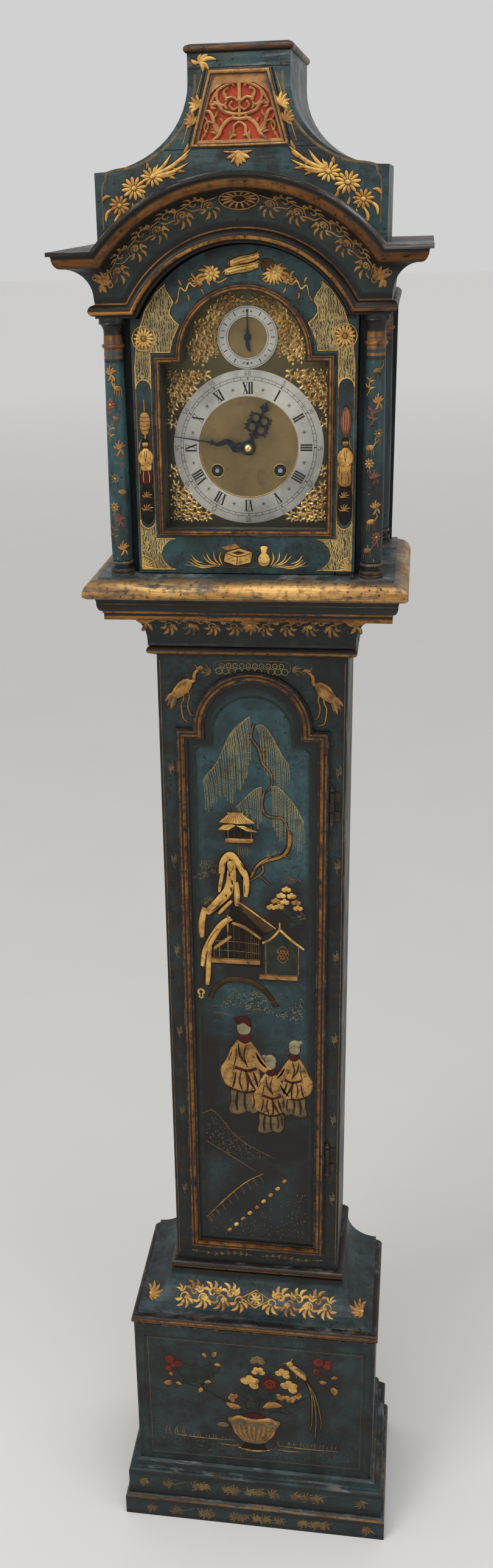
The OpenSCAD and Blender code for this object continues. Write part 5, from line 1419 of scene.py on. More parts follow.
def cap_painting():
    r = Relief("cap_painting", "hood", front(CAP_Y), 21)
    top = 1726.5
    r.stroke([(-26.5, top - 1), (26.5, top - 1)], 3.2, soft_gilt, 0.9, EVEN, 0.6, 0.5)
    for s in (-1, 1):
        r.stroke(sided(s, (25.2, top), (42.2, 1668)), 2.4, soft_gilt, 0.9, EVEN, 0.6, 0.5, straight=True)
        r.stroke(sided(s, (32, top - 3), (50.5, 1669)), 1.1, soft_gilt, 0.4, EVEN, 0.3, straight=True)
        line(r, sided(s, (29, top + 1), (37, 1697), (46.4, 1665)), 1.8, black_paint, 0.05, EVEN)
    r.stroke([(-43, 1667.4), (0, 1667), (43, 1667.4)], 2.0, soft_gilt, 0.7, EVEN, 0.6, 0.4)
    line(r, [(-44.4, 1728.4), (0, 1728.9), (44.4, 1728.4)], 0.8, black_paint, 0.06, EVEN)
    line(r, [(-70, 1664.4), (-30, 1664.9), (30, 1664.9), (70, 1664.2)], 0.9, black_paint, 0.06, EVEN)
    # Spray at the left of the neck
    r.fan(-34, 1733, ((8, 15), (40, 10), (78, 7), (160, 8), (-35, 10), (-70, 8)), 3.4, bright_gilt, 0.15,
          0.4)
    for s in (-1, 1):
        for z, gold in ((1697, bright_gilt), (1684, soft_gilt)):
            for a, n in ((90, 12), (62, 11), (34, 9), (118, 9), (10, 7), (-30, 6)):
                x = s * (37.5 + (1697 - z) * 0.34)
                r.leaf(x, z, flip(a, s), n, 3.0, gold, 0.12 * s, None, 0.5)
    # Pendant under the panel
    for a in (-90, -124, -56, -150, -30, -106, -74):
        r.leaf(-1, 1662.5, a, 14 if a == -90 else 12, 4.4, bright_gilt, 0.1 if a < -90 else -0.1, None,
               0.6)
    r.stroke([(-14, 1662), (-1, 1660.4), (12, 1662)], 3.4, soft_gilt, None, (0.2, 1, 0.2), 0.6)
    for s in (-1, 1):
        daisy(r, s * 79, 1643, 10.5, bright_gilt, 11, 0.8)
        daisy(r, s * 96, 1634, 11.5, bright_gilt, 12, 0.85)
        daisy(r, s * 110, 1620, 9.5, soft_gilt, 11, 0.9)
        base = (s * 80, 1644)
        for a, n, w in ((30, 42, 3.8), (16, 36, 3.2), (43, 26, 3.0), (4, 24, 2.8), (56, 12, 2.4),
                        (23, 28, 2.2)):
            b = 180 - a if s > 0 else a
            r.leaf(base[0], base[1], b, n, w, bright_gilt if a > 10 else soft_gilt, 0.08 * s, None, 0.6)
        for u, v, a, n in ((56, 1655, 150, 12), (60, 1650, 196, 12), (66, 1646, 210, 10),
                           (50, 1662, 120, 9)):
            r.leaf(s * u, v, flip(a, s), n, 3.0, soft_gilt, 0.1 * s, None, 0.5)
        for x, z, a, n in ((104, 1612, 250, 14), (110, 1614, 276, 17), (116, 1618, 300, 14),
                           (98, 1622, 230, 12), (88, 1630, 235, 12), (118, 1628, 330, 9),
                           (84, 1650, 95, 5)):
            b = flip(a, s)
            r.leaf(s * x, z, b, n, 3.2, soft_gilt if n < 14 else bright_gilt, 0.2 * s, None, 0.5)
        border = [(s * (cap_half(z) - 6.5), z) for z in (1724, 1712, 1700, 1688, 1676, 1666, 1658, 1652,
                                                         1648)]
        border += sided(s, (122, 1641), (125.5, 1634), (125.5, 1600))
        line(r, border, 2.4, faded_gilt, 0.1, (1, 1, 0.5))
    r.make()


cap_painting()


# Frieze over the arch

def frieze_painting():
    r = Relief("frieze_painting", "hood", arch_hollow, 22)
    r.blob(0, 21, 18, 11.5, ink, 0.1)
    r.hoop(0, 21, 17, 10.5, 1.3, soft_gilt, 0.7, 0.5, 0, 30)
    r.petals(0, 21, 15.6, 9.4, 14, soft_gilt, 0.42, 2.4, 0, 0)
    r.hoop(0, 21, 6.2, 4.0, 1.0, soft_gilt, 0.9, 0, 0, 24)
    r.blob(0, 21, 3.0, 2.0, ink, 1.1)
    for s in (-1, 1):
        for k in range(9):
            u = 26 + 12.6 * k
            up = 1 if k % 2 else -1
            v = 20 + 3.2 * up
            r.curl(s * u, v, 5.8 - 0.12 * k, 90 * up + 70 * s, -300 * s * up, 1.7, soft_gilt, 0.5, 0.74)
            r.stroke([(s * (u - 9), 20 - 6 * up), (s * (u - 3), v - 7 * up), (s * (u + 4), v - 6 * up),
                      (s * (u + 8), v)], 1.6, soft_gilt, None, (0.5, 1, 0.4), 0.5)
            for a, n, w in ((70, 8.5, 2.8), (112, 8.0, 2.6), (150, 6.5, 2.2), (30, 7.0, 2.2)):
                b = flip(a, s) * up
                px, py = polar(s * u, v, 4.4, b)
                r.leaf(px, py, b - 18 * s * up, n, w, soft_gilt, 0.2 * s * up, None, 0.45)
            for a, n in ((-60, 6.5), (-110, 6.0)):
                b = flip(a, s) * up
                r.leaf(s * (u + 6), 20 - 3 * up, b, n, 2.2, soft_gilt, 0.2 * s, None, 0.4)
            if k % 2 == 0:
                r.petals(s * u, v, 3.2, 3.0, 7, soft_gilt, 0.2, 1.5, 0, 0, ink)
    r.make()
    flat = Relief("frieze_corner_leaves", "hood", straight_frieze, 23)
    for s in (-1, 1):
        x = s * 128
        flat.fan(x, 13, ((90, 16), (62, 14), (118, 14), (28, 10), (152, 10), (250, 8), (290, 8)), 4.2,
                 soft_gilt, 0.14 * s, 0.6)
        flat.curl(x - s * 6, 12, 4.2, 90, 280 * s, 1.5, soft_gilt, 0.5)
        flat.curl(x + s * 6, 20, 3.6, 270, 280 * s, 1.4, soft_gilt, 0.5)
    flat.make()


frieze_painting()


# Hood door

def ring_of(r, outline, width, material, height, halo):
    r.stroke(list(outline) + [outline[0]], width, material, height, EVEN, halo, 0, 2, straight=True)


def roundel(r, x, z, size):
    """Gilt daisy in a dark ringed field."""
    r.blob(x, z, size, size, wall_brown, 0.22)
    r.hoop(x, z, size, size, 1.0, bright_gilt, 0.55, 0.35, 0, 30)
    for i in range(14):
        a = 360 * i / 14
        foot = polar(x, z, size * 0.24, a)
        r.leaf(foot[0], foot[1], a, size * 0.66, size * 0.24, bright_gilt, 0, 0.75)
    r.blob(x, z, size * 0.2, size * 0.2, soft_gilt, 0.8)


def rolled_scroll(r, x, z, degrees, length, size):
    """Rolled paper scroll in relief with curled ends."""
    def at(u, v):
        return turn((x + u, z + v), degrees, (x, z))

    half = length / 2
    r.stroke([at(-half, 0), at(-half * 0.3, 0.5), at(half * 0.3, -0.4), at(half, 0.3)], size, bright_gilt,
             1.9, (0.8, 1.0, 0.8), 0.9, 0.35)
    for v in (0.2, -0.22):
        line(r, [at(-half * 0.8, size * v), at(0, size * v + 0.4), at(half * 0.8, size * v)], 0.55, ink,
             1.85)
    for s in (-1, 1):
        u, v = at(s * half, s * size * 0.16)
        r.curl(u, v, size * 0.42, degrees + 90 - 90 * s, 320 * s, size * 0.2, bright_gilt, 0.5,
               height=1.9)


# Middle of the upright fields at both sides of the glass
FIELD_X = 97


def crossed_scrolls(r):
    """Crossed scrolls with flowers and ribbons."""
    rolled_scroll(r, 2, 1571.5, 14, 27, 6.4)
    rolled_scroll(r, -1, 1563.5, 11, 31, 6.8)
    r.patch([(17, 1571), (27, 1571), (29, 1563), (19, 1561)], wall_brown, 0.5, True, halo=0.4)
    for s in (-1, 1):
        daisy(r, s * 29, 1560, 8.2, bright_gilt, 10, 0.85)
        if s > 0:
            r.fan(29, 1560, [(a, 12.5) for a in range(190, 350, 20)], 2.2, bright_gilt, 0, 0.4)
        daisy(r, s * 42, 1553, 5.5, soft_gilt, 9, 0.85)
        r.fan(s * 31, 1558, ((25, 12), (-15, 15), (-48, 14), (60, 11), (-95, 9), (95, 9), (130, 8)), 3.0,
              soft_gilt, 0.2 * s, 0.45, s)
        r.stroke(sided(s, (36, 1556), (45, 1549), (50, 1552), (54, 1545), (59, 1548), (61, 1539)), 1.5,
                 bright_gilt, None, (0.8, 1, 0.4), 0.45)
        r.curl(s * 48, 1554, 3.0, 200, 260 * s, 1.1, soft_gilt, 0.4)
        for u, v, a in ((44, 1556, 50), (52, 1542, -100), (57, 1550, 60), (40, 1547, -120),
                        (61, 1539, -60)):
            r.leaf(s * u, v, flip(a, s), 6.5, 2.0, soft_gilt, 0.1, None, 0.4)
        r.stroke(sided(s, (14, 1556), (22, 1552), (28, 1554)), 1.6, soft_gilt, None, (0.5, 1, 0.3), 0.4)


def fretwork_corners(r):
    """Fretwork corners with ringed daisies, hollowed for the side fields."""
    for s in (-1, 1):
        corner = [(104.6, 1457), (104.6, 1478), (101.5, 1504), (93, 1528), (82, 1544), (73, 1551.5)]
        corner += [(73, 1546), (69, 1541), (66, 1535), (69, 1530), (70, 1525), (66, 1519), (61, 1515),
                   (65, 1507), (68.5, 1499), (70, 1490.4), (89.5, 1490.4), (89.5, 1457)]
        corner += arc_line(FIELD_X, 1457, 7.5, 8.5, 180, 0, 8)
        shape = sided(s, *corner)
        r.level(shape, fretwork, 0.14)
        ring_of(r, shape, 1.2, bright_gilt, 0.55, 0.35)
        roundel(r, s * 95, 1503, 11.2)
        foot = [(104.6, 1281.5), (104.6, 1331)] + arc_line(FIELD_X, 1331, 7.5, 8.5, 0, -180, 8)
        foot += [(89.6, 1312.4), (70, 1312.4), (78, 1309.5), (83, 1304), (85, 1297), (83, 1290),
                 (78, 1284.5), (70, 1281.5)]
        shape = sided(s, *foot)
        r.level(shape, fretwork, 0.14)
        ring_of(r, shape, 1.1, bright_gilt, 0.5, 0.3)
        for x in (89.5, 104.6):
            r.stroke([(s * x, 1330), (s * x, 1394), (s * x, 1458)], 0.7, soft_gilt, 0.3, EVEN, 0.2,
                     straight=True)
        r.stroke(arc_line(s * 104, 1282, 13, 13, 90 if s > 0 else 0, 180 if s > 0 else 90, 10), 0.9,
                 bright_gilt, 0.5, EVEN, 0.3, straight=True)
        r.fan(s * 104, 1282, [(a, 12) for a in range(96, 178, 16)], 2.2, bright_gilt, 0, 0, s, 0.6)


def bottom_panel(r):
    """Bottom panel: box, vase and reeds."""
    box = [(-22, 1290), (-20, 1299), (-6, 1303), (7, 1299), (5, 1289), (-9, 1285.6)]
    r.patch(box, bright_gilt, 1.2, False, halo=1.1)
    line(r, [(-20, 1299), (-8, 1295), (7, 1299)], 0.9, ink, 1.25)
    line(r, [(-8, 1295), (-9, 1286)], 0.9, ink, 1.25, EVEN)
    r.patch([(-15, 1299), (-7, 1301.4), (1, 1299), (-7, 1296.8)], wall_brown, 1.3, False)
    r.patch([(-19, 1301), (-25, 1304), (-10, 1308), (-5, 1304)], soft_gilt, 1.0, False, halo=0.8)
    for x, z in ((-17, 1293), (-12, 1291), (-4, 1290), (1, 1292)):
        line(r, [(x - 1.6, z), (x + 1.6, z)], 0.6, ink, 1.25, EVEN)
    vase = [(15, 1286), (12.4, 1292.5), (15.6, 1299), (15, 1305), (21.8, 1305), (21.2, 1299),
            (24.4, 1292.5), (21.8, 1286)]
    r.patch(vase, bright_gilt, 1.4, True, round_off=0.8, halo=1.1)
    for z in (1289.6, 1294.4, 1299.4):
        line(r, [(13.6 + (z > 1298) * 2, z), (18.5, z - 1), (23.2 - (z > 1298) * 2, z)], 0.6, ink, 1.35)
    r.stroke([(-34, 1284.6), (-8, 1283.4), (30, 1284.6)], 1.6, wall_brown, None, (0.3, 1, 0.3))
    for s in (-1, 1):
        for x, a, n in ((26, 30, 22), (28, 46, 18), (26, 64, 16), (34, 16, 24), (30, 8, 30), (24, 84, 14),
                        (44, 38, 15)):
            r.leaf(s * x + 1, 1286 + 2 * (x > 40), flip(a, s), n, 1.5, bright_gilt, -0.16 * s, None, 0.3)
        r.stroke(sided(s, (26, 1285), (44, 1284.4), (62, 1286.4)), 0.8, olive_gilt, None, (1, 1, 0.3))


def left_field(r):
    """Left field: lantern and seated figure."""
    x = -FIELD_X
    r.stroke([(x, 1447), (x, 1436)], 0.9, bright_gilt, 0.5, EVEN, 0.3)
    r.patch([(x - 3, 1415), (x - 5.2, 1425), (x - 3.4, 1434), (x + 3.4, 1434), (x + 5.2, 1425),
             (x + 3, 1415)], soft_gilt, 0.9, True, round_off=0.8, halo=0.8)
    for z in (1419, 1423, 1427, 1431):
        line(r, [(x - 4.4, z), (x, z - 0.9), (x + 4.4, z)], 0.5, ink, 1.0)
    r.stroke([(x, 1415), (x, 1405)], 1.6, soft_gilt, None, (0.6, 1, 0.2), 0.3)
    small_figure(r, x, 1370, 1.0, True)


def right_field(r):
    """Right field: red-brown urn and standing figure."""
    x = FIELD_X
    r.patch([(x - 2, 1412), (x - 5, 1423), (x - 3.5, 1434), (x, 1439), (x + 4, 1434), (x + 5, 1422),
             (x + 2, 1412)], RED_SPRAY, 0.8, True, round_off=0.9, halo=0.9)
    for u in (-2.4, 0, 2.4):
        line(r, [(x + u * 0.6, 1436), (x + u, 1426), (x + u * 0.5, 1415)], 0.5, bright_gilt, 0.9)
    r.stroke([(x, 1412), (x - 1, 1404)], 1.4, soft_gilt, None, (0.6, 1, 0.2), 0.3)
    small_figure(r, x, 1369, 1.04, False)


def field_rocks(r):
    """Dark rock with leaves and reeds under each figure."""
    for s in (-1, 1):
        x = s * FIELD_X
        r.patch([(x - 6.8, 1336), (x - 6.6, 1356), (x - 3, 1366), (x + 3, 1368), (x + 6.6, 1358),
                 (x + 6.8, 1336), (x, 1327)], black_paint, 0.4, True, halo=0.6)
        for z, n in ((1354, 6), (1341, 7)):
            for a in (20, 60, 90, 120, 160):
                r.leaf(x, z, a, n, 1.7, soft_gilt, 0.15, 0.9)
            r.stroke([(x - 5, z - 1), (x, z), (x + 5, z - 1)], 0.9, soft_gilt, 0.8, (0.4, 1, 0.4))
        for z in (1400, 1388, 1376):
            r.leaf(x + 6 * s, z, 90 + 14 * s, 10, 1.2, olive_gilt, 0.1)


def hood_door_painting():
    r = Relief("hood_door_painting", "hood_door", front(HOOD_DOOR_Y), 24)
    crossed_scrolls(r)
    fretwork_corners(r)
    bottom_panel(r)
    left_field(r)
    right_field(r)
    field_rocks(r)
    r.make()
    # Painted shade: a black band on the dust board behind the arch, where the gap between the arch and the
    # door lies in shade.
    strip = Relief("dust_board_shade", "hood", front(DUST_Y), 25)
    strip.stroke(arc_line(0, ARCH_Z, 113, 113, -4, 184, 60), 17, black_paint, 0.06, EVEN, 0, 1.0,
                 straight=True)
    strip.make()


def small_figure(r, x, foot, k, seated):
    """Plain robed figure in relief, with a blank head, its own simple design."""
    def at(*points):
        return [(x + u * k, foot + v * k) for u, v in points]

    r.patch(at((-5.6, -3), (-6.2, 4), (-4.6, 10), (0, 12), (4.8, 10), (6.2, 3), (5.4, -3), (0, -5)),
            dark_red if seated else soft_gilt, 1.2, True, 0.5, 0.9)
    r.patch(at((-4.4, 9), (-5.4, 18), (-4.6, 26), (-2.2, 30.5), (2.2, 30.5), (4.8, 26), (5.6, 17),
               (4.4, 9)), bright_gilt, 1.5, True, 0.6, 0.9)
    for s in (-1, 1):
        r.stroke(at((s * 3.6, 28), (s * 6.2, 21), (s * 3.4, 15.5), (-s * 0.6, 15)), 3.4 * k, bright_gilt,
                 2.1, (0.8, 1.0, 0.6), 0.5)
        line(r, at((s * 1.2, 29), (s * 0.6, 22), (-s * 0.2, 18)), 0.55, ink, 1.6)
        line(r, at((s * 2.4, 9), (s * 3.2, 3), (s * 2.6, -2)), 0.6, bright_gilt if seated else ink, 1.3)
    if not seated:
        r.stroke(at((-2, 26), (-6.6, 8), (-3, 1)), 2.2 * k, bright_gilt, 1.8, (0.6, 1, 0.4), 0.5)
    top = foot + 37 * k
    r.blob(x - 0.2, top - 1.6, 3.0 * k, 3.5 * k, bright_gilt, 1.8, 0, 0.8)
    r.patch([(x - 3.0 * k, top - 0.6), (x - 2.4 * k, top + 2.8 * k), (x + 2.2 * k, top + 2.8 * k),
             (x + 2.8 * k, top - 0.4)], black_paint, 1.9)
    r.blob(x - 0.1, top - 2.6, 1.9 * k, 2.2 * k, soft_gilt, 2.1)


hood_door_painting()


# Columns

def column_painting():
    for s in (-1, 1):
        r = Relief("column_painting_left" if s < 0 else "column_painting_right", "hood",
                   round_column(s * COLUMN_X, COLUMN_Y,
                                lambda z: 10.5 - 1.3 * min(1, max(0, (z - 1300) / 190))), 30 + s)
        for k, z in enumerate(range(1304, 1478, 14)):
            x = (-4, 5, -1, 4, -5, 2, -4)[k % 7] * s
            gold = (soft_gilt, faded_gilt, RED_SPRAY, soft_gilt)[(k + (s > 0)) % 4]
            kind = (2 * k + k // 3 + (s > 0)) % 4
            if kind == 0:
                for a in (90, 60, 120, 30, 150, -60, -120):
                    r.leaf(x, z, a, 9.5 if a == 90 else 7.5, 2.4, gold, 0.12, None, 0.4)
            elif kind == 1:
                r.blob(x, z + 1, 4.6, 2.6, gold, 0.9, 12 * s, 0.5)
                r.stroke([(x + 3.6 * s, z + 2), (x + 6 * s, z + 6), (x + 5 * s, z + 9.5)], 1.7, gold,
                         None, (1, 0.9, 0.5), 0.4)
                for dx in (-3, -1, 2, 3.4):
                    r.stroke([(x + dx * s, z), (x + dx * 1.3 * s, z - 8)], 0.8, gold, 0.4, (1, 0.8, 0.4),
                             0.3)
                r.leaf(x + 5 * s, z + 9, 90 - 60 * s, 3.6, 1.2, gold, 0, None, 0.3)
            elif kind == 2:
                r.stroke([(x - 4, z - 8), (x, z - 2), (x - 1, z + 5), (x + 3, z + 10)], 1.4, gold, None,
                         (0.8, 1, 0.3), 0.4)
                for dz, a in ((-3, 30), (0, 150), (4, 20), (7, 140)):
                    r.leaf(x - 0.5, z + dz, a, 6.5, 2.0, gold, 0.15, None, 0.35)
            else:
                daisy(r, x, z, 5.0, gold, 8, 1.0, 0.4)
                r.leaf(x, z - 4, -80, 8, 2.0, RED_SPRAY, 0.1, None, 0.3)
                r.leaf(x, z - 4, -120, 6, 1.8, gold, 0.1, None, 0.3)
            r.dash(-x, z + 9, 60, 4.4, 1.2, RED_SPRAY, 0.25)
            r.dash(-x * 0.7, z - 9, 110, 3.8, 1.1, olive_gilt, 0.25)
        r.make()


column_painting()


# Throat

def running_leaves(r, ends, middle, step, size, golds, skip=0.0):
    """Mirrored band of scrolls, leaves and small flowers along a hollow."""
    count = int((ends - skip) / step)
    for s in (-1, 1):
        for k in range(count):
            u = skip + step * (k + 0.5)
            up = 1 if k % 2 else -1
            gold = golds[k % len(golds)]
            v = middle + size * 0.34 * up
            r.curl(s * u, v, size * 0.66, 90 * up + 60 * s, -300 * s * up, size * 0.26, gold, 0.45, 0.72)
            for a, n in ((66, 1.25), (108, 1.15), (148, 0.95), (26, 1.0)):
                b = flip(a, s) * up
                px, py = polar(s * u, v, size * 0.4, b)
                r.leaf(px, py, b - 16 * s * up, size * n, size * 0.44, gold, 0.2 * s * up, None, 0.45)
            for a, n in ((-70, 1.0), (-118, 0.9), (-30, 0.8)):
                b = flip(a, s) * up
                r.leaf(s * (u + step * 0.5), middle - size * 0.2 * up, b, size * n, size * 0.28, gold,
                       0.2 * s, None, 0.4)
            if k % 3 == 1:
                r.petals(s * u, v, size * 0.42, size * 0.38, 8, bright_gilt, 0.2, None, 0, 0, ink)


def throat_painting():
    r = Relief("throat_painting", "case", throat_hollow, 33)
    for a in (90, 62, 118, 38, 142, 15, 165, -90, -60, -120, -30, -150):
        r.leaf(0, 20, a, 13 if abs(a) == 90 else 11, 4.0, soft_gilt, 0.1, None, 0.5)
    r.blob(0, 20, 3, 2.4, bright_gilt, 1.2)
    running_leaves(r, 92, 20, 11.5, 7.4, (soft_gilt, faded_gilt, soft_gilt), 10)
    for s in (-1, 1):
        r.fan(s * 109, 20, [(a, 11) for a in (90, 60, 120, 30, 150, -60, -120)], 4.0, soft_gilt, 0.1, 0.4)
    r.make()


throat_painting()


# Trunk frame

def crane(r, s, x, z, material):
    """Wading bird with a long neck; x, z is the middle of its body, s the side of the case."""
    def at(u, v):
        return (x - s * u, z + v)

    def curve(points, width, taper, gold=material, height=None, halo=0.6):
        r.stroke([at(u, v) for u, v in points], width, gold, height, taper, halo)

    curve([(-10, -13), (-3, -6), (4, 1), (9, 6)], 14.5, (0.45, 1.0, 0.4), height=1.6)
    curve([(6, 4), (12.5, 6), (13, 11), (14.5, 15), (17.5, 18)], 4.4, (1.1, 0.8, 0.7), height=1.3)
    curve([(16.5, 18.5), (20.5, 20.8), (23.5, 19.5)], 4.4, (0.8, 1.0, 0.3), height=1.3)
    curve([(20.5, 20.5), (27, 19)], 1.3, (1.0, 0.8, 0.1))
    curve([(20.5, 18.7), (25.5, 14.5)], 1.1, (1.0, 0.8, 0.1))
    curve([(16.5, 20.5), (14, 24)], 1.3, (0.9, 0.9, 0.1))
    for k, (u, v) in enumerate(((-17, -24), (-13, -27), (-9.5, -25), (-19, -18))):
        curve([(-4, -6), ((u - 4) / 2 - 1, v / 2 - 2), (u, v)], 4.6, (0.6, 1.0, 0.1),
              material if k % 2 else faded_gilt)
    for k in range(4):
        curve([(-1 + 2.4 * k, 3 + k), (-8 + 2.6 * k, -6 + k)], 1.0, (0.8, 1, 0.3), ink, 1.72, 0)
    curve([(1, -3), (1.5, -14), (-1.5, -22), (0, -36), (3, -40)], 1.9, (1.0, 0.8, 0.7))
    curve([(5, -1), (7.5, -12), (5.5, -20), (6.5, -28), (9, -33)], 1.7, (1.0, 0.8, 0.6))
    for u, v in ((3, -40), (9, -33)):
        curve([(u, v), (u + 4, v - 1)], 1.0, (0.9, 0.8, 0.1))
    line(r, [at(16.5, 19.2), at(17.6, 19.4)], 0.8, ink, 1.36, EVEN)


def trunk_frame_painting():
    r = Relief("trunk_frame_painting", "case", front(TRUNK_Y), 34)
    crane(r, -1, -75, 1144, soft_gilt)
    crane(r, 1, 78, 1143, soft_gilt)
    # Lattice of rings in a lobed field at the head of the frame
    for k in range(-5, 6):
        for j in (0, 1):
            x = k * 7.0 + (3.5 if j else 0)
            if abs(x) < 36:
                r.hoop(x, 1161.4 + 6.2 * j, 3.4 - j * 0.9, 3.4 - j * 0.9, 0.75, olive_gilt, 0.3, 0, 0, 12)
                r.dash(x, 1161.4 + 6.2 * j, 45, 2.6, 0.8, faded_gilt, 0.3)
                r.dash(x, 1161.4 + 6.2 * j, 135, 2.6, 0.8, faded_gilt, 0.3)
    r.stroke([(-41, 1164.5), (-36, 1172), (0, 1173.2), (36, 1172), (41, 1164.5), (36, 1158)], 0.7,
             faded_gilt, 0.35, EVEN)
    r.stroke([(-41, 1164.5), (-36, 1158)], 0.7, faded_gilt, 0.35, EVEN)
    for s in (-1, 1):
        r.fan(s * 43, 1162, ((20, 12), (-10, 13), (-40, 10), (50, 9)), 2.2, faded_gilt, 0.14, 0.3, s)
        # Running scrolls and an edge line down the stiles
        line(r, sided(s, (98.5, 1172), (98.8, 780), (98.5, 386)), 0.8, faded_gilt, 0.14, EVEN)
        z = 1084
        k = 0
        while z > 396:
            way = 1 if k % 2 else -1
            x = s * 91.4 + 2.1 * way
            gold = faded_gilt if k % 4 == 1 else wall_brown
            r.stroke([(x, z), (x + 2.6 * way, z - 7), (x - 1.4 * way, z - 14), (x + 1.2 * way, z - 20)],
                     1.0, gold, None, (0.6, 1, 0.3))
            r.fan(x, z - 8, [(a * way, 5.4) for a in (60, 130, 250)], 1.7, gold, 0.14)
            if k % 4 == 1:
                daisy(r, x, z - 10, 3.6, gold, 7, 1.0, 0.3, gold)
            z -= 25 + 3 * (k % 3)
            k += 1
    # Sprays along the foot rail
    for s in (-1, 1):
        r.sprig(sided(s, (6, 389), (26, 391), (50, 388), (78, 390)), 6.0, faded_gilt, 8, 0.34)
    r.make()


trunk_frame_painting()


# Trunk door

def along_line(points, t):
    """Point at share t of a line's points."""
    at = t * (len(points) - 1)
    k = min(len(points) - 2, int(at))
    (ax, az), (bx, bz) = points[k], points[k + 1]
    return (ax + (bx - ax) * (at - k), az + (bz - az) * (at - k))


def curtain(r, branch, hem, count, material):
    """Strings of small slanted leaves, hanging from a branch down to a ragged hem."""
    r.stroke(branch, 0.9, material, 0.3, (1, 1, 0.6), steps=3)
    for k in range(count):
        t = (k + 0.5) / count
        top = along_line(branch, t)
        foot = along_line(hem, t)
        foot = (foot[0] + r.rng.uniform(-0.8, 0.8), foot[1] + r.rng.uniform(-5, 7))
        middle = (foot[0] * 0.72 + top[0] * 0.28, foot[1] * 0.42 + top[1] * 0.58)
        path = smooth_line([top, middle, foot], 12)
        r.stroke([top, middle, foot], 0.4, material, 0.2, (1, 1, 0.6), steps=3)
        count_leaves = max(4, int(math.dist(top, foot) / 2.5))
        for i in range(1, count_leaves):
            x, z = along_line(path, i / count_leaves)
            r.dash(x, z, 232 + 76 * (i % 2), 2.7, 0.8, material, 0.3)


def fat(r, points, width, material, height=1.5, taper=(0.8, 1.0, 0.8), halo=1.4):
    """Thick raised limb with a round back."""
    r.stroke(points, width, material, height, taper, halo, 0.35)


def lobes(r, x, z, size, count, start, spread, material, height=1.1):
    """Cluster of rounded lobes with dark veins."""
    for i in range(count):
        a = start + spread * i / max(1, count - 1)
        px, pz = polar(x, z, size * 0.5, a)
        r.blob(px, pz, size * 0.5, size * 0.42, material, height, a, 0.9)
        tip = polar(x, z, size * 0.9, a)
        line(r, [polar(x, z, size * 0.2, a), tip], 0.5, ink, height * 0.92)


def robed(r, x, foot, tall, way, robe, sash):
    """Standing robed figure with wide sleeves and a blank head, its own plain design."""
    k = tall / 100

    def at(u, v):
        return (x + way * u * k * 0.84, foot + v * k)

    def shape(points, material, height, halo=1.6):
        r.patch([at(u, v) for u, v in points], material, height, True, round_off=0.45, halo=halo)

    shape([(-16, 4), (-17, 14), (-15, 27), (0, 30), (15, 27), (16, 12), (18, 0), (8, -3), (-2, 1),
           (-9, -1)], faded_gilt, 1.1)
    shape([(-13, 24), (-16, 40), (-13, 58), (-9, 74), (0, 80), (9, 77), (14, 64), (12, 44), (17, 25),
           (4, 20)], robe, 1.5)
    shape([(5, 76), (14, 70), (21, 56), (27, 46), (24, 33), (17, 27), (13, 38), (9, 54)], robe, 1.9, 1.0)
    shape([(-7, 75), (-15, 66), (-23, 54), (-29, 51), (-30, 46), (-22, 44), (-13, 50), (-5, 60)], robe,
          1.8, 1.0)
    shape([(-8, 79), (0, 74), (8, 79), (4, 84), (-4, 84)], dark_red, 2.0, 0.6)
    r.blob(*at(1, 90), 6.4 * k, 7.6 * k, grey_paint, 1.6, 0, 1.0)
    shape([(-6.4, 92), (-6, 99), (1, 103), (8, 100), (8, 94), (1, 97)], sash, 2.0, 0.6)
    r.blob(*at(9, 100), 2.4 * k, 2.4 * k, sash, 1.4)
    folds = (((-2, 74), (1, 62), (-3, 50)), ((7, 74), (5, 62), (-2, 52)), ((-1, 46), (-6, 34), (-11, 26)),
             ((4, 46), (6, 34), (3, 24)), ((10, 44), (12, 33), (14, 27)),
             ((-9, 45), (-12, 36), (-14, 29)), ((14, 66), (18, 54), (21, 42)),
             ((9, 70), (11, 56), (15, 42)), ((-12, 66), (-17, 57), (-24, 50)),
             ((-8, 24), (-10, 12), (-8, 5)), ((0, 25), (1, 12), (-1, 2)), ((8, 24), (10, 12), (9, 2)),
             ((-14, 22), (-15, 10)))
    for n, path in enumerate(folds):
        line(r, [at(u, v) for u, v in path], (1.5 + 0.5 * (n % 3)) * k, ink, 1.8, (0.3, 1.0, 0.3))
    line(r, [at(-16, 26), at(0, 22), at(17, 26)], 2.0 * k, ink, 1.6, EVEN)
    line(r, [at(-13, 49), at(-2, 46), at(11, 49)], 3.2 * k, dark_red, 1.85, EVEN)
    line(r, [at(-1, 46), at(-3, 33), at(-2, 22)], 2.2 * k, dark_red, 1.85, (1, 1, 0.5))


def door_border(r):
    """Dark border line with its arched head."""
    for s in (-1, 1):
        border = arc_line(0, 1090, 44, 44, 90, 90 - 78 * s, 9)
        border += [(s * 44, 1078), (s * 58, 1076), (s * 63, 1070), (s * 65, 740), (s * 66, 418), (0, 417)]
        r.stroke(border, 3.4, leaf_dark, 0.12, EVEN, 0, 1.0, straight=True)


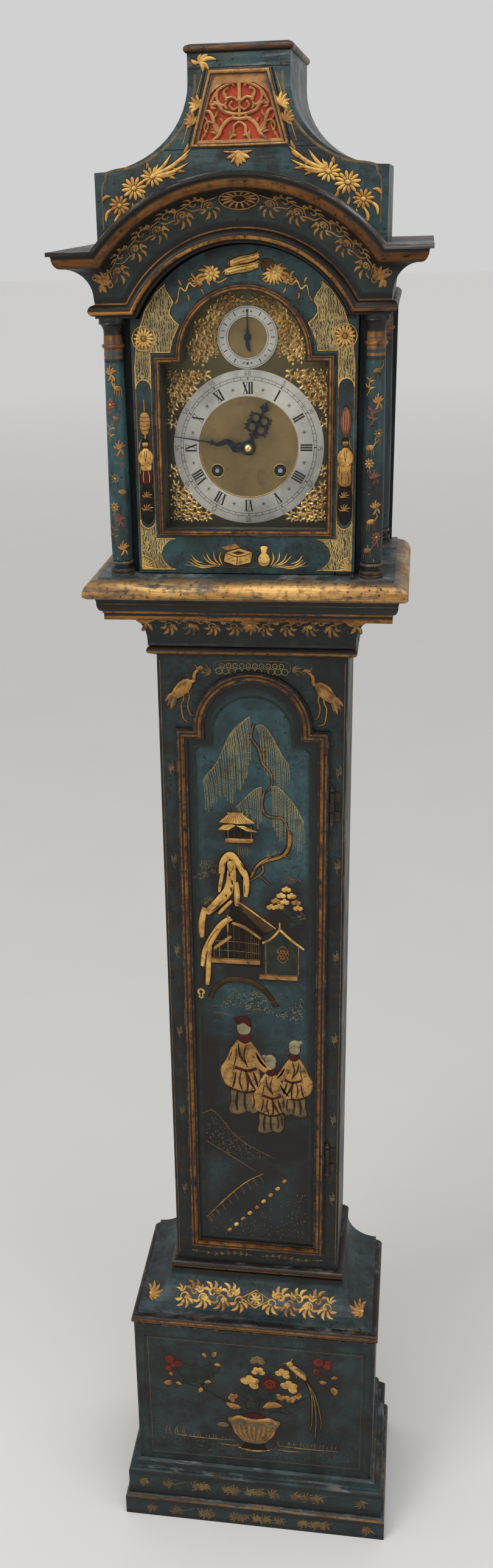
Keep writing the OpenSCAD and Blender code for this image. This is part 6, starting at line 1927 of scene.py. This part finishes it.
def willow(r):
    """Weeping willow in two crowns."""
    crowns = (([(-2, 1112), (-13, 1103), (-21, 1095), (-28, 1082), (-39, 1057), (-50, 1043), (-55, 1035)],
               [(-1, 1066), (-7, 1038), (-15, 1026), (-25, 1006), (-36, 1018), (-44, 1006), (-53, 995)],
               27), ([(-2, 1112), (-12, 1102), (-20, 1094), (-26, 1084)],
                     [(0, 1090), (-8, 1070), (-18, 1062), (-28, 1056)], 9),
              ([(4, 1100), (10, 1102), (17, 1096), (25, 1082), (32, 1068), (40, 1056)],
               [(8, 1076), (13, 1050), (20, 1036), (28, 1030), (35, 1028), (42, 1030)], 17),
              ([(10, 1030), (4, 1028), (-4, 1021), (-12, 1012), (-19, 1005)],
               [(10, 986), (5, 984), (-2, 992), (-9, 994), (-16, 996)], 14),
              ([(20, 1031), (27, 1031), (35, 1023), (45, 1011), (52, 998), (56, 990)],
               [(21, 986), (28, 968), (36, 964), (44, 958), (50, 952), (57, 962)], 20))
    for branch, hem, count in crowns:
        curtain(r, branch, hem, count, olive_gilt)
    for path, width in (([(2, 1104), (-1, 1088), (7, 1074), (11, 1058), (19, 1048), (21, 1034),
                          (14, 1024)], 2.0), ([(13, 1026), (10, 1010), (14, 998), (24, 994), (32, 994),
                                               (37, 986), (40, 974)], 2.6),
                        ([(40, 978), (40, 962), (34, 950), (24, 945), (14, 942), (4, 934), (-3, 920)],
                         4.6), ([(10, 936), (11, 929), (5, 922), (-4, 916)], 2.4),
                        ([(6, 923), (12, 918), (19, 912)], 1.6), ([(26, 946), (34, 948), (42, 945)], 1.8),
                        ([(11, 1070), (16, 1078)], 1.4)):
        r.stroke(path, width, soft_gilt if width > 4 else faded_gilt, None, (0.8, 1.0, 0.3), 1.2, 0.2)
    line(r, [(38, 962), (31, 950), (14, 943), (0, 928)], 0.6, ink, 1.5)


def pavilion(r):
    """Pavilion on its perch."""
    r.level([(-31, 968), (-31, 984), (0, 984), (0, 968)], black_paint, 0.5)
    for x in (-28, -21, -14, -8, -2):
        r.stroke([(x, 968), (x, 983)], 1.3, soft_gilt if x in (-28, -2) else wall_brown, 0.9, EVEN)
    for shape in (((-27, 997.5), (-11.5, 997.5), (2.5, 987), (-18, 985.6), (-38, 987)),
                  ((-33, 983.5), (-24, 985), (-19, 983.6), (-27, 977.6), (-39.6, 977.6)),
                  ((-19, 983.6), (-10, 983.5), (5, 976.4), (-7, 977.4))):
        r.patch(shape, bright_gilt, 1.4, False, halo=1.3)
    for k in range(9):
        line(r, [(-25.4 + 1.6 * k, 996.6), (-29 + 2.6 * k, 991), (-35 + 4.1 * k, 987.2)], 0.5, ink, 1.46,
             EVEN, 3)
    line(r, [(-24, 984), (-33, 979)], 0.5, ink, 1.46)
    line(r, [(-10, 982), (2, 977.4)], 0.5, ink, 1.46)
    fat(r, [(-28, 998), (-10.5, 998)], 2.2, soft_gilt, 1.9, EVEN, 0.6)
    r.stroke([(-23, 998), (-25, 1007)], 1.0, black_paint, 0.6, (1, 0.6, 0.2))
    fat(r, [(-31, 965), (0, 965)], 5.6, soft_gilt, 1.5, EVEN, 1.0)
    for k in range(5):
        r.stroke([(-17 + 2.6 * k, 958), (-16 + 2.4 * k, 944 + 3 * (k % 2))], 1.0, faded_gilt, 0.4,
                 (1, 1, 0.3))


def tall_rock(r):
    """Rock of tall folds on a dark ground."""
    for path, width in (([(-36, 924), (-34, 938), (-26, 947), (-18, 938), (-10, 924), (-8, 918)], 8.5),
                        ([(-35, 926), (-37, 914), (-39, 901)], 4.4),
                        ([(-9, 926), (-8, 912), (-9, 896)], 7.0),
                        ([(-25, 940), (-25, 918), (-29, 902), (-40, 888), (-54, 873)], 11.5),
                        ([(-20, 914), (-19, 898), (-19, 884)], 7.0),
                        ([(-25, 890), (-34, 880), (-40, 873)], 4.5),
                        ([(-26, 868), (-38, 858), (-50, 838), (-57, 822), (-60, 804)], 8.0),
                        ([(-56, 880), (-60, 860), (-60, 842)], 7.5),
                        ([(-51, 832), (-53, 812), (-54, 792), (-55, 780)], 6.4)):
        fat(r, path, width, bright_gilt, 1.7, (0.75, 1.0, 0.6), 1.8)
    for x, z, n in ((-27, 923, 3.0), (-24, 914, 4.4), (-25, 905, 3.4), (-31, 897, 2.4)):
        r.blob(x, z, 1.3, n, ink, 2.3, 8)
    for path in ([(-31, 934), (-26, 926), (-22, 934)], [(-22, 910), (-23, 900), (-28, 892)],
                 [(-34, 892), (-44, 880)], [(-41, 855), (-50, 842), (-55, 830)],
                 [(-54, 826), (-57, 806), (-58, 786)], [(-10, 912), (-10, 900)], [(-29, 940), (-33, 934)],
                 [(-14, 938), (-9, 930)], [(-38, 884), (-48, 876)]):
        line(r, path, 0.8, ink, 1.72, (0.3, 1, 0.3))
    for x, z, n in ((-41, 929, 16), (-52, 888, 20), (-60, 920, 18), (42, 920, 22), (22, 950, 16),
                    (50, 874, 14), (-54, 935, 14)):
        speckle(r, [(x - 9, z - 4), (x - 5, z + 4), (x + 6, z + 5), (x + 11, z - 2), (x + 2, z - 6)],
                n * 2, 2.6, faded_gilt, 0.14)


def pine(r):
    """Pine of rounded tufts over a dark mass."""
    for x, z in ((37, 908), (31, 900), (43, 900), (25, 893), (35, 892), (48, 892), (20, 885), (29, 886),
                 (50, 885)):
        lobes(r, x, z - 3, 6.2, 3, 30, 120, bright_gilt if (x + z) % 2 else soft_gilt)
    for x, z in ((40, 876), (46, 870), (36, 880), (44, 862), (52, 866)):
        r.blob(x, z, 4.6, 3.8, leaf_dark, 0.7, 20, 0.7)


def long_house(r):
    """Long house: dark walls, gilt edges."""
    r.level([(-50, 820), (-30, 862), (-26, 884), (-14, 890), (26, 858), (10, 846), (10, 806), (-50, 808)],
            wall_dark, 0.16)
    r.patch([(-17, 887), (-13, 879), (11, 851), (18, 852), (26, 858), (-14, 890)], wall_brown, 0.5, False)
    for k in range(20):
        t = k / 19
        line(r, [(-15 + 37 * t, 886 - 29 * t), (-17 + 30 * t, 880 - 27 * t)], 0.4, faded_gilt, 0.62,
             (1, 1, 0.5))
    for path, width in (([(-17, 889), (2, 875), (25, 857)], 2.2),
                        ([(-25, 862), (-11, 857), (8, 843)], 4.0),
                        ([(-46, 828), (-34, 838), (-26, 845)], 4.2), ([(-30, 872), (-30, 850)], 2.6)):
        r.stroke(path, width, soft_gilt if width > 2.5 else bright_gilt, 1.4, (0.8, 1, 0.6), 1.0, 0.5)
    for x, top in ((-46, 830), (-40, 838), (-30, 856), (-23, 860), (-17, 858), (-9, 853), (-3, 850),
                   (7, 843)):
        r.stroke([(x, 817), (x, top)], 1.4, wall_brown if x % 2 else faded_gilt, 0.7, EVEN, 0.3)
    for k in range(7):
        r.stroke([(-9 + 2.4 * k, 817), (-9 + 2.4 * k, 850 - 1.4 * k)], 0.6, faded_gilt, 0.5, (1, 1, 0.6))
    for z in (826, 838):
        r.stroke([(-44, z), (-24, z), (6, z - 2)], 0.8, faded_gilt, 0.55, EVEN)
    for x0, x1, z in ((-50, 7, 812.5), (6, 50, 794)):
        r.stroke([(x0, z), (x1, z)], 7.0, soft_gilt, 1.3, EVEN, 1.0, 0.9, straight=True)
        for k in range(int((x1 - x0) / 3)):
            r.curl(x0 + 2 + 3 * k, z, 1.2, 90 * (k % 4), 220, 0.5, ink, 0.8, height=1.42)
        for v in (-2.9, 2.9):
            line(r, [(x0, z + v), (x1, z + v)], 0.6, ink, 1.38, EVEN)


def kiosk(r):
    """Kiosk with a latticed oval window."""
    r.level([(12, 798), (12, 842), (30, 857), (52, 838), (52, 798)], leaf_dark, 0.3)
    for x, top in ((13.5, 840), (20, 846), (45, 842), (51, 838)):
        r.stroke([(x, 798), (x, top)], 2.0, wall_brown if 14 < x < 50 else faded_gilt, 0.8, EVEN, 0.3)
    r.blob(33, 824, 6.4, 10.4, wall_brown, 0.6, 0, 0.5)
    r.hoop(33, 824, 6.4, 10.4, 1.4, faded_gilt, 1.0, 0.5, 0, 28)
    for k in (-1, 0, 1):
        for way in (-1, 1):
            line(r, [(33 + 3.6 * k - 3, 824 - 6 * way), (33 + 3.6 * k + 3, 824 + 6 * way)], 0.7,
                 soft_gilt, 0.9, EVEN)
    fat(r, [(10, 838), (20, 844), (29.5, 856)], 3.0, bright_gilt, 1.9, (0.9, 1, 1), 1.2)
    fat(r, [(29.5, 856), (42, 844), (57, 832)], 3.0, bright_gilt, 1.9, (1, 1, 0.8), 1.2)
    fat(r, [(29.5, 855), (29.5, 865)], 2.2, bright_gilt, 1.9, (1, 1, 0.7), 0.8)


def bank_and_water(r):
    """Arched bank with a paved edge and scrolling water."""
    bank = [(-52, 762), (-44, 778), (-28, 788), (-8, 787), (8, 779), (18, 768), (26, 754)]
    r.stroke(bank, 6.0, wall_brown, 0.5, (0.6, 1, 0.5), 0.8, 0.8)
    for k in range(25):
        x, z = along_line(smooth_line(bank, 5), (k + 0.5) / 25)
        r.dash(x, z, 90 - x * 0.9, 4.6, 0.7, faded_gilt, 0.62)
    for k in range(26):
        u = r.rng.uniform(-46, 40)
        v = r.rng.uniform(738, 770) - 0.006 * u * u
        r.stroke(arc_line(u, v, 5.5, 3.2, 160, 20, 6), 0.5, faded_gilt, 0.16, (0.4, 1, 0.4),
                 straight=True)
    speckle(r, [(-40, 752), (-30, 776), (4, 774), (30, 744), (56, 770), (58, 730), (10, 748)], 190, 2.2,
            olive_gilt, 0.14)


def three_figures(r):
    """Three figures."""
    robed(r, -12, 606, 130, -1, robe_gilt, dark_red)
    robed(r, 46, 606, 102, 1, robe_gilt, grey_paint)
    robed(r, 19, 580, 106, -1, robe_gilt, grey_paint)
    r.stroke([(-3, 632), (6, 628), (16, 631)], 1.6, grey_paint, 1.4, EVEN, 0.5)


def bridge_and_stones(r):
    """Hills, bridge and stepping stones."""
    for path in ([(-64, 600), (-50, 604), (-26, 572), (-6, 556), (24, 540)],
                 [(-60, 560), (-30, 540), (0, 520)]):
        r.stroke(path, 1.0, faded_gilt, 0.25, (0.6, 1, 0.2))
    speckle(r, [(-60, 596), (-46, 598), (-10, 560), (24, 540), (-20, 536), (-62, 560)], 120, 2.6,
            faded_gilt, 0.12)
    bridge = [(-62, 446), (-57, 452), (-36, 478), (-12, 503), (9, 517)]
    r.stroke(bridge, 1.8, soft_gilt, 0.9, (0.6, 1, 0.4), 0.6)
    for x, z in smooth_line(bridge, 3)[1:-1]:
        r.stroke([(x, z), (x + 6, z - 11)], 1.0, faded_gilt, 0.4, (1, 1, 0.4))
    for k in range(9):
        t = k / 8
        r.blob(35 - 69 * t, 508 - 80 * t ** 0.92, 3.6, 2.6, bright_gilt if k % 2 else soft_gilt, 1.3, 40,
               0.9)
    speckle(r, [(-60, 420), (-60, 440), (-20, 450), (30, 470), (62, 500), (62, 420)], 130, 2.4,
            faded_gilt, 0.12)


def trunk_door_painting():
    r = Relief("trunk_door_painting", "trunk_door", front(DOOR_Y), 41)
    door_border(r)
    willow(r)
    pavilion(r)
    tall_rock(r)
    pine(r)
    long_house(r)
    kiosk(r)
    bank_and_water(r)
    three_figures(r)
    bridge_and_stones(r)
    r.make()


trunk_door_painting()


# Base

def base_hollow_painting():
    r = Relief("base_hollow_painting", "case", base_hollow, 42)
    middle = 27
    r.stroke([(-18, middle), (0, middle + 11), (18, middle), (0, middle - 11), (-18, middle)], 2.0,
             bright_gilt, 1.0, EVEN, 0.5, straight=True)
    r.hoop(0, middle, 9.5, 7.0, 1.4, bright_gilt, 0.9, 0.4, 0, 26)
    for a in (45, 135, 225, 315, 0, 90, 180, 270):
        r.leaf(0, middle, a, 9 if a % 90 else 7, 3.0, bright_gilt, 0, None, 0.4)
    running_leaves(r, 106, middle, 11.6, 10.2, (bright_gilt, bright_gilt, soft_gilt), 14)
    for s in (-1, 1):
        r.fan(s * 134, 24, ((160, 17), (130, 16), (100, 16), (190, 14), (70, 13), (215, 12), (250, 10)),
              4.4, soft_gilt, 0.12 * s, 0.5, s)
        r.blob(s * 134, 24, 2.4, 2.0, bright_gilt, 1.1)
    r.make()


base_hollow_painting()


def gadrooned_bowl(r):
    """Gadrooned bowl on its foot."""
    r.patch([(-17, 116), (-10, 128), (10, 128), (17, 116)], black_paint, 1.0, False, halo=1.4)
    r.stroke([(-21, 117), (0, 113), (21, 117)], 2.0, soft_gilt, 1.2, (0.7, 1, 0.7), 0.8)
    r.patch([(-30, 168), (-30, 156), (-24, 140), (-12, 128), (12, 128), (24, 140), (30, 156), (30, 168)],
            faded_gilt, 1.4, True, halo=2.2)
    for k in range(-4, 5):
        x = 6.6 * k
        r.stroke([(x * 0.45, 129), (x * 0.9, 143), (x, 156)], 5.0 - 0.3 * abs(k), soft_gilt, 2.4,
                 (0.4, 1.0, 0.8), 0, 0.3)
        r.leaf(x * 0.96, 146, 90 - k, 10, 2.2, ink, 0, 2.3)
    fat(r, [(-29, 164), (-20, 169), (0, 166), (20, 169), (29, 164)], 5.4, soft_gilt, 2.6, (0.8, 1, 0.8),
        1.0)
    r.patch([(-16, 172), (0, 178), (16, 172), (0, 168.6)], dark_red, 1.0, True, halo=0.8)
    r.blob(-41, 153, 8, 4.4, faded_gilt, 0.8, 0, 0.8)


def plinth_flowers(r):
    """Stems, leaves and flowers."""
    for stem in ([(2, 172), (8, 196), (20, 226)], [(-4, 172), (-10, 190), (-4, 222)],
                 [(-8, 172), (-40, 196), (-72, 214)], [(10, 172), (34, 190), (46, 210)],
                 [(-60, 206), (-76, 226), (-104, 240)], [(30, 184), (70, 214), (92, 232)],
                 [(-72, 214), (-92, 218), (-108, 218)], [(-66, 214), (-58, 240), (-56, 258)]):
        r.stroke(stem, 1.4, leaf_dark, None, (1, 0.8, 0.4), 0.5)
    for x, z, a, n in ((-26, 186, 165, 22), (24, 189, 12, 26), (-14, 182, 140, 14), (12, 184, 60, 14),
                       (-30, 192, 130, 12), (40, 186, -20, 14)):
        r.leaf(x - 0.5 * n * math.cos(math.radians(a)), z, a, n, n * 0.42,
               soft_gilt if n > 15 else leaf_dark, 0.12, None, 1.0, True)
    for x, z, n, a in ((-5, 228, 13, 60), (6, 247, 9, 90), (37, 247, 10, 70), (45, 226, 12, 60),
                       (35, 210, 7, 250), (47, 209, 8, 270), (56, 214, 6, 320), (-26, 200, 8, 150)):
        lobes(r, x, z, n, 4, a - 95, 190, bright_gilt if n > 8 else soft_gilt, 1.2)
    peony(r, 21, 230, 13, dark_red, red_paint)
    lobes(r, 5, 264, 10, 5, 0, 180, faded_gilt, 0.7)
    for x, z, n in ((-88, 240, 11), (-74, 238, 13), (-60, 240, 11), (-82, 228, 10), (-66, 228, 10),
                    (-52, 246, 9), (0, 206, 10), (12, 212, 9), (-12, 214, 9), (24, 206, 8), (-4, 192, 8)):
        lobes(r, x, z, n, 5, 20, 300, leaf_dark, 0.8)
    for side, x0, z0 in ((-1, -106, 249), (1, 84, 266)):
        for u, v, n in ((-2, 6, 7.0), (9, 0, 5.6), (-4, -9, 5.0),
                        (10, 7, 4.4) if side > 0 else (3, -3, 4.4)):
            r.blob(x0 + u, z0 + v, n, n * 0.94, red_paint, n * 0.32, 0, 0.9)
            r.dash(x0 + u - n * 0.2, z0 + v + n * 0.2, 60, n * 0.5, 0.8, RED_SPRAY, n * 0.34)
    for x, z, a, n in ((-110, 219, 200, 12), (-98, 217, -20, 8), (-106, 228, 100, 7), (-62, 264, 120, 8),
                       (-50, 265, 60, 10), (-47, 253, -10, 8), (-69, 213, 250, 9), (-60, 222, 10, 9),
                       (89, 240, 170, 9), (101, 233, 290, 13), (102, 247, 20, 8)):
        r.leaf(x - 0.4 * n * math.cos(math.radians(a)), z, a, n, n * 0.7, soft_gilt, 0.1, None, 0.9, True)


def long_tailed_bird(r):
    """Bird with a long tail."""
    r.stroke([(46, 262), (52, 258), (60, 250), (66, 242)], 9.0, bright_gilt, 2.0, (0.6, 1.0, 0.4), 0.9)
    r.blob(46, 265, 4.6, 4.4, bright_gilt, 1.9, 0, 0.9)
    r.stroke([(43, 266), (36, 264.5)], 2.0, soft_gilt, None, (1, 0.7, 0.1), 0.4)
    r.stroke([(47, 269), (50, 275)], 1.5, bright_gilt, None, (1, 0.8, 0.1), 0.4)
    r.stroke([(52, 260), (60, 256), (68, 248)], 4.0, faded_gilt, 2.5, (0.6, 1, 0.1), 0.2)
    for dx, w in ((0, 4.2), (6, 3.2), (-5, 2.6)):
        r.stroke([(66, 242), (76 + dx * 0.4, 218), (80 + dx, 180), (79 + dx * 1.2, 138 + abs(dx) * 3)], w,
                 leaf_dark, 1.0, (0.5, 1, 0.2), 0.9)
        line(r, [(67, 240), (76 + dx * 0.4, 217), (80 + dx, 180), (79 + dx * 1.2, 144 + abs(dx) * 3)],
             0.7, soft_gilt, 1.05)
    r.dash(45, 266, 0, 1.2, 1.0, ink, 2.0)
    for x in (54, 58):
        r.stroke([(x, 250), (x + 1, 243)], 0.9, soft_gilt, None, (1, 1, 0.5), 0.3)


def ground_lines(r):
    """Ground lines with grasses."""
    for a, b, z in ((-104, -26, 128), (-44, -20, 120), (30, 108, 126), (30, 60, 119)):
        r.stroke([(a, z), ((a + b) / 2, z - 1.2), (b, z)], 1.1, soft_gilt, 0.35, (0.3, 1, 0.3))
    for k in range(44):
        x = -114 + 5.1 * k + r.rng.uniform(-2, 2)
        if abs(x) > 30:
            tall = r.rng.uniform(5, 9) + (9 if x < -84 else 0)
            r.leaf(x, 127, r.rng.uniform(78, 100), tall, 1.1, faded_gilt, 0.1)
    speckle(r, [(-124, 104), (-124, 124), (124, 124), (124, 104)], 150, 2.4, faded_gilt, 0.12)


def plinth_painting():
    r = Relief("plinth_painting", "case", front(PLINTH_Y), 43)
    ring = [(-139, 292), (140, 292), (140, 96), (-138, 92), (-139, 292)]
    r.stroke(ring, 3.2, leaf_dark, 0.12, EVEN, 0, 1.0, straight=True)
    r.stroke([(x * 0.975, 192 + (z - 192) * 0.965) for x, z in ring], 0.6, faded_gilt, 0.16, EVEN,
             straight=True)
    gadrooned_bowl(r)
    plinth_flowers(r)
    long_tailed_bird(r)
    ground_lines(r)
    r.make()


plinth_painting()


def skirt_painting():
    for name, y, low, seed in (("skirt_painting", SKIRT_Y, 16, 44),
                               ("upper_skirt_painting", UPPER_SKIRT_Y, 57, 45)):
        r = Relief(name, "case", front(y), seed)
        for k, x in enumerate((-146, -112, -76, -66, -34, -24, -4, 8, 26, 56, 72, 84, 140)):
            x += 9 if low < 20 else 0
            for a in range(-60, 250, 34):
                r.leaf(x, low - 3, a + 9 * (k % 3), r.rng.uniform(6, 12), 2.6, faded_gilt, 0.2, None, 0.2)
            if k % 3 == 1:
                r.stroke([(x - 8, low + 3), (x, low - 4), (x + 16, low), (x + 24, low + 4)], 1.1,
                         faded_gilt, None, (0.3, 1, 0.3))
        r.make()


skirt_painting()


def side_lines():
    """Faded border lines on both sides of the trunk and the plinth."""
    for x, y0, y1, z0, z1 in ((TRUNK_HALF, -6, 96, 392, 1166), (PLINTH_HALF, -54, 98, 94, 296)):
        for sign in (-1, 1):
            r = Relief(f"side_border_{z0}_{'left' if sign < 0 else 'right'}", "case", side_face(x, sign),
                       50)
            frame_line = [(y0, z0), (y1, z0), (y1, z1), (y0, z1), (y0, z0)]
            r.stroke(frame_line, 1.2, faded_gilt, 0.16, EVEN, straight=True)
            r.make()


side_lines()

for name, width in (("plinth_boards", 1.6), ("cap_front", 1.0), ("cap_shell", 1.0), ("trunk_front", 0.8)):
    soften(name, width)


# Stage, light and camera

def area_light(name, place, aim, size, power, colour=EVEN):
    data = bpy.data.lights.new(name, "AREA")
    data.shape = "RECTANGLE"
    data.size, data.size_y = size
    data.energy = power
    data.color = colour
    lamp = bpy.data.objects.new(name, data)
    bpy.context.collection.objects.link(lamp)
    lamp.location = place
    lamp.rotation_euler = (Vector(aim) - Vector(place)).to_track_quat("-Z", "Y").to_euler()
    return lamp


FLOOR = 30.0
floor_mesh = bpy.data.meshes.new("floor")
floor_mesh.from_pydata([(-FLOOR, -FLOOR, 0), (FLOOR, -FLOOR, 0), (FLOOR, FLOOR, 0), (-FLOOR, FLOOR, 0)],
                       [], [(0, 1, 2, 3)])
floor = bpy.data.objects.new("floor", floor_mesh)
floor_shade = Shade("pale_floor")
floor_tone = floor_shade.blend(floor_shade.noise(3.0, 3.0), tone(206, 205, 202), tone(212, 211, 209))
distance = floor_shade.far(floor_shade.axis("X"), floor_shade.axis("Y"))
floor_tone = floor_shade.blend(floor_shade.band(distance, 1.5, 12.0), floor_tone, tone(250, 249, 248))
floor_mesh.materials.append(floor_shade.done(floor_tone, 0.9, level=0.1))
bpy.context.collection.objects.link(floor)

world = bpy.data.worlds.new("studio")
world.use_nodes = True
world.node_tree.nodes["Background"].inputs["Color"].default_value = (0.75, 0.75, 0.75, 1)
world.node_tree.nodes["Background"].inputs["Strength"].default_value = 0.85
bpy.context.scene.world = world

area_light("key_left", (-1.9, -2.6, 2.9), (0, 0, 1.0), (1.6, 1.6), 60, (1.0, 0.97, 0.93))
area_light("top", (0.1, -0.9, 3.3), (0, 0, 0.9), (1.8, 1.2), 34, (0.97, 0.98, 1.0))
area_light("fill_right", (2.4, -1.6, 1.6), (0, 0, 0.8), (1.4, 2.2), 14, (1.0, 0.97, 0.92))

scene = bpy.context.scene
scene.view_settings.view_transform = "Standard"

# Angles in radians; focal length and centre in pixels of the photo
YAW, PITCH, ROLL = 0.165054, -0.401414, -0.029485
FOCAL_PX, CENTRE_X, CENTRE_Y = 2388.707, 299.923, 1329.502
PHOTO_W, PHOTO_H = 810, 2576
CAMERA_AT = (0.1654, -1.4806, 1.6301)
SENSOR = 36
ahead = Vector((-math.sin(YAW) * math.cos(PITCH), math.cos(YAW) * math.cos(PITCH), math.sin(PITCH)))
level = Vector((math.cos(YAW), math.sin(YAW), 0))
lift = level.cross(ahead)
right = level * math.cos(ROLL) + lift * math.sin(ROLL)
upward = -level * math.sin(ROLL) + lift * math.cos(ROLL)
camera_data = bpy.data.cameras.new("camera")
camera_data.sensor_width = SENSOR
camera_data.lens = FOCAL_PX * SENSOR / PHOTO_H
camera_data.shift_x = (PHOTO_W / 2 - CENTRE_X) / PHOTO_H
camera_data.shift_y = (CENTRE_Y - PHOTO_H / 2) / PHOTO_H
camera_data.clip_start = 0.02
camera = bpy.data.objects.new("camera", camera_data)
bpy.context.collection.objects.link(camera)
turned = Matrix((right, upward, -ahead)).transposed().to_4x4()
turned.translation = Vector(CAMERA_AT)
camera.matrix_world = turned
scene.camera = camera
